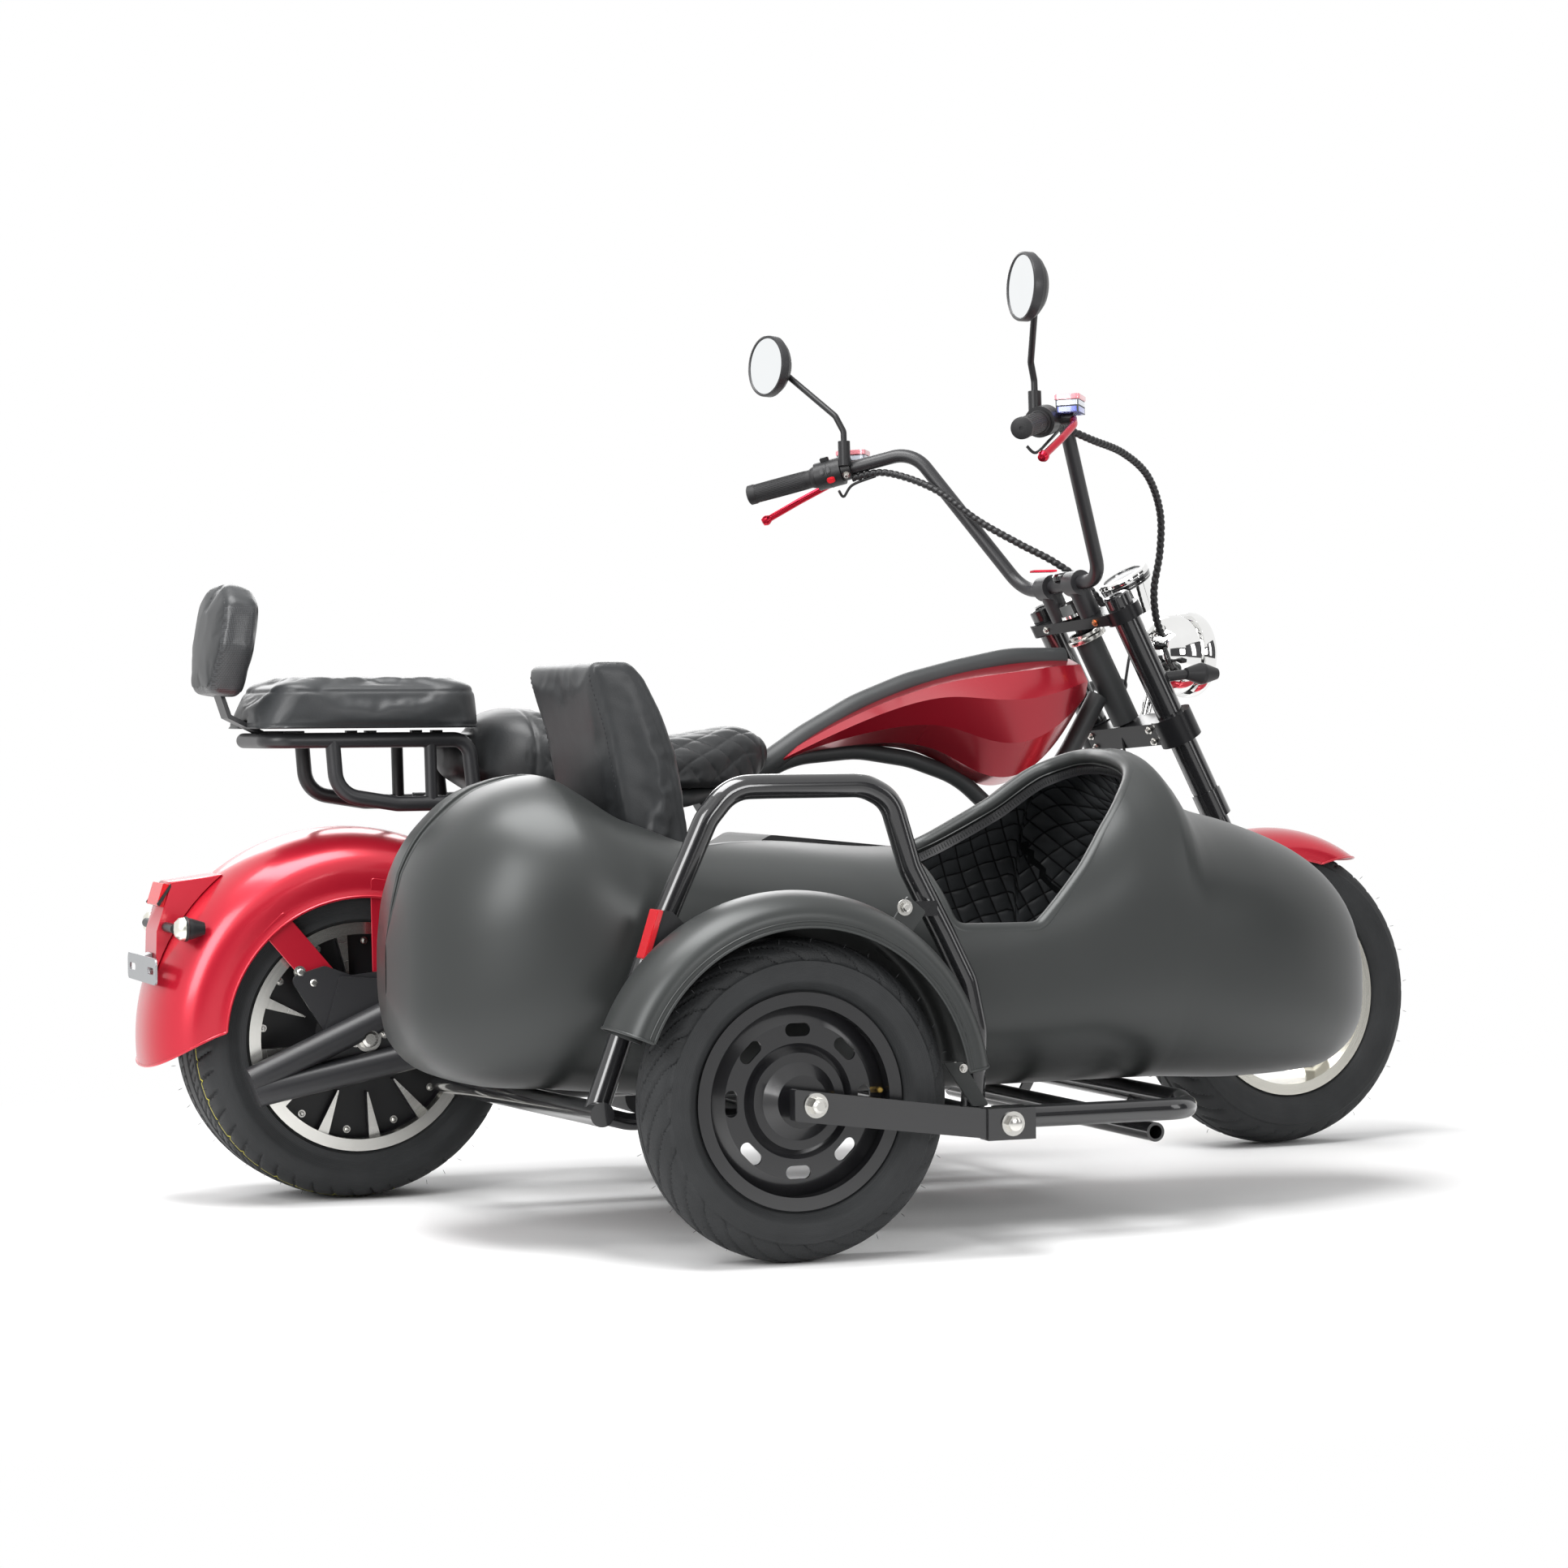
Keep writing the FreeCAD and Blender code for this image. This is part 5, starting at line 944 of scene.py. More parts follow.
class CruiserStageOperator(bpy.types.Operator):
    """Set up the camera, the floor, the room and the lamps"""

    bl_idname = "cruiser.stage"
    bl_label = "Studio"

    def execute(self, context):
        values = context.scene.cruiser_stage
        context.scene.view_settings.view_transform = "Standard"
        photo_camera()
        studio_world(values.sky)
        studio_floor(values.floor)
        middle = Vector((0.0, 0.0, 0.5))
        soft_lamp("lamp_above", Vector((-1.1, -0.3, 3.5)), middle, 2.8, 1.8, values.key)
        soft_lamp("lamp_left", Vector((-3.3, -2.2, 2.1)), middle, 1.5, 2.4, values.fill * 1.6)
        soft_lamp("lamp_right", Vector((3.0, -3.2, 1.7)), middle, 1.0, 2.2, values.fill * 0.3)
        soft_lamp("lamp_front", Vector((0.5, -4.4, 1.5)), middle, 1.2, 1.2, values.fill * 0.7)
        soft_lamp("lamp_behind", Vector((0.4, 3.6, 2.2)), middle, 3.0, 1.6, values.fill)
        dark_card("card_right", Vector((4.6, -4.6, 1.6)), middle, 7.0, 5.0)
        dark_card("card_front", Vector((-1.0, -8.5, 1.9)), middle, 9.0, 4.0)
        return {"FINISHED"}


class CruiserFinishesOperator(bpy.types.Operator):
    """Make the finishes and give each solid of the frame its own"""

    bl_idname = "cruiser.finishes"
    bl_label = "Finishes"

    def execute(self, context):
        make_finishes()
        make_bolt_tree()
        make_peg_tree()
        for node, label in NODE_FINISH.items():
            dress(node, label)
        return {"FINISHED"}


NODE_FINISH = {
    "frame": "spine_grey", "tank": "tank_red_shaded", "battery_case": "case_black", "footboards": "board_rubber",
    "swingarm": "satin_black", "rear_shocks": "gloss_black", "rear_axle": "zinc", "saddle": "saddle_leather",
    "rack": "satin_black", "rack_pad": "seat_leather", "backrest_pad": "seat_leather",
    "rear_fender": "candy_red", "tail_lamp": "red_lens", "rear_turn_lamps": "black_plastic",
    "plate_bracket": "plate_grey",
    "tub": "sidecar_satin", "lining": "lining_cloth", "sidecar_seat": "seat_leather",
    "sidecar_backrest": "seat_leather", "sidecar_frame": "gloss_black", "hoop": "gloss_black",
    "sidecar_fender": "sidecar_satin", "reflector": "black_plastic", "trailing_arm": "gloss_black",
    "side_stand": "gloss_black", "fork_legs": "gloss_black", "fork_clamps": "clamp_black",
    "handlebar": "satin_black", "grips": "grip_rubber", "switchgear": "black_plastic",
    "levers": "anodised_red", "mirrors": "black_plastic", "headlamp": "chrome",
    "headlamp_lens": "lamp_glass", "gauge_pod": "chrome",
    "front_turn_lamps": "black_plastic", "front_fender": "candy_red", "front_axle": "zinc",
    "front_caliper": "gloss_black", "conduits": "black_plastic", "rear_tyre": "rear_rubber",
    "front_tyre": "front_rubber", "sidecar_tyre": "side_rubber", "rear_rim": "rear_wheel_metal",
    "front_rim": "front_wheel_metal", "sidecar_rim": "side_wheel_black",
}


# Tyres


GROOVE_EDGE = 0.0012


def groove(distance, width):
    """How far into a groove a point lies, from 0 beside it to 1 at its floor."""
    t = np.clip((width / 2 + GROOVE_EDGE - np.abs(distance)) / GROOVE_EDGE, 0, 1)
    return t * t * (3 - 2 * t)


def between(value, low, high, rise, fall):
    """1 between low and high, with a slope inside each end and 0 beyond."""
    return np.clip((value - low) / rise, 0, 1) * np.clip((high - value) / fall, 0, 1)


def rear_tread(turn, y, radius, slant):
    """Two long grooves each side and short slots over the shoulders."""
    depth = groove(np.abs(y) - 0.018, 0.005)
    depth = np.maximum(depth, groove(np.abs(y) - 0.056, 0.0045))
    pitch = math.tau / 48
    lean = np.sign(y) * (np.abs(y) - 0.06) * 2.2
    phase = (turn + lean + pitch * 0.5) % pitch - pitch / 2
    zone = between(np.abs(y), 0.062, 0.098, 0.004, 0.005)
    depth = np.maximum(depth, groove(phase * radius, 0.0032) * zone)
    inner = (turn * 2 + y * 6) % pitch - pitch / 2
    zone = between(np.abs(y), 0.022, 0.052, 0.004, 0.004)
    return np.maximum(depth, 0.7 * groove(inner * radius / 2, 0.0024) * zone)


def front_tread(turn, y, radius, slant):
    """A centre groove and slanted slots to the shoulders."""
    depth = groove(y, 0.004)
    pitch = math.tau / 40
    phase = (turn + np.abs(y) * 4.5 + np.where(y > 0, pitch / 2, 0)) % pitch - pitch / 2
    zone = between(np.abs(y), 0.010, 0.058, 0.004, 0.005)
    return np.maximum(depth, groove(phase * radius, 0.0042) * zone)


def side_tread(turn, y, radius, slant):
    """Curved slots that start beside the centre and run out over the shoulders."""
    pitch = math.tau / 30
    bend = slant * 3.2 * (np.abs(y) / 0.045) ** 1.6
    phase = (turn - bend + np.where(y > 0, pitch / 2, 0)) % pitch - pitch / 2
    zone = between(np.abs(y), 0.005, 0.044, 0.003, 0.003)
    depth = groove(phase * radius, 0.0046) * zone
    return np.maximum(depth, groove(y, 0.0036))


TYRES = {
    # Node: radius, half width, rim radius, half rim width, crown, body, finish, tread.
    "rear_tyre": (239, 106, 166, 103, 0.10, REAR_WHEEL, "rear_rubber", rear_tread),
    "front_tyre": (244, 65, 166, 53, 0.30, FRONT_WHEEL, "front_rubber", front_tread),
    "sidecar_tyre": (208, 45, 139.5, 31, 0.34, SIDE_WHEEL, "side_rubber", side_tread),
}


def tyre_profile(radius, half, rim, rim_half, crown):
    """Half of a tyre's section from the bead to the middle of its tread, as (radius, side) in metres."""
    wall = radius - rim
    bead = rim_half - 5.4
    spots = [(rim - 11.4, bead), (rim - 4, bead), (rim + 1.5, bead + 0.6), (rim + 5, rim_half + 1.5),
             (rim + wall * 0.22, half * 0.965), (rim + wall * 0.42, half * 0.998),
             (rim + wall * 0.60, half * 0.985), (radius - wall * (0.22 + crown * 0.5), half * 0.925),
             (radius - wall * (0.11 + crown * 0.35), half * 0.82),
             (radius - wall * (0.03 + crown * 0.22), half * 0.62),
             (radius - wall * crown * 0.09, half * 0.36), (radius, 0)]
    return smooth_path([(r * MM, y * MM, 0) for r, y in spots], 44)


class CruiserTyresOperator(bpy.types.Operator):
    """Build the three tyres with their treads, beads and sidewall ribs"""

    bl_idname = "cruiser.tyres"
    bl_label = "Tyres"

    def execute(self, context):
        values = context.scene.cruiser_wheels
        for node, (radius, half, rim, rim_half, crown, body, finish_name, tread) in TYRES.items():
            side = tyre_profile(radius, half, rim, rim_half, crown)
            section = [(p.x, p.y) for p in side] + [(p.x, -p.y) for p in reversed(side[:-1])]
            make_tyre(node, section, radius * MM, body, finish_name, tread, values)
        return {"FINISHED"}


def make_tyre(node, section, radius, body, finish_name, tread, values):
    """One tyre: its section round the hub, with the tread pressed in and two ribs on each sidewall."""
    r = np.array([p[0] for p in section])
    y = np.array([p[1] for p in section])
    turn = np.linspace(0, math.tau, values.steps, endpoint=False)[:, None]
    zone = np.clip((r - (radius - 0.034)) / 0.012, 0, 1)
    ribs = 0.0009 * (np.exp(-((r - (radius - 0.040)) / 0.0016) ** 2)
                     + np.exp(-((r - (radius - 0.052)) / 0.0012) ** 2))
    depth = tread(turn, y[None, :], radius, values.slant) * zone[None, :] * values.groove
    out = r[None, :] - depth
    side = np.broadcast_to((y + np.sign(y) * ribs * (zone < 0.5))[None, :], out.shape)
    first, second, line = (np.array(v) for v in cross_directions(AXLES[body]))
    middle = np.array(HUBS[body])
    spots = (middle + out[..., None] * (np.cos(turn)[..., None] * first + np.sin(turn)[..., None] * second)
             + side[..., None] * line)
    count, size = values.steps, len(section)
    faces = [(i * size + j, ((i + 1) % count) * size + j, ((i + 1) % count) * size + (j + 1) % size,
              i * size + (j + 1) % size) for i in range(count) for j in range(size)]
    made = Solid().add(spots.reshape(-1, 3), faces).make(node + "_treaded", finish_name, body)
    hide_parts(node)


# Sidecar body

TUB_NEAR, TUB_FAR, TUB_REAR, TUB_NOSE = -790.0, -262.0, -80.0, 1388.0
TUB_MID = (TUB_NEAR + TUB_FAR) / 2
TUB_WALL, LINING_BACK, LINING_FACE = 9.0, 9.6, 15.3
# The tub's upper and lower outlines from the side, as (x, z).
TUB_TOP = [(-80, 400), (-60, 492), (-10, 566), (50, 608), (116, 622), (200, 590), (300, 552), (450, 536),
           (600, 524), (700, 531), (780, 553), (850, 586), (925, 634), (985, 650), (1003, 634), (1030, 594),
           (1065, 570), (1150, 546), (1254, 506), (1330, 448), (1370, 372), (1388, 300)]
TUB_LOW = [(-80, 330), (-60, 256), (-10, 218), (60, 204), (116, 201), (200, 193), (300, 186), (450, 182),
           (600, 180.6), (1003, 180.6), (1150, 175), (1280, 180), (1340, 204), (1375, 240), (1388, 268)]
# The opening from above, as (x, y), and its low side by the step, as (x, z).
COCKPIT = [(118, -570), (140, -660), (184, -700), (237, -692), (310, -690), (355, -664), (400, -645),
           (443, -634), (542, -624), (616, -620), (905, -620), (950, -604), (968, -570), (972, TUB_MID),
           (966, -482), (935, -440), (885, -416), (839, -399), (777, -352), (700, -334), (600, -322),
           (320, -312), (225, -318), (160, -360), (118, -482)]
DOOR = [(606, 760), (612, 560), (622, 470), (634, 410), (764, 408), (801, 447), (844, 494), (881, 542),
        (906, 570), (931, 596), (952, 617), (967, 634), (972, 760)]
# How far from its ends the tub narrows, and the powers of its rounded section above and below.
TAIL_RUN, NOSE_RUN = 330.0, 560.0
UPPER_POWER, LOWER_POWER = 2.5, 3.0
# The lining: its ends, its mesh, and the slants of its rows, which turn over towards the nose.
LINED = (214.0, 1240.0)
LINING_STEP, LINING_TURNS = 10.0, 130
FRONT_PANEL, PANEL_SLOPE = 1365.0, 0.8
SIDE_SLANT, NOSE_SLANT = math.radians(29), math.radians(-38)


def smooth_line(table):
    """A smooth line through (place, height) points that never overshoots them."""
    x, y = np.array(table, dtype=float).T
    step = np.diff(x)
    slope = np.diff(y) / step
    ease = np.zeros(len(x))
    for i in range(1, len(x) - 1):
        if slope[i - 1] * slope[i] > 0:
            before, after = 2 * step[i] + step[i - 1], step[i] + 2 * step[i - 1]
            ease[i] = (before + after) / (before / slope[i - 1] + after / slope[i])
    ease[0], ease[-1] = slope[0], slope[-1]

    def value(place):
        place = np.clip(place, x[0], x[-1])
        i = np.clip(np.searchsorted(x, place) - 1, 0, len(step) - 1)
        t = (place - x[i]) / step[i]
        return ((2 * t ** 3 - 3 * t ** 2 + 1) * y[i] + (t ** 3 - 2 * t ** 2 + t) * step[i] * ease[i]
                + (3 * t ** 2 - 2 * t ** 3) * y[i + 1] + (t ** 3 - t ** 2) * step[i] * ease[i + 1])

    return value


top_line, low_line = smooth_line(TUB_TOP), smooth_line(TUB_LOW)


def tub_half(x, inset):
    """Half the tub's width along the machine, rounded at tail and nose."""
    half = (TUB_FAR - TUB_NEAR) / 2
    tail = np.clip((TUB_REAR + TAIL_RUN - x) / (TAIL_RUN - inset), 0, 1)
    nose = np.clip((x - TUB_NOSE + NOSE_RUN) / (NOSE_RUN - inset), 0, 1)
    share = np.minimum((1 - tail ** 2.6) ** (1 / 2.2), (1 - nose ** 2.3) ** 0.5)
    return np.maximum((half - inset) * share, 3.0)


def tub_points(x, turn, inset=0.0):
    """Places on the tub's skin: x along it, turn round its section from the far side over the top."""
    middle, span = (TUB_NOSE + TUB_REAR) / 2, (TUB_NOSE - TUB_REAR) / 2
    forward = middle + (x - middle) * (span - inset) / span
    half = tub_half(forward, inset)
    high = top_line(x) - inset
    low = np.minimum(low_line(x) + inset, high - 6)
    c, s = np.cos(turn), np.sin(turn)
    power = np.where(s < 0, LOWER_POWER, UPPER_POWER)
    y = TUB_MID + half * np.sign(c) * np.abs(c) ** (2 / power)
    z = (low + high) / 2 + (high - low) / 2 * np.sign(s) * np.abs(s) ** (2 / power)
    return np.stack(np.broadcast_arrays(forward, y, z), -1)


def tub_outward(x, turn):
    """The directions out of the tub at places on its skin, one long."""
    along = tub_points(x + 1.0, turn) - tub_points(x - 1.0, turn)
    around = tub_points(x, turn + 0.004) - tub_points(x, turn - 0.004)
    out = np.cross(along, around)
    return -out / np.maximum(np.linalg.norm(out, axis=-1, keepdims=True), 1e-9)


CORNER_STEPS = 7


def rounded_line(points, radius, closed=True):
    """Points of an outline whose corners are rounded."""
    points = [np.array(p, dtype=float) for p in points]
    count, line = len(points), []
    for i, here in enumerate(points):
        if not closed and i in (0, count - 1):
            line.append(here)
            continue
        back, ahead = points[i - 1] - here, points[(i + 1) % count] - here
        a, b = np.linalg.norm(back), np.linalg.norm(ahead)
        half = math.acos(max(-1.0, min(1.0, float(np.dot(back, ahead) / (a * b))))) / 2
        reach = min(radius / math.tan(half), 0.49 * a, 0.49 * b) if half < 1.56 else 0.0
        first, last = here + back / a * reach, here + ahead / b * reach
        for k in range(CORNER_STEPS + 1):
            t = k / CORNER_STEPS
            line.append(first * (1 - t) ** 2 + here * 2 * t * (1 - t) + last * t * t)
    return np.array(line)


def rim_turns(x):
    """Where the opening cuts the section at x: its turn on the far side and on the near side."""
    well = rounded_line(COCKPIT, 50)
    near, far = well[well[:, 1] <= TUB_MID + 1e-6], well[well[:, 1] >= TUB_MID - 1e-6]
    near, far = near[np.argsort(near[:, 0])], far[np.argsort(far[:, 0])]
    door = rounded_line(DOOR, 26, closed=False)
    half, high, low = tub_half(x, 0.0), top_line(x), low_line(x)
    inside = (x > well[:, 0].min()) & (x < well[:, 0].max())

    def lean(y):
        share = np.clip(np.abs(y - TUB_MID) / half, 0, 1)
        return np.arccos(np.clip(share ** (UPPER_POWER / 2), 0, 1))

    far_turn = lean(np.interp(x, far[:, 0], far[:, 1]))
    near_turn = math.pi - lean(np.interp(x, near[:, 0], near[:, 1]))
    rise = np.clip((np.interp(x, door[:, 0], door[:, 1]) - (high + low) / 2) / ((high - low) / 2), 0, 1)
    in_door = (x > DOOR[0][0]) & (x < DOOR[-1][0])
    door_turn = math.pi - np.arcsin(np.clip(rise ** (UPPER_POWER / 2), 0, 1))
    near_turn = np.where(in_door, np.maximum(near_turn, door_turn), near_turn)
    return np.where(inside, far_turn, math.pi / 2), np.where(inside, near_turn, math.pi / 2)


def tub_stations(first, last):
    """Places along the tub, closer together where its opening turns."""
    runs = [np.arange(first, last, 10.0), np.arange(117.6, 126, 0.6), np.arange(126, 240, 5.0),
            np.arange(604, 640, 1.0), np.arange(640, 905, 2.5), np.arange(905, 962, 4.0),
            np.arange(962, 974, 0.6), np.arange(974, 1010, 4.0)]
    places = np.unique(np.round(np.concatenate(runs + [[first, last]]), 2))
    return places[(places >= first) & (places <= last)]


def tub_grid(x, count):
    """Turns round the section at every station, from the far rim under the floor to the near rim."""
    far, near = rim_turns(x)
    share = np.linspace(0, 1, count)[None, :]
    span = math.tau - (near - far)
    return far[:, None] - share * span[:, None]


def two_skins(name, outer, inner, labels, slots, values=()):
    """A closed sheet with thickness between two grids of points, for the whole run of stations."""
    rows, size = outer.shape[:2]
    both = np.concatenate([outer.reshape(-1, 3), inner.reshape(-1, 3)])
    base = rows * size
    faces, kinds = [], []
    for i in range(rows - 1):
        for j in range(size - 1):
            a, b, c, d = i * size + j, i * size + j + 1, (i + 1) * size + j + 1, (i + 1) * size + j
            faces.append((a, b, c, d))
            faces.append((base + d, base + c, base + b, base + a))
            kinds += slots
    for j in range(size - 1):
        faces.append((j, base + j, base + j + 1, j + 1))
        last = (rows - 1) * size + j
        faces.append((last, last + 1, base + last + 1, base + last))
        kinds += [slots[0]] * 2
    for i in range(rows - 1):
        for j in (0, size - 1):
            a, d = i * size + j, (i + 1) * size + j
            faces.append((a, d, base + d, base + a) if j == 0 else (d, a, base + a, base + d))
            kinds.append(slots[0])
    solid = Solid().add([at(*p) for p in both], faces)
    solid.slots, solid.values = kinds, values
    return solid.make(name, labels, BODY)


def rim_line(pitch):
    """The edge of the opening as evenly spaced (x, turn) pairs, once round."""
    x = tub_stations(118.0, 973.0)
    far, near = rim_turns(x)
    keep = near - far > 0.004
    x, far, near = x[keep], far[keep], near[keep]
    loop = np.array([*zip(x, near), *zip(x[::-1], far[::-1])])
    tail = np.linspace(far[0], near[0], 12)[1:-1]
    loop = np.concatenate([loop, [(x[0], t) for t in tail], loop[:1]])
    places = tub_points(loop[:, 0], loop[:, 1])
    run = np.concatenate([[0], np.cumsum(np.linalg.norm(np.diff(places, axis=0), axis=1))])
    count = int(run[-1] / pitch)
    spots = np.linspace(0, run[-1], count + 1)[:-1]
    line = np.stack([np.interp(spots, run, loop[:, k]) for k in range(2)], -1)
    reach = max(1, int(14 / pitch))
    window = np.hanning(2 * reach + 3)[1:-1]
    padded = np.concatenate([line[-reach:], line, line[:reach]])
    return np.stack([np.convolve(padded[:, k], window / window.sum(), "valid") for k in range(2)], -1)


def rim_frames(pitch):
    """Along the opening's edge: places, directions outwards and directions into the opening."""
    line = rim_line(pitch)
    places = tub_points(line[:, 0], line[:, 1])
    out = tub_outward(line[:, 0], line[:, 1])
    way = np.roll(places, -1, axis=0) - np.roll(places, 1, axis=0)
    way /= np.linalg.norm(way, axis=1, keepdims=True)
    into = np.cross(way, out)
    into /= np.linalg.norm(into, axis=1, keepdims=True)
    middle = np.array([560.0, TUB_MID, 540.0])
    if np.sum(into * (middle - places)) < 0:
        into = -into
    return places, out, into


# The roll round the opening, and the trim's upper and lower edges under it.
ROLL_R, ROLL_PITCH = 12.0, 5.0
TRIM_TOP, TRIM_FOOT, TRIM_PITCH = 22.0, 36.0, 4.4


def beside_edge(p, n, t, turn, lift):
    """A point round the roll at an edge point p, with n out of the tub and t into the opening."""
    return at(*(p - n * ROLL_R + (n * math.cos(turn) + t * math.sin(turn)) * (ROLL_R + lift)))


class CruiserTubOperator(bpy.types.Operator):
    """Build the sidecar's shell, the roll round its opening and the ribbed trim under the roll"""

    bl_idname = "cruiser.tub"
    bl_label = "Sidecar shell"

    def execute(self, context):
        x = tub_stations(TUB_REAR, TUB_NOSE)
        turns = tub_grid(x, 76)
        outer, inner = tub_points(x[:, None], turns), tub_points(x[:, None], turns, TUB_WALL)
        shell = two_skins("tub_shell", outer, inner, ["sidecar_satin", "case_black"], [0, 1])
        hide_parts("tub")
        edge = list(zip(*rim_frames(ROLL_PITCH)))
        turns = np.radians(np.linspace(-24, 214, 15))
        rings = [[beside_edge(*spot, turn, 0.25) for turn in turns] for spot in edge]
        Solid().skin(rings, True).make("tub_rim_roll", "sidecar_satin", BODY)
        self.edge_bead(edge)
        self.trim()
        return {"FINISHED"}

    def edge_bead(self, edge):
        """A thin raised bead where the roll turns under, all round."""
        line = [beside_edge(*spot, math.radians(128), 0.8) for spot in edge]
        bead = Solid().sweep(line, circle(1.3 * MM, 6), closed=True)
        bead.make("tub_rim_bead", "sidecar_trim", BODY)

    def trim(self):
        """A band under the roll, all round, with a strip of fine ribs on it."""
        edge = list(zip(*rim_frames(TRIM_PITCH)))
        corners = ((-TRIM_TOP, 2.0), (-TRIM_TOP, 4.5), (-TRIM_FOOT, 4.5), (-TRIM_FOOT, 2.0))
        rings = [[at(*(p + n * up + t * side)) for up, side in corners] for p, n, t in edge]
        Solid().skin(rings, True).make("tub_trim_band", "satin_black", BODY)
        middle = (TRIM_TOP + TRIM_FOOT) / 2
        spots = [(at(*(p - n * middle + t * 4.5)), Vector(n), Vector(t)) for p, n, t in edge]
        pegs("tub_trim_ribs", spots, (0.0008, 0.0009, 0.0085), BODY, "sidecar_trim")


class CruiserLiningOperator(bpy.types.Operator):
    """Quilt the lining of the sidecar in slanted rows of pillows"""

    bl_idname = "cruiser.lining"
    bl_label = "Quilted lining"

    def execute(self, context):
        sizes = context.scene.cruiser_upholstery
        runs = [np.arange(LINED[0], LINED[1] + 1, LINING_STEP), np.arange(604, 640, 2.0),
                np.arange(640, 905, 6.0), np.arange(962, 974, 1.5)]
        x = np.unique(np.concatenate(runs))
        turns = tub_grid(x, LINING_TURNS)
        face = tub_points(x[:, None], turns, LINING_FACE)
        back = tub_points(x[:, None], turns, LINING_BACK)
        around = np.cumsum(np.linalg.norm(np.diff(face, axis=1, prepend=face[:, :1]), axis=2), axis=1)
        down = np.abs(around - around[:, [face.shape[1] // 2]])
        lean = np.where(face[..., 0] > FRONT_PANEL - down * PANEL_SLOPE, NOSE_SLANT, SIDE_SLANT)
        wide, tall = sizes.square * 1000, sizes.square * 750
        across = (face[..., 0] * np.cos(lean) + down * np.sin(lean)) / wide
        along = (down * np.cos(lean) - face[..., 0] * np.sin(lean)) / tall
        cells = np.stack([across, along, np.zeros_like(across)], -1).reshape(-1, 3)
        values = np.concatenate([cells, cells]).ravel().tolist()
        quilt = two_skins("lining_quilt", back, face, ["lining_cloth"], [0, 0], values)
        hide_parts("lining")
        return {"FINISHED"}


# Fenders


def arched_shell(profile, wall, hub, first, last, steps=72):
    """A shell round a wheel, from a profile of (radius, side) over its crown; its ends may lean."""
    outer = np.array(profile, dtype=float)
    way = np.gradient(outer, axis=0)
    out = np.stack([way[:, 1], -way[:, 0]], -1)
    out /= np.linalg.norm(out, axis=1, keepdims=True)
    if np.sum(out * (outer - outer.mean(axis=0))) < 0:
        out = -out
    section = np.concatenate([outer, (outer - out * wall)[::-1]])
    lean = np.interp(section[:, 0], [first[0][0], first[1][0]], [first[0][1], first[1][1]])
    tail = np.interp(section[:, 0], [last[0][0], last[1][0]], [last[0][1], last[1][1]])
    rings = []
    for i in range(steps + 1):
        turn = np.radians(lean + (tail - lean) * i / steps)
        rings.append([at(hub[0] + r * math.cos(a), hub[1] + y, hub[2] + r * math.sin(a))
                      for (r, y), a in zip(section, turn)])
    return rings, len(outer)


def crown_profile(top, start, low_far, low_near, half, power, count=26):
    """A fender's outer section: straight skirts and a round crown, from one lip to the other."""
    angles = np.linspace(0, math.pi, count)
    crown = [(start + (top - start) * abs(math.sin(a)) ** (2 / power),
              half * math.copysign(abs(math.cos(a)) ** (2 / power), math.cos(a))) for a in angles]
    far = [(low_far + (start - low_far) * i / 5, half) for i in range(5)]
    near = [(start - (start - low_near) * (i + 1) / 5, -half) for i in range(5)]
    return far + crown + near


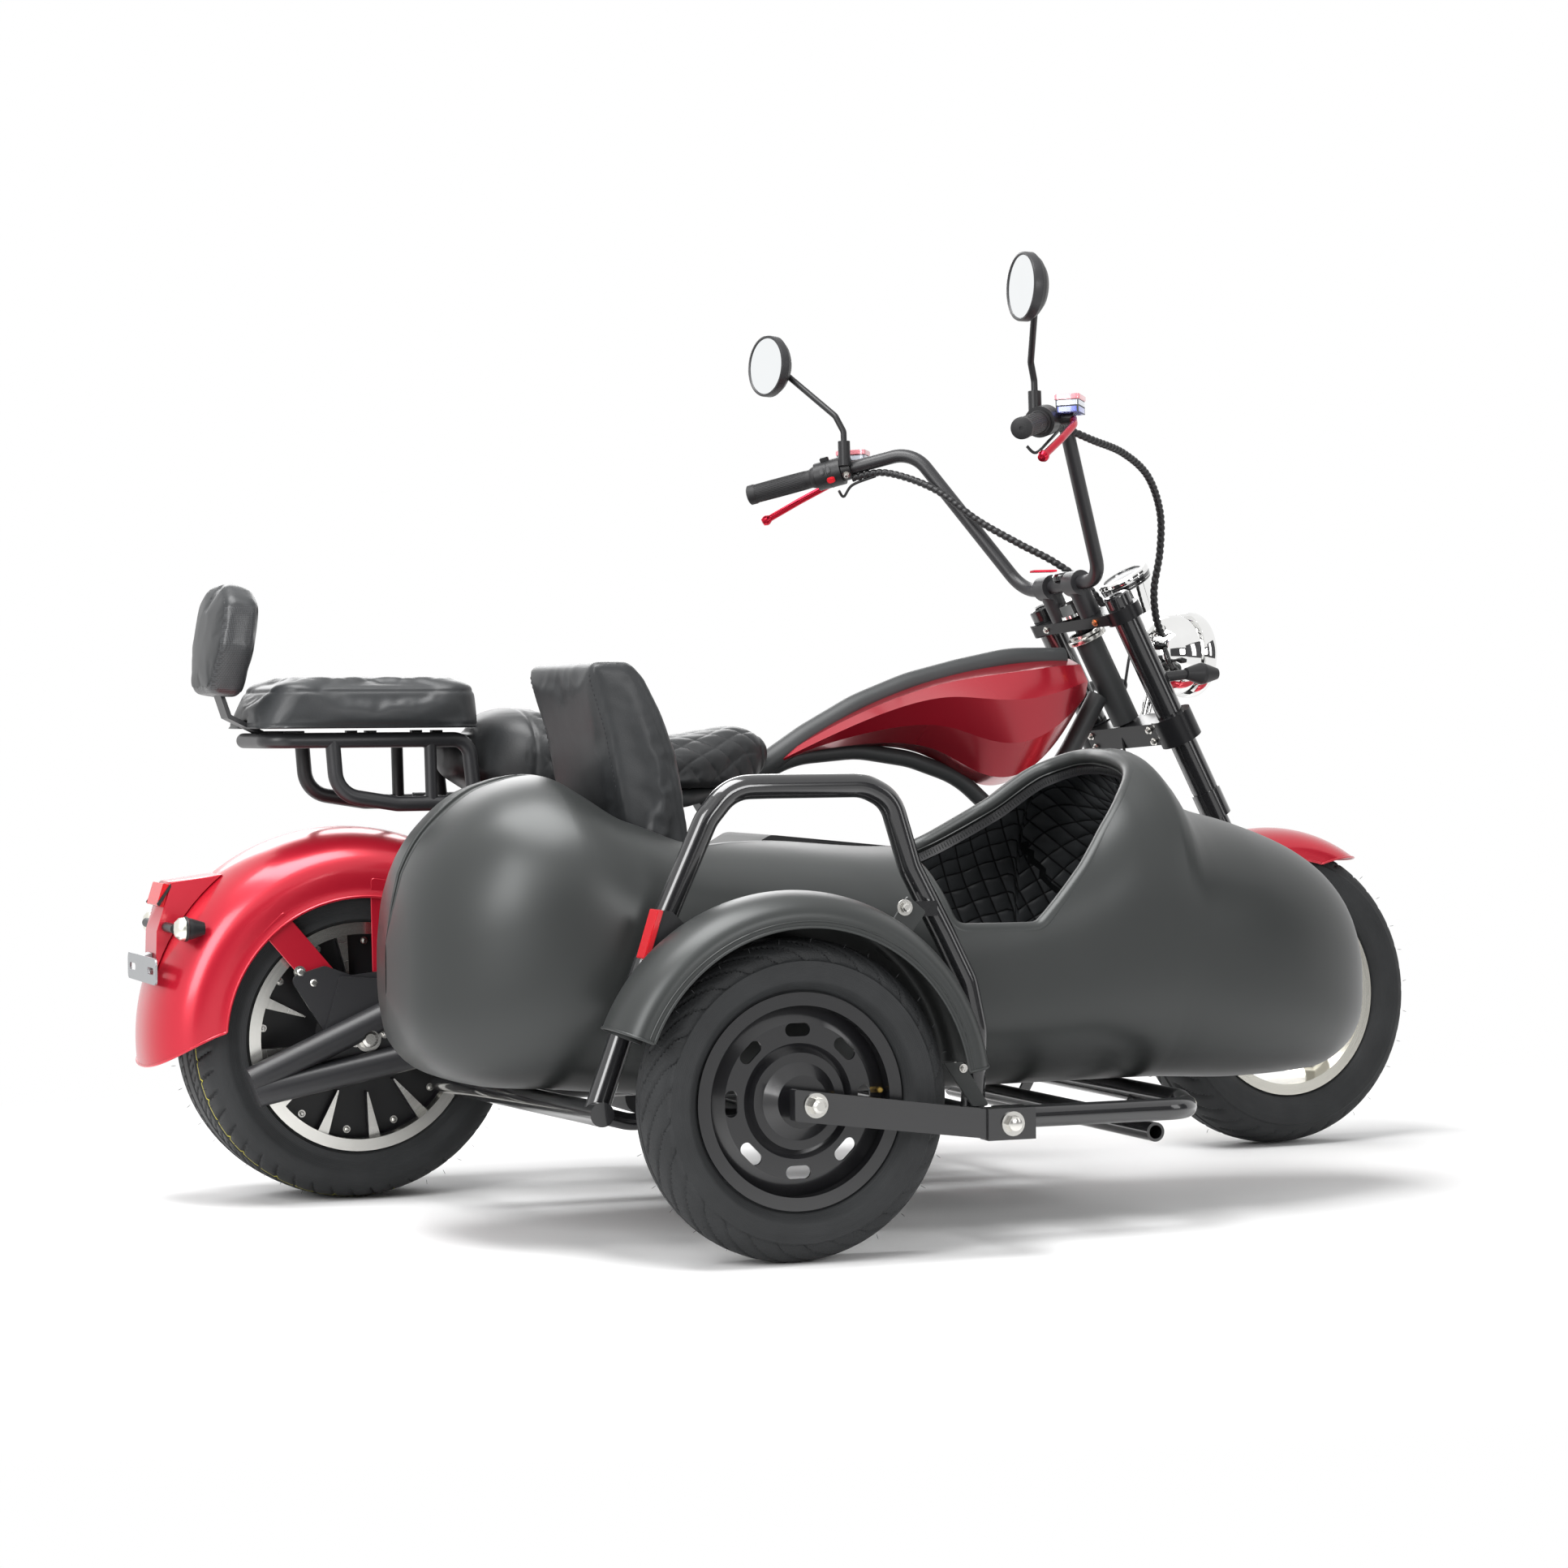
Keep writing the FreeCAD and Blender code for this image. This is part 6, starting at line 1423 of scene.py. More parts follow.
class CruiserFendersOperator(bpy.types.Operator):
    """Build the three fenders with their rolled lips, creases and brackets"""

    bl_idname = "cruiser.fenders"
    bl_label = "Fenders"

    def execute(self, context):
        self.rear()
        self.front()
        self.side()
        return {"FINISHED"}

    def lips(self, solid, rings, size, radius, lines):
        """Rolled wires along both side edges and the ends, and raised lines beside the outer lip."""
        for number, grow in lines:
            solid.sweep([ring[number] for ring in rings], circle(radius * grow * MM, 8))
        for ring in (rings[0], rings[-1]):
            solid.sweep(ring[:size], circle(radius * 0.9 * MM, 8))

    def rear(self):
        profile = crown_profile(303, 228, 204, 204, 121, 2.3, 34)
        flare = [(204, 124.5), (208, 123.2), (213, 121.4)]
        profile = [p for p in profile[1:-1] if p[0] > 215 or abs(p[1]) < 120.5]
        profile = flare + profile + [(r, -y) for r, y in reversed(flare)]
        rings, size = arched_shell(profile, 3.0, (0, 0, 239), [(204, 40), (303, 40)],
                                   [(204, 175.8), (303, 187.2)], 96)
        solid = Solid().skin(rings, False)
        self.lips(solid, rings, size, 2.4, [(0, 1.0), (size - 1, 1.0)])
        housing = [(-187, 476), (-262, 466), (-284, 396), (-286, 338)]
        turns = [math.radians(angle) for angle in range(160, 128, -4)]
        arc = [(302 * math.cos(turn), 239 + 302 * math.sin(turn)) for turn in turns]
        outline = [at(x, -38, z) for x, z in housing + arc]
        solid.prism(outline, (0, 76 * MM, 0))
        for side in (-1, 1):
            low, high = sorted((side * 121.4, side * 118.4))
            for shape in ([(-150, 395), (-118, 425), (-38, 330), (-66, 296)],
                          [(10, 470), (66, 462), (46, 330), (12, 330)]):
                corners = rounded_line(shape, 6)
                solid.prism([at(x, low, z) for x, z in corners], (0, (high - low) * MM, 0))
        made = solid.make("rear_fender_shell", "candy_red", BODY, bevel=0.0008, angle=42, segments=1)
        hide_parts("rear_fender")

    def front(self):
        profile = crown_profile(268, 224, 214, 214, 76, 2.05, 26)
        rings, size = arched_shell(profile, 3.0, (1550, 0, 244), [(214, 73.7), (268, 52.6)],
                                   [(214, 168), (268, 168)])
        solid = Solid().skin(rings, False)
        self.lips(solid, rings, size, 2.2, [(0, 1.0), (size - 1, 1.0)])
        spot = Vector((1640, 0, 0)) + STEER_UP * (444 / math.cos(RAKE)) + STEER_AHEAD * 12
        for side in (-1, 1):
            y0, y1 = sorted((side * 75.0, side * 93.7))
            outline = [at(spot.x + x, y0, spot.z + z)
                       for x, z in ((-13, -15), (13, -15), (13, 15), (-13, 15))]
            solid.prism(outline, (0, (y1 - y0) * MM, 0))
        made = solid.make("front_fender_shell", "candy_red", STEERING, parked=True, bevel=0.0008, angle=42,
                          segments=1)
        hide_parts("front_fender")

    def side(self):
        profile = crown_profile(268, 236, 196, 224, 61.5, 2.0, 26)
        rings, size = arched_shell(profile, 2.5, (347, -913, 208), [(196, 8), (268, 8)],
                                   [(196, 158), (268, 158)], 96)
        solid = Solid().skin(rings, False)
        self.lips(solid, rings, size, 2.3, [(0, 0.8), (size - 1, 1.0), (size - 4, 0.55)])
        for shape in ([(488, 392), (512, 375), (562, 440), (536, 462)],
                      [(566, 268), (600, 262), (652, 180.6), (628, 180.6)]):
            corners = rounded_line(shape, 4)
            solid.prism([at(x, -854.2, z) for x, z in corners], (0, 4.2 * MM, 0))
        made = solid.make("sidecar_fender_shell", "sidecar_satin", BODY, bevel=0.0007, angle=42, segments=1)
        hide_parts("sidecar_fender")


# Upholstery


def array_of(mesh):
    """The places and the outward directions of a mesh's vertices."""
    places = np.empty(len(mesh.vertices) * 3)
    mesh.vertices.foreach_get("co", places)
    outward = np.empty(len(mesh.vertices) * 3)
    mesh.vertex_normals.foreach_get("vector", outward)
    return places.reshape(-1, 3), outward.reshape(-1, 3)


def put_places(mesh, places):
    """Move the vertices of a mesh."""
    mesh.vertices.foreach_set("co", places.ravel())
    mesh.update()


# How far inside its form a cover starts, and the steps that its filling takes.
DRAW_IN, FILLING = 0.003, 20


def remeshed(node, name, voxel):
    """A copy of a CAD node as an even mesh of small squares."""
    made = bpy.data.objects.new(name, plain_copy(node))
    bpy.context.scene.collection.objects.link(made)
    worker = made.modifiers.new("Remesh", "REMESH")
    worker.mode, worker.voxel_size = "VOXEL", voxel
    baked(made)
    return made


def relaxed(mesh, rounds):
    """Even out the mesh's small steps."""
    work = bmesh.new()
    work.from_mesh(mesh)
    for _ in range(rounds):
        bmesh.ops.smooth_vert(work, verts=work.verts, factor=0.5, use_axis_x=True, use_axis_y=True,
                              use_axis_z=True)
    work.to_mesh(mesh)
    work.free()


def stuffed(made, held, sizes):
    """Fill a cover with the cloth solver: it starts inside its form and swells at most by the cap."""
    mesh = made.data
    start, outward = array_of(mesh)
    put_places(mesh, start - outward * DRAW_IN)
    start, outward = array_of(mesh)
    pins = made.vertex_groups.new(name="held")
    pins.add([int(i) for i in np.nonzero(held(start, outward))[0]], 1.0, "REPLACE")
    cloth = made.modifiers.new("Cloth", "CLOTH")
    rules = cloth.settings
    rules.quality, rules.mass, rules.vertex_group_mass = 5, 0.3, "held"
    rules.tension_stiffness = rules.compression_stiffness = 25
    rules.shear_stiffness, rules.bending_stiffness = 15, 0.8
    rules.use_pressure, rules.uniform_pressure_force = True, sizes.pressure
    rules.effector_weights.gravity = 0
    cloth.collision_settings.use_collision = cloth.collision_settings.use_self_collision = False
    cloth.point_cache.frame_start, cloth.point_cache.frame_end = 1, FILLING
    for number in range(1, FILLING + 1):
        bpy.context.scene.frame_set(number)
    swollen = evaluated(made)
    moved = array_of(swollen)[0] - start
    made.modifiers.clear()
    far = np.linalg.norm(moved, axis=1, keepdims=True)
    put_places(mesh, start + moved * np.minimum(1.0, sizes.cap / np.maximum(far, 1e-9)))
    bpy.data.meshes.remove(swollen)
    bpy.context.scene.frame_set(1)


def pad(node, name, voxel, rounds, held, sizes):
    """A cover for a CAD node: its form as an even mesh, filled, and subdivided once."""
    made = remeshed(node, name, voxel)
    relaxed(made.data, rounds)
    stuffed(made, held, sizes)
    rounder = made.modifiers.new("Subdivision", "SUBSURF")
    rounder.levels = rounder.render_levels = 1
    return baked(made)


def below(height, under=True):
    """Picks what holds a cover: places below a height, and with `under` all faces that look down."""
    def pick(places, outward):
        low = from_drawing(places)[:, 2] < height
        return (outward[:, 2] < -0.5) | low if under else low
    return pick


def channel(distance, width):
    """The depth of a sewn channel at a distance from its line."""
    return np.exp(-(np.abs(distance) / width) ** 1.5)


def from_drawing(places):
    """Places of the frame in the drawing's millimetres."""
    return (places - np.array(SHIFT)) / MM


def seam_line(points, tree, reach=0.12, pitch=0.004):
    """A line on a cover under (point, direction) rays from outside, evenly spaced."""
    line = []
    for start, way in points:
        way = Vector(way).normalized()
        hit = tree.ray_cast(start - way * reach, way, reach * 2.5)[0]
        if hit is not None:
            line.append(hit)
    return even_path(line, max(4, int(length_of(line) / pitch)))


def sewn(name, line, tree, sizes, thick):
    """Stitches along a line: short pegs that lie on the cover."""
    spots = []
    run = even_path(line, max(3, int(length_of(line) / sizes.stitch)))
    for i in range(1, len(run) - 1):
        near = tree.find_nearest(run[i])
        spots.append((near[0] + near[1] * thick * 0.4, run[i + 1] - run[i - 1], near[1]))
    pegs(name, spots, (thick * 0.9, thick * 0.7, sizes.stitch * 0.62), BODY, "thread")


# The saddle's top line from the side, as (x, z), where its quilting lies, and how round its pillows are.
SADDLE_CREST = [(146, 660), (186, 676), (216, 703), (242, 713), (290, 706), (350, 684), (450, 668),
                (545, 671), (606, 681), (665, 656)]
QUILT_REAR, QUILT_FRONT, QUILT_FOOT = 268, 640, 594
SADDLE_PILLOW, CUSHION_PILLOW = 0.32, 0.4
CUSHION_SQUARE = 52
# The tall backrest's front face from the side, as (z, x).
TALL_FRONT = [(372, 344), (540, 310), (598, 299), (656, 285), (710, 264), (757, 240), (779, 206)]


def pillows(first, second, power):
    """Rounded swellings between two sets of quilting lines, one unit apart."""
    return np.abs(np.sin(math.pi * first)) ** power * np.abs(np.sin(math.pi * second)) ** power


class CruiserSaddleOperator(bpy.types.Operator):
    """Pad and quilt the rider's saddle"""

    bl_idname = "cruiser.saddle"
    bl_label = "Saddle"

    def execute(self, context):
        sizes = context.scene.cruiser_upholstery
        made = pad("saddle", "saddle_cover", sizes.voxel * 0.9, 4, below(592), sizes)
        relaxed(made.data, 2)
        places, outward = array_of(made.data)
        x, y, z = from_drawing(places).T
        crest = np.interp(x, *zip(*SADDLE_CREST))
        down = np.abs(y) + np.maximum(0, crest - z) * 0.9
        pitch = sizes.diamond * 1000 * 1.25
        swell = pillows((x * 0.92 + down) / pitch, (x * 0.92 - down) / pitch, SADDLE_PILLOW)
        seat = between(x, QUILT_REAR, QUILT_FRONT, 12, 10) * np.clip((z - QUILT_FOOT) / 8, 0, 1)
        front = np.clip((x - 196) / 6, 0, 1)
        rise = seat * (swell - 0.55) * sizes.depth * 1.15 - (1 - seat) * 0.0006
        band = channel(x - 258, 3.0) + channel(x - 646, 2.6)
        rise = rise - band * 0.0022 * front
        put_places(made.data, places + outward * rise[:, None])
        made.data.materials.clear()
        made.data.materials.append(FINISHES["saddle_leather"])
        dressed(made)
        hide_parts("saddle")
        return {"FINISHED"}


def dressed(made):
    """Smooth shading, and the body that carries the piece."""
    made.data.shade_smooth()
    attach(made, BODY)


def panel_slots(made, pick):
    """Give faces their second or third finish by their places."""
    mesh = made.data
    middles = np.empty(len(mesh.polygons) * 3)
    mesh.polygons.foreach_get("center", middles)
    mesh.polygons.foreach_set("material_index", pick(from_drawing(middles.reshape(-1, 3))).astype(np.int32))


class CruiserPadsOperator(bpy.types.Operator):
    """Pad the rack's cushion and its backrest, with their seams and side panels"""

    bl_idname = "cruiser.pads"
    bl_label = "Passenger pads"

    def execute(self, context):
        sizes = context.scene.cruiser_upholstery
        self.cushion(sizes)
        self.back(sizes)
        return {"FINISHED"}

    def cushion(self, sizes):
        made = pad("rack_pad", "rack_cushion", sizes.voxel * 1.1, 3, below(688), sizes)
        places, outward = array_of(made.data)
        x, y, z = from_drawing(places).T
        seam = channel(z - 739, 2.6) * (np.abs(outward[:, 2]) < 0.8)
        bottom = channel(z - 690, 2.2) * (np.abs(outward[:, 2]) < 0.8)
        top = np.clip((z - 748) / 4, 0, 1)
        wave = pillows((x + y) / CUSHION_SQUARE, (x - y) / CUSHION_SQUARE, CUSHION_PILLOW)
        inside = (np.clip((96 - np.abs(y)) / 6, 0, 1) * np.clip((150 - x) / 6, 0, 1)
                  * np.clip((x + 96) / 6, 0, 1))
        rise = top * inside * (wave - 0.55) * sizes.depth * 0.9 - (seam + bottom) * 0.0016
        put_places(made.data, places + outward * rise[:, None])
        made.data.materials.clear()
        made.data.materials.append(FINISHES["seat_leather"])
        dressed(made)
        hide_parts("rack_pad")

    def back(self, sizes):
        made = pad("backrest_pad", "backrest_cover", sizes.voxel * 0.85, 3, below(736, False), sizes)
        lean = math.radians(9)

        def depth(spots):
            """How far in front of the pad's middle plane places lie."""
            return (spots[:, 0] + 183) * math.cos(lean) - (spots[:, 2] - 752) * math.sin(lean)

        places, outward = array_of(made.data)
        deep = depth(from_drawing(places))
        edge = channel(deep + 26, 2.4) + channel(deep - 26, 2.4)
        rise = -edge * 0.0018 * (np.abs(outward @ np.array([math.cos(lean), 0, -math.sin(lean)])) < 0.85)
        put_places(made.data, places + outward * rise[:, None])
        for label in ("seat_leather", "twill_panel"):
            made.data.materials.append(FINISHES[label])
        panel_slots(made, lambda spots: (np.abs(depth(spots)) < 24) & (spots[:, 2] < 862))
        dressed(made)
        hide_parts("backrest_pad")


class CruiserSeatOperator(bpy.types.Operator):
    """Pad the sidecar's cushion and its tall backrest, and sew the backrest's seams"""

    bl_idname = "cruiser.seat"
    bl_label = "Sidecar seat"

    def execute(self, context):
        sizes = context.scene.cruiser_upholstery
        made = pad("sidecar_seat", "seat_cushion", sizes.voxel * 1.8, 3, below(350), sizes)
        made.data.materials.append(FINISHES["seat_leather"])
        dressed(made)
        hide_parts("sidecar_seat")
        self.backrest(sizes)
        return {"FINISHED"}

    def backrest(self, sizes):
        made = pad("sidecar_backrest", "backrest_tall", sizes.voxel * 1.15, 3, below(382, False), sizes)
        places, outward = array_of(made.data)
        x, y, z = from_drawing(places).T
        side = np.abs(y - TUB_MID)
        rear = channel(side - 132, 2.4) * (outward[:, 0] < 0.6) * (z > 380)
        facing = np.clip(1.4 - 2 * np.abs(outward[:, 1]), 0, 1)
        front = np.interp(z, *zip(*TALL_FRONT))
        strip = channel(x - front + 15, 2.6) * (np.abs(outward[:, 1]) > 0.5)
        put_places(made.data, places - outward * (rear * facing * 0.0018 + strip * 0.0016)[:, None])
        made.data.materials.append(FINISHES["seat_leather"])
        dressed(made)
        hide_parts("sidecar_backrest")
        tree = BVHTree.FromObject(made, bpy.context.evaluated_depsgraph_get())
        for number, width in enumerate((-126, 126)):
            rays = [(at(150 + (700 - z) * 0.25, TUB_MID + width, z), (1, 0, 0)) for z in range(600, 764, 8)]
            sewn("backrest_stitches_%d" % number, seam_line(rays, tree), tree, sizes, 0.0007)


# Small parts


SIDES = ((1, "left"), (-1, "right"))


def placed(places):
    """Drawing places with directions as places of the frame."""
    return [(at(*place), Vector(way)) for place, way in places]


def on_both(places):
    """The places and their mirror images across the machine."""
    return [((p[0], side * p[1], p[2]), (w[0], side * w[1], w[2])) for side in (-1, 1) for p, w in places]


def on_steering(height, ahead, y):
    """A drawing place on the steering axis at a height, moved ahead and aside, before parking."""
    return at(1640 - height * math.tan(RAKE) + ahead * math.cos(RAKE), y, height + ahead * math.sin(RAKE))


class CruiserFastenersOperator(bpy.types.Operator):
    """Set the bolts, nuts and the valve"""

    bl_idname = "cruiser.fasteners"
    bl_label = "Fasteners"

    def execute(self, context):
        count = context.scene.cruiser_wheels.rim_bolts
        ring = []
        for i in range(count):
            turn = math.radians(24) + math.tau * i / count
            ring.append(((138 * math.cos(turn), 66, 239 + 138 * math.sin(turn)), (0, 1, 0)))
        bolts("rear_rim_bolts", placed(on_both(ring)), 0.0068, REAR_WHEEL, head=0.003)
        bolts("rear_axle_nuts", placed(on_both([((0, 134.9, 239), (0, 1, 0))])), 0.026, BODY, head=0.0115,
              washer=0.0195)
        plates = on_both([((-18, 134.6, 235), (0, 1, 0)), ((26, 134.6, 246), (0, 1, 0))])
        bolts("axle_plate_bolts", placed(plates), 0.0098, BODY, head=0.005)
        stays = on_both([((-96, 121.5, 337), (0, 1, 0)), ((-77, 121.5, 321), (0, 1, 0))])
        bolts("fender_stay_bolts", placed(stays), 0.0112, BODY, head=0.005, washer=0.0088)
        bolts("arm_pivot_nut", placed([((618, -998.2, 173), (0, -1, 0))]), 0.0195, BODY, head=0.0078)
        bolts("arm_axle_nut", placed([((347, -994.2, 208), (0, -1, 0))]), 0.0195, BODY, head=0.0118)
        bolts("hoop_bracket_bolt", placed([((531, -854.3, 446.5), (0, -1, 0))]), 0.0122, BODY, washer=0.0108)
        strap = [((602, -854.3, 246), (0, -1, 0)), ((614, -854.3, 232), (0, -1, 0))]
        bolts("fender_strap_bolts", placed(strap), 0.0072, BODY)
        bolts("front_axle_nuts", placed(on_both([((1550, 126.2, 244), (0, 1, 0))])), 0.027, STEERING,
              head=0.0086, washer=0.0185, parked=True)
        rear = -STEER_AHEAD
        lower = [(on_steering(z, -19.2, y), rear) for z in (658, 676) for y in (-84, 84)]
        bolts("lower_clamp_bolts", lower, 0.0078, STEERING, head=0.0045, parked=True)
        bolts("upper_clamp_bolt_right", [(on_steering(846, -19.2, -72), rear)], 0.0074, STEERING,
              "copper_coil", parked=True)
        bolts("upper_clamp_bolt_left", [(on_steering(846, -19.2, 72), rear)], 0.0074, STEERING, parked=True)
        bolts("stem_nut", [(on_steering(858, 0, 0), STEER_UP)], 0.040, STEERING, "chrome", head=0.0165,
              washer=0.0245, parked=True)
        self.valve()
        self.coil()
        return {"FINISHED"}

    def valve(self):
        """The sidecar wheel's valve: a brass stem with its cap."""
        profile = [(0, 0), (3.2, 0), (3.2, 6), (4.2, 6.5), (4.2, 15), (3.0, 17), (0, 17)]
        way = Vector((-0.35, -0.93, 0.05)).normalized()
        Solid().spin(profile, at(464, -924, 217), way, 16).make("sidecar_valve", "brass", SIDE_WHEEL)

    def coil(self):
        """The copper-coloured spring on the arm's pivot."""
        path = []
        for i in range(61):
            turn = math.tau * 3 * i / 60
            path.append(at(618 + 15.4 * math.cos(turn), -971.4 + 5.4 * i / 60, 173 + 15.4 * math.sin(turn)))
        coil = Solid().sweep(path, circle(0.9 * MM, 8), lift=Vector((0, 1, 0)))
        coil.make("arm_coil", "copper_coil", BODY)


BAR_END = Vector((851, 422, 1087))
BAR_WAY = Vector((-0.694, 0.694, -0.190)).normalized()
BAR_AHEAD = Vector((0.7071, 0.7071, 0.0))
BAR_RISE = BAR_WAY.cross(BAR_AHEAD).normalized() * (1 if BAR_WAY.cross(BAR_AHEAD).z > 0 else -1)
POD_START = BAR_END - BAR_WAY * 158


def mirrored(vector, side):
    """The vector, or its mirror image across the machine for the right side."""
    return Vector((vector.x, side * vector.y, vector.z))


class CruiserControlsOperator(bpy.types.Operator):
    """Finish the bar's ends: grips, switches, reservoirs and mirror glasses"""

    bl_idname = "cruiser.controls"
    bl_label = "Controls"

    def execute(self, context):
        for side, name in SIDES:
            self.grip(side, name)
            self.mirror(side, name)
            self.reservoir(side, name)
        self.switches()
        return {"FINISHED"}

    def grip(self, side, name):
        """Fine ribs along the grip and its two flanges."""
        end, way = at(*mirrored(BAR_END, side)), mirrored(BAR_WAY, side)
        across, up, way = cross_directions(way)
        ribs = []
        for i in range(36):
            turn = math.tau * i / 36
            out = across * math.cos(turn) + up * math.sin(turn)
            ribs.append((end - way * 0.050 + out * 0.0150, way, out))
        pegs("grip_ribs_" + name, ribs, (0.0008, 0.0006, 0.098), STEERING, "grip_rubber", parked=True)
        outer = [(0, 6.4), (2.6, 6.4), (2.8, 7.6), (13.4, 7.6), (16.2, 5.6), (16.4, -4), (15.3, -7), (0, -7)]
        inner = [(0, -112.5), (17.6, -112.5), (18.2, -110), (16, -104), (0, -104)]
        solid = Solid()
        for profile in (outer, inner):
            solid.spin(profile, end, way, 40)
        solid.make("grip_flanges_" + name, "grip_rubber", STEERING, parked=True)

    def mirror(self, side, name):
        """The glass in its dark rim and the joint behind it."""
        centre = at(877, 401 * side, 1297)
        facing = Vector((-1, -0.12 * side, 0.02)).normalized()
        glass = [(0, 7.6), (24, 7.3), (45.5, 6.4), (45.5, 5.0), (0, 5.0)]
        Solid().spin(glass, centre, facing, 64).make("mirror_glass_" + name, "mirror_glass", STEERING,
                                                     parked=True)
        rim = [(45.6, 5.0), (45.6, 7.0), (47.4, 8.4), (49.6, 7.8), (50.5, 5.6), (50.5, -5.5), (48, -6),
               (45.6, 5.0)]
        Solid().spin(rim, centre, facing, 64).make("mirror_rim_" + name, "satin_black", STEERING,
                                                   parked=True)

    def reservoir(self, side, name):
        """The brake fluid cup: its fluid, its clear wall and its tinted lid."""
        heading_way = Vector((BAR_WAY.x, side * BAR_WAY.y, 0)).normalized()
        across = Vector((-heading_way.y, heading_way.x, 0))
        ahead = mirrored(BAR_AHEAD, side)
        base = mirrored(POD_START, side) - mirrored(BAR_WAY, side) * 8 + ahead * 36 + Vector((0, 0, 6))
        for label, finish_name, grow, low, high in (("fluid", "blue_fluid", 0.5, -0.4, 9.5),
                                                    ("cup", "cup_clear", 0.9, 9.5, 19),
                                                    ("lid", "pink_cap", 2.4, 19, 27)):
            corners = [(-23 - grow, -17 - grow), (23 + grow, -17 - grow), (23 + grow, 17 + grow),
                       (-23 - grow, 17 + grow)]
            outline = [at(*(base + heading_way * u + across * v + Vector((0, 0, low))))
                       for u, v in rounded_line(corners, 6)]
            Solid().prism(outline, (0, 0, (high - low) * MM)).make(
                "reservoir_%s_%s" % (label, name), finish_name, STEERING, parked=True, bevel=0.0011)

    def switches(self):
        """The rocker, the two small keys and the red button of the left housing, and its clamp bolts."""
        def face(run, turn, radius):
            """A point round the housing, and the direction outwards there."""
            out = (-BAR_AHEAD * math.cos(math.radians(turn)) + BAR_RISE * math.sin(math.radians(turn)))
            return POD_START + BAR_WAY * run + out * radius, out

        for name, finish_name, run, turn, size in (
                ("rocker", "black_plastic", 25, 72, (7.5, 5.5, 7.5)),
                ("key_left", "satin_black", 29, 8, (3.6, 6.5, 4.2)),
                ("key_right", "satin_black", 18, 8, (3.6, 6.5, 4.2)),
                ("button", "red_button", 18, -36, (6.8, 5.2, 4.2))):
            middle, out = face(run, turn, 21.5)
            round_way = out.cross(BAR_WAY).normalized()
            outline = []
            for i in range(20):
                c, s = math.cos(math.tau * i / 20), math.sin(math.tau * i / 20)
                u, v = (math.copysign(abs(k) ** 0.7, k) for k in (c, s))
                outline.append(at(*(middle + BAR_WAY * u * size[0] + round_way * v * size[1])))
            solid = Solid().prism(outline, out * size[2] * MM)
            solid.make("switch_" + name, finish_name, STEERING, parked=True, bevel=0.0012, angle=50)
        places = [face(-8, turn, 18.2) for turn in (42, -38)]
        bolts("lever_clamp_bolts", [(at(*p), w) for p, w in places], 0.0082, STEERING, head=0.0036,
              parked=True)
        seam = [at(*face(22, turn, 23.1)[0]) for turn in range(0, 360, 8)]
        solid = Solid().sweep(seam, circle(0.5 * MM, 6), closed=True, lift=BAR_WAY)
        solid.make("switch_housing_seam", "case_black", STEERING, parked=True)


CONDUITS = ([(972, 301, 1103), (1012, 260, 1108), (1060, 190, 1075), (1110, 140, 1020), (1160, 95, 978),
             (1205, 60, 945), (1252, 40, 905), (1300, 34, 850), (1340, 26, 818)],
            [(972, -301, 1103), (1024, -258, 1114), (1090, -240, 1100), (1170, -200, 1088),
             (1240, -160, 1060), (1288, -120, 1010), (1306, -90, 952), (1310, -64, 894), (1322, -48, 852),
             (1344, -30, 822)])
# A conduit's wrap: mesh step, pitch and sides, and its least and greatest radius.
WRAP_STEP, WRAP_PITCH, WRAP_SIDES = 1.5, 10.0, 16
WRAP_RADIUS, WRAP_RISE = 4.9, 1.25
CABLES = ([(940, 290, 1080), (952, 296, 1072), (972, 301, 1092), (1000, 274, 1104)],
          [(940, -290, 1080), (952, -296, 1070), (975, -300, 1090), (1004, -276, 1106)],
          [(1312, 8, 812), (1298, 2, 772), (1283, 0, 700), (1287, 4, 648), (1318, 30, 572), (1362, 70, 500),
           (1384, 84, 430), (1402, 84, 378), (1458, 68, 334)])


class CruiserCablesOperator(bpy.types.Operator):
    """Lay the two spiral-wrapped conduits and the thin cables"""

    bl_idname = "cruiser.cables"
    bl_label = "Conduits and cables"

    def execute(self, context):
        wraps = Solid()
        for points in CONDUITS:
            line = smooth_path(points, 400)
            path = even_path([at(*p) for p in line], int(length_of(line) / WRAP_STEP))
            rings = carried_sections(path, circle(1.0, WRAP_SIDES), False, Vector((0, 0, 1)))
            for i, ring in enumerate(rings):
                for j, point in enumerate(ring):
                    phase = (i * WRAP_STEP / WRAP_PITCH - j / WRAP_SIDES) % 1.0
                    radius = WRAP_RADIUS + WRAP_RISE * math.sin(math.pi * min(1.0, phase / 0.82)) ** 0.6
                    ring[j] = path[i] + (point - path[i]) * radius * MM
            wraps.skin(rings, False)
        made = wraps.make("conduit_wraps", "black_plastic", STEERING, parked=True)
        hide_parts("conduits")
        thin = Solid()
        for points in CABLES:
            thin.sweep(smooth_path([at(*p) for p in points], 60), circle(2.3 * MM, 10))
        thin.make("thin_cables", "black_plastic", STEERING, parked=True)
        return {"FINISHED"}


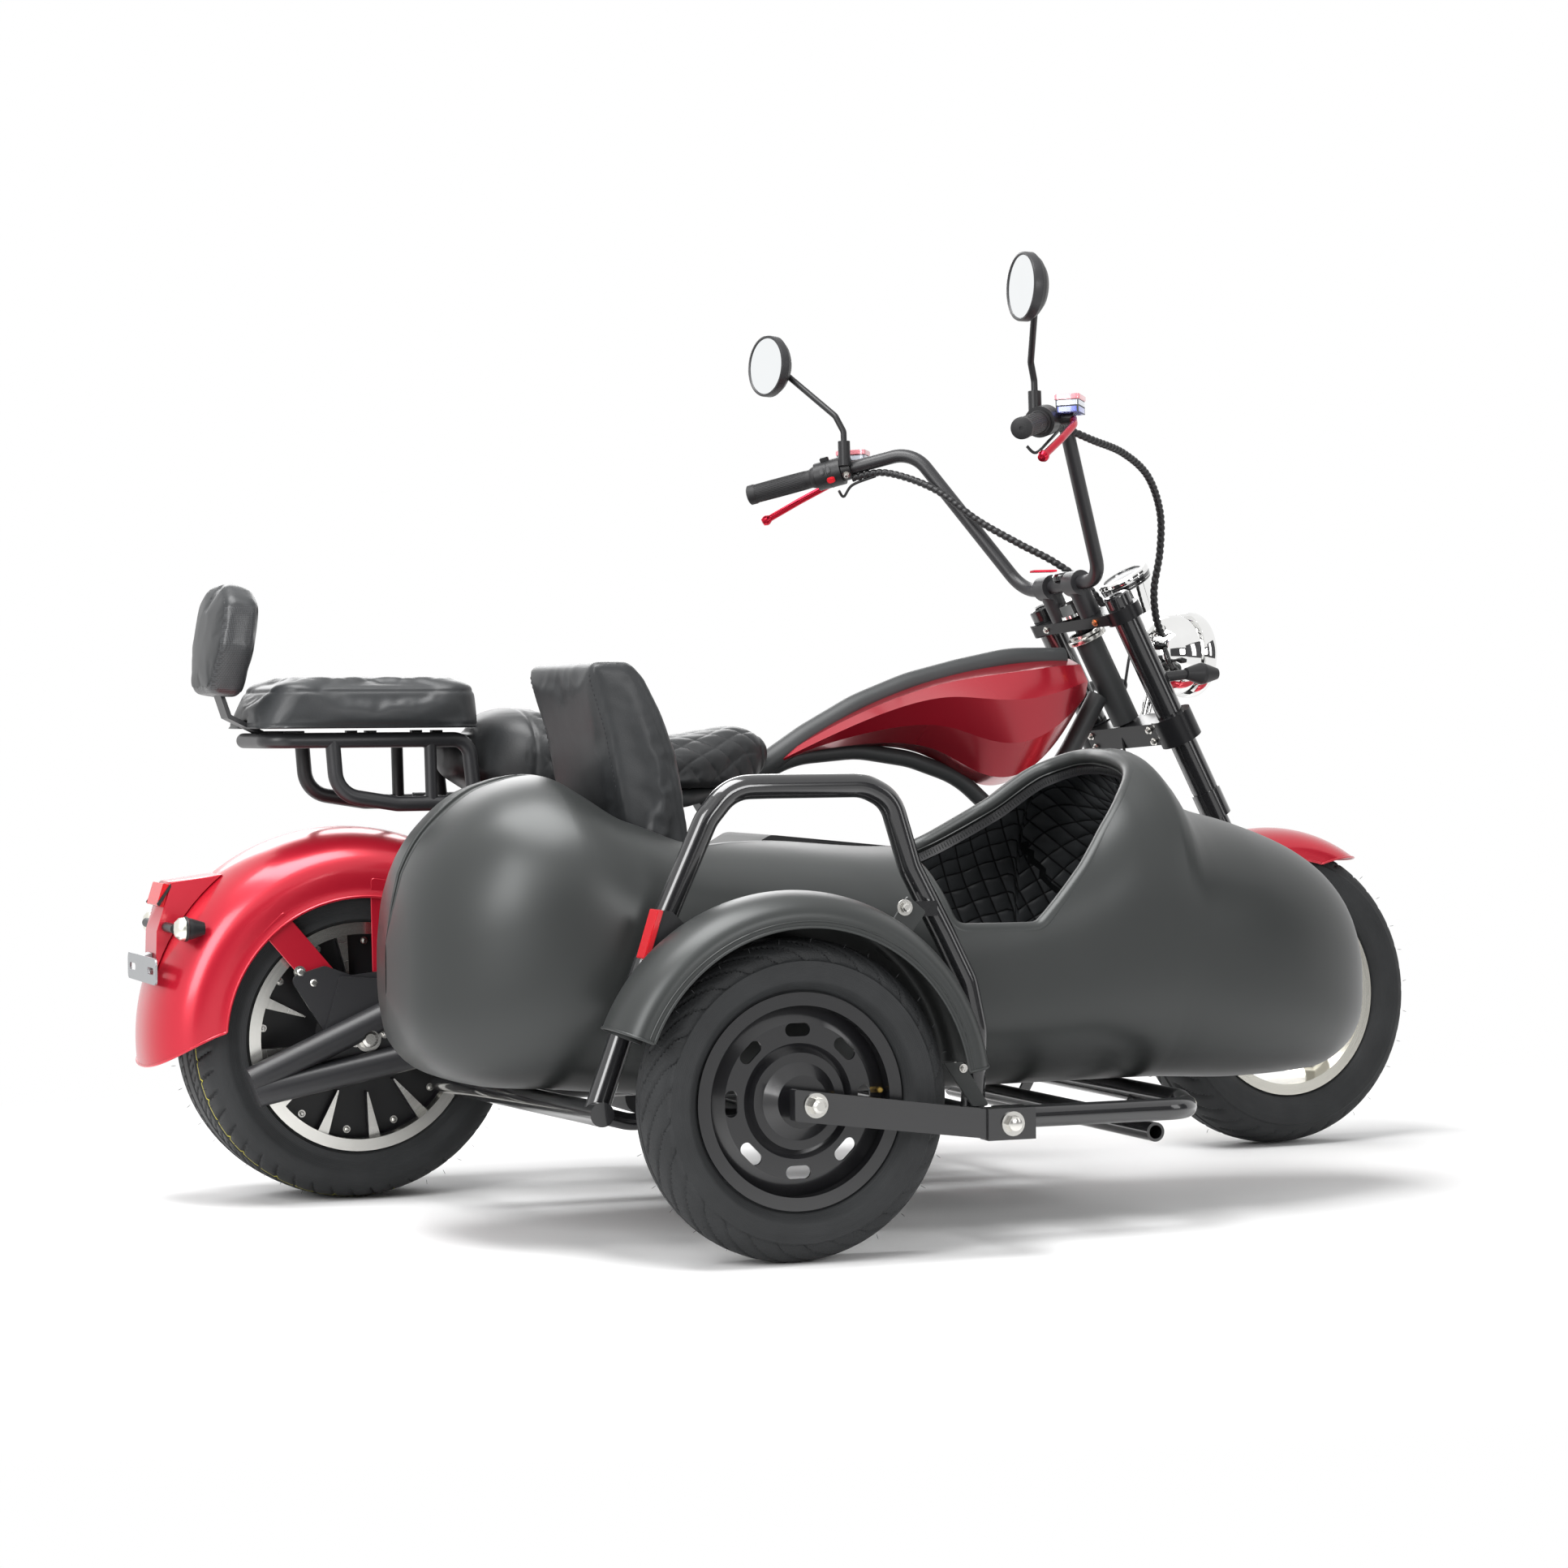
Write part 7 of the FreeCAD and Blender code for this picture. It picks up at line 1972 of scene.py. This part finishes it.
class CruiserHeadOperator(bpy.types.Operator):
    """Finish the steering head: gauge, headlamp rim, fork caps, lock and key"""

    bl_idname = "cruiser.head"
    bl_label = "Steering head"

    def round_piece(self, name, finish_name, profile, foot, way, steps=64):
        """A turned part from its outline in millimetres."""
        Solid().spin(profile, foot, way, steps).make(name, finish_name, STEERING, parked=True)

    def execute(self, context):
        way = Vector((-0.5, 0, 0.87)).normalized()
        base = at(1320, 0, 872)
        self.round_piece("gauge_ring", "chrome",
                         [(33, 51.6), (33, 55.6), (36, 57.4), (40, 57), (43, 54), (43.4, 50.6),
                          (42.3, 49), (33, 51.6)], base, way)
        self.round_piece("gauge_glass", "gauge_face",
                         [(0, 55.2), (16, 54.8), (33.4, 53.2), (33.4, 51.9), (0, 51.9)],
                         base, way)
        self.round_piece("gauge_band", "gloss_black",
                         [(40.2, 36), (41.4, 37), (42.9, 46), (42, 47), (39.2, 47),
                          (36.5, 36), (40.2, 36)], base, way)
        lamp = at(1398, 0, 793)
        self.round_piece("headlamp_rim", "chrome",
                         [(60.6, 22.1), (60.6, 25), (63, 27.6), (66.4, 26.4), (68.6, 22),
                          (69, 8), (67.4, 5), (66, 8), (66, 21.9), (60.6, 22.1)], lamp,
                         Vector((1, 0, 0)), 72)
        for side, name in SIDES:
            top = on_steering(870, 12, 110 * side)
            self.round_piece("fork_cap_" + name, "gloss_black",
                             [(0, 0.2), (11, 0.2), (11, 2.2), (17, 3.4), (20.4, 1.6),
                              (20.6, 0.1), (0, 0.1)], top, STEER_UP, 40)
        self.round_piece("head_lock_ring", "zinc",
                         [(22, 0), (31, 0), (31.5, 0.8), (31.5, 6.4), (29, 8), (26, 8.2), (26, 13),
                          (22, 13), (22, 0)], on_steering(818, 0, 0), STEER_UP, 48)
        self.round_piece("lock_dome", "gloss_black",
                         [(0, 0), (15, 0), (15, 7), (12, 10.5), (6, 12), (0, 12.3)],
                         at(1176, -4, 911), Vector((-0.2, 0, 1)).normalized(), 40)
        key = rounded_line([(1120, 921.5), (1163, 923), (1163, 926.5), (1120, 925)], 0.8)
        solid = Solid().prism([at(x, -11, z) for x, z in key], (0, 13 * MM, 0))
        solid.make("key", "anodised_red", STEERING, parked=True, bevel=0.0005)
        return {"FINISHED"}


class CruiserLampsOperator(bpy.types.Operator):
    """Fit the lenses and rings of the rear turn lamps, the reflector's lens and the tail lamp's side frames
    """

    bl_idname = "cruiser.lamps"
    bl_label = "Lenses"

    def execute(self, context):
        for side, name in SIDES:
            foot = at(-274, 105 * side, 402)
            cup = [(0, -0.3), (10.2, 1.8), (16.2, 7.8), (17.2, 15.8), (17.0, 18), (0, 18)]
            lens = Solid().spin(cup, foot, Vector((1, 0, 0)), 32)
            lens.make("turn_lens_rear_" + name, "brushed_ring", BODY)
            band = [(17.2, 15), (18, 15.4), (18, 19), (17.0, 20), (15.6, 20), (17.2, 15)]
            ring = Solid().spin(band, foot, Vector((1, 0, 0)), 32)
            ring.make("turn_ring_rear_" + name, "black_plastic", BODY)
        red = [(163.5, 391), (183, 453.5), (191, 451.5), (171, 387.5)]
        outline = [at(x, -869, z) for x, z in rounded_line(red, 2.5)]
        Solid().prism(outline, (0, 31 * MM, 0)).make("reflector_lens", "red_gloss", BODY, bevel=0.0012)
        frame_line = [(-263.0, 464.4), (-283.6, 435.2), (-280, 431.6), (-262.6, 459)]
        for name, y in (("right", -39.2), ("left", 35.2)):
            solid = Solid().prism([at(x, y, z) for x, z in frame_line], (0, 4 * MM, 0))
            solid.make("tail_lamp_side_" + name, "black_plastic", BODY, bevel=0.0006)
        return {"FINISHED"}


HAIRS = {REAR_WHEEL: ((0, 0, 239), 236.0, 92.0, 96), SIDE_WHEEL: ((347, -913, 208), 203.0, 34.0, 60),
         FRONT_WHEEL: ((1550, 0, 244), 240.0, 44.0, 60)}


class CruiserHairsOperator(bpy.types.Operator):
    """Leave the fine moulding hairs on the tyres' shoulders"""

    bl_idname = "cruiser.hairs"
    bl_label = "Tyre hairs"

    def execute(self, context):
        chance = np.random.default_rng(11)
        for body, (hub, radius, half, count) in HAIRS.items():
            lines = []
            for i in range(count):
                turn = math.tau * (i + 0.6 * chance.random()) / count
                if math.sin(turn) < -0.93:
                    continue
                side = half * (1 if i % 2 else -1) + 4 * chance.random()
                out = Vector((math.cos(turn), 0.25 * side / half, math.sin(turn))).normalized()
                lean = Vector((chance.random() - 0.5, 0.4 * (chance.random() - 0.5), chance.random() - 0.5))
                way = (out + lean * 0.8).normalized()
                foot = at(hub[0], hub[1] + side, hub[2])
                foot += Vector((math.cos(turn), 0, math.sin(turn))) * radius * MM
                lines.append((foot + way * 0.0028, way, Vector((0, 1, 0))))
            pegs("hairs_" + body, lines, (0.00035, 0.00035, 0.0075), body, "thread",
                 parked=body == FRONT_WHEEL)
        return {"FINISHED"}


OPERATORS = [CruiserFinishesOperator, CruiserStageOperator, CruiserTyresOperator, CruiserTubOperator,
             CruiserLiningOperator, CruiserFendersOperator, CruiserSaddleOperator, CruiserPadsOperator,
             CruiserSeatOperator, CruiserFastenersOperator, CruiserControlsOperator, CruiserCablesOperator,
             CruiserHeadOperator, CruiserLampsOperator, CruiserHairsOperator]
SETTINGS = {"cruiser_paint": CruiserPaint, "cruiser_upholstery": CruiserUpholstery,
            "cruiser_wheels": CruiserWheels, "cruiser_stage": CruiserStage}


class CruiserPanel(bpy.types.Panel):
    """Lists the vehicle's settings and the steps that build its pieces"""

    bl_idname = "VIEW3D_PT_cruiser"
    bl_label = "Cruiser with sidecar"
    bl_space_type = "VIEW_3D"
    bl_region_type = "UI"
    bl_category = "Cruiser"

    def draw(self, context):
        for name, kind in SETTINGS.items():
            box = self.layout.box()
            box.label(text=kind.__doc__)
            for key in kind.__annotations__:
                box.prop(getattr(context.scene, name), key)
        for step in OPERATORS:
            self.layout.operator(step.bl_idname)


def register():
    """Add the settings, the steps and the panel."""
    for kind in [*SETTINGS.values(), *OPERATORS, CruiserPanel]:
        bpy.utils.register_class(kind)
    for name, kind in SETTINGS.items():
        setattr(bpy.types.Scene, name, bpy.props.PointerProperty(type=kind))


def unregister():
    """Take away what register added."""
    for name in SETTINGS:
        delattr(bpy.types.Scene, name)
    for kind in [CruiserPanel, *reversed(OPERATORS), *SETTINGS.values()]:
        bpy.utils.unregister_class(kind)


def main():
    """Build everything: add the settings and run every step."""
    register()
    for step in OPERATORS:
        area, name = step.bl_idname.split(".")
        getattr(getattr(bpy.ops, area), name)()


if __name__ == "__main__":
    main()
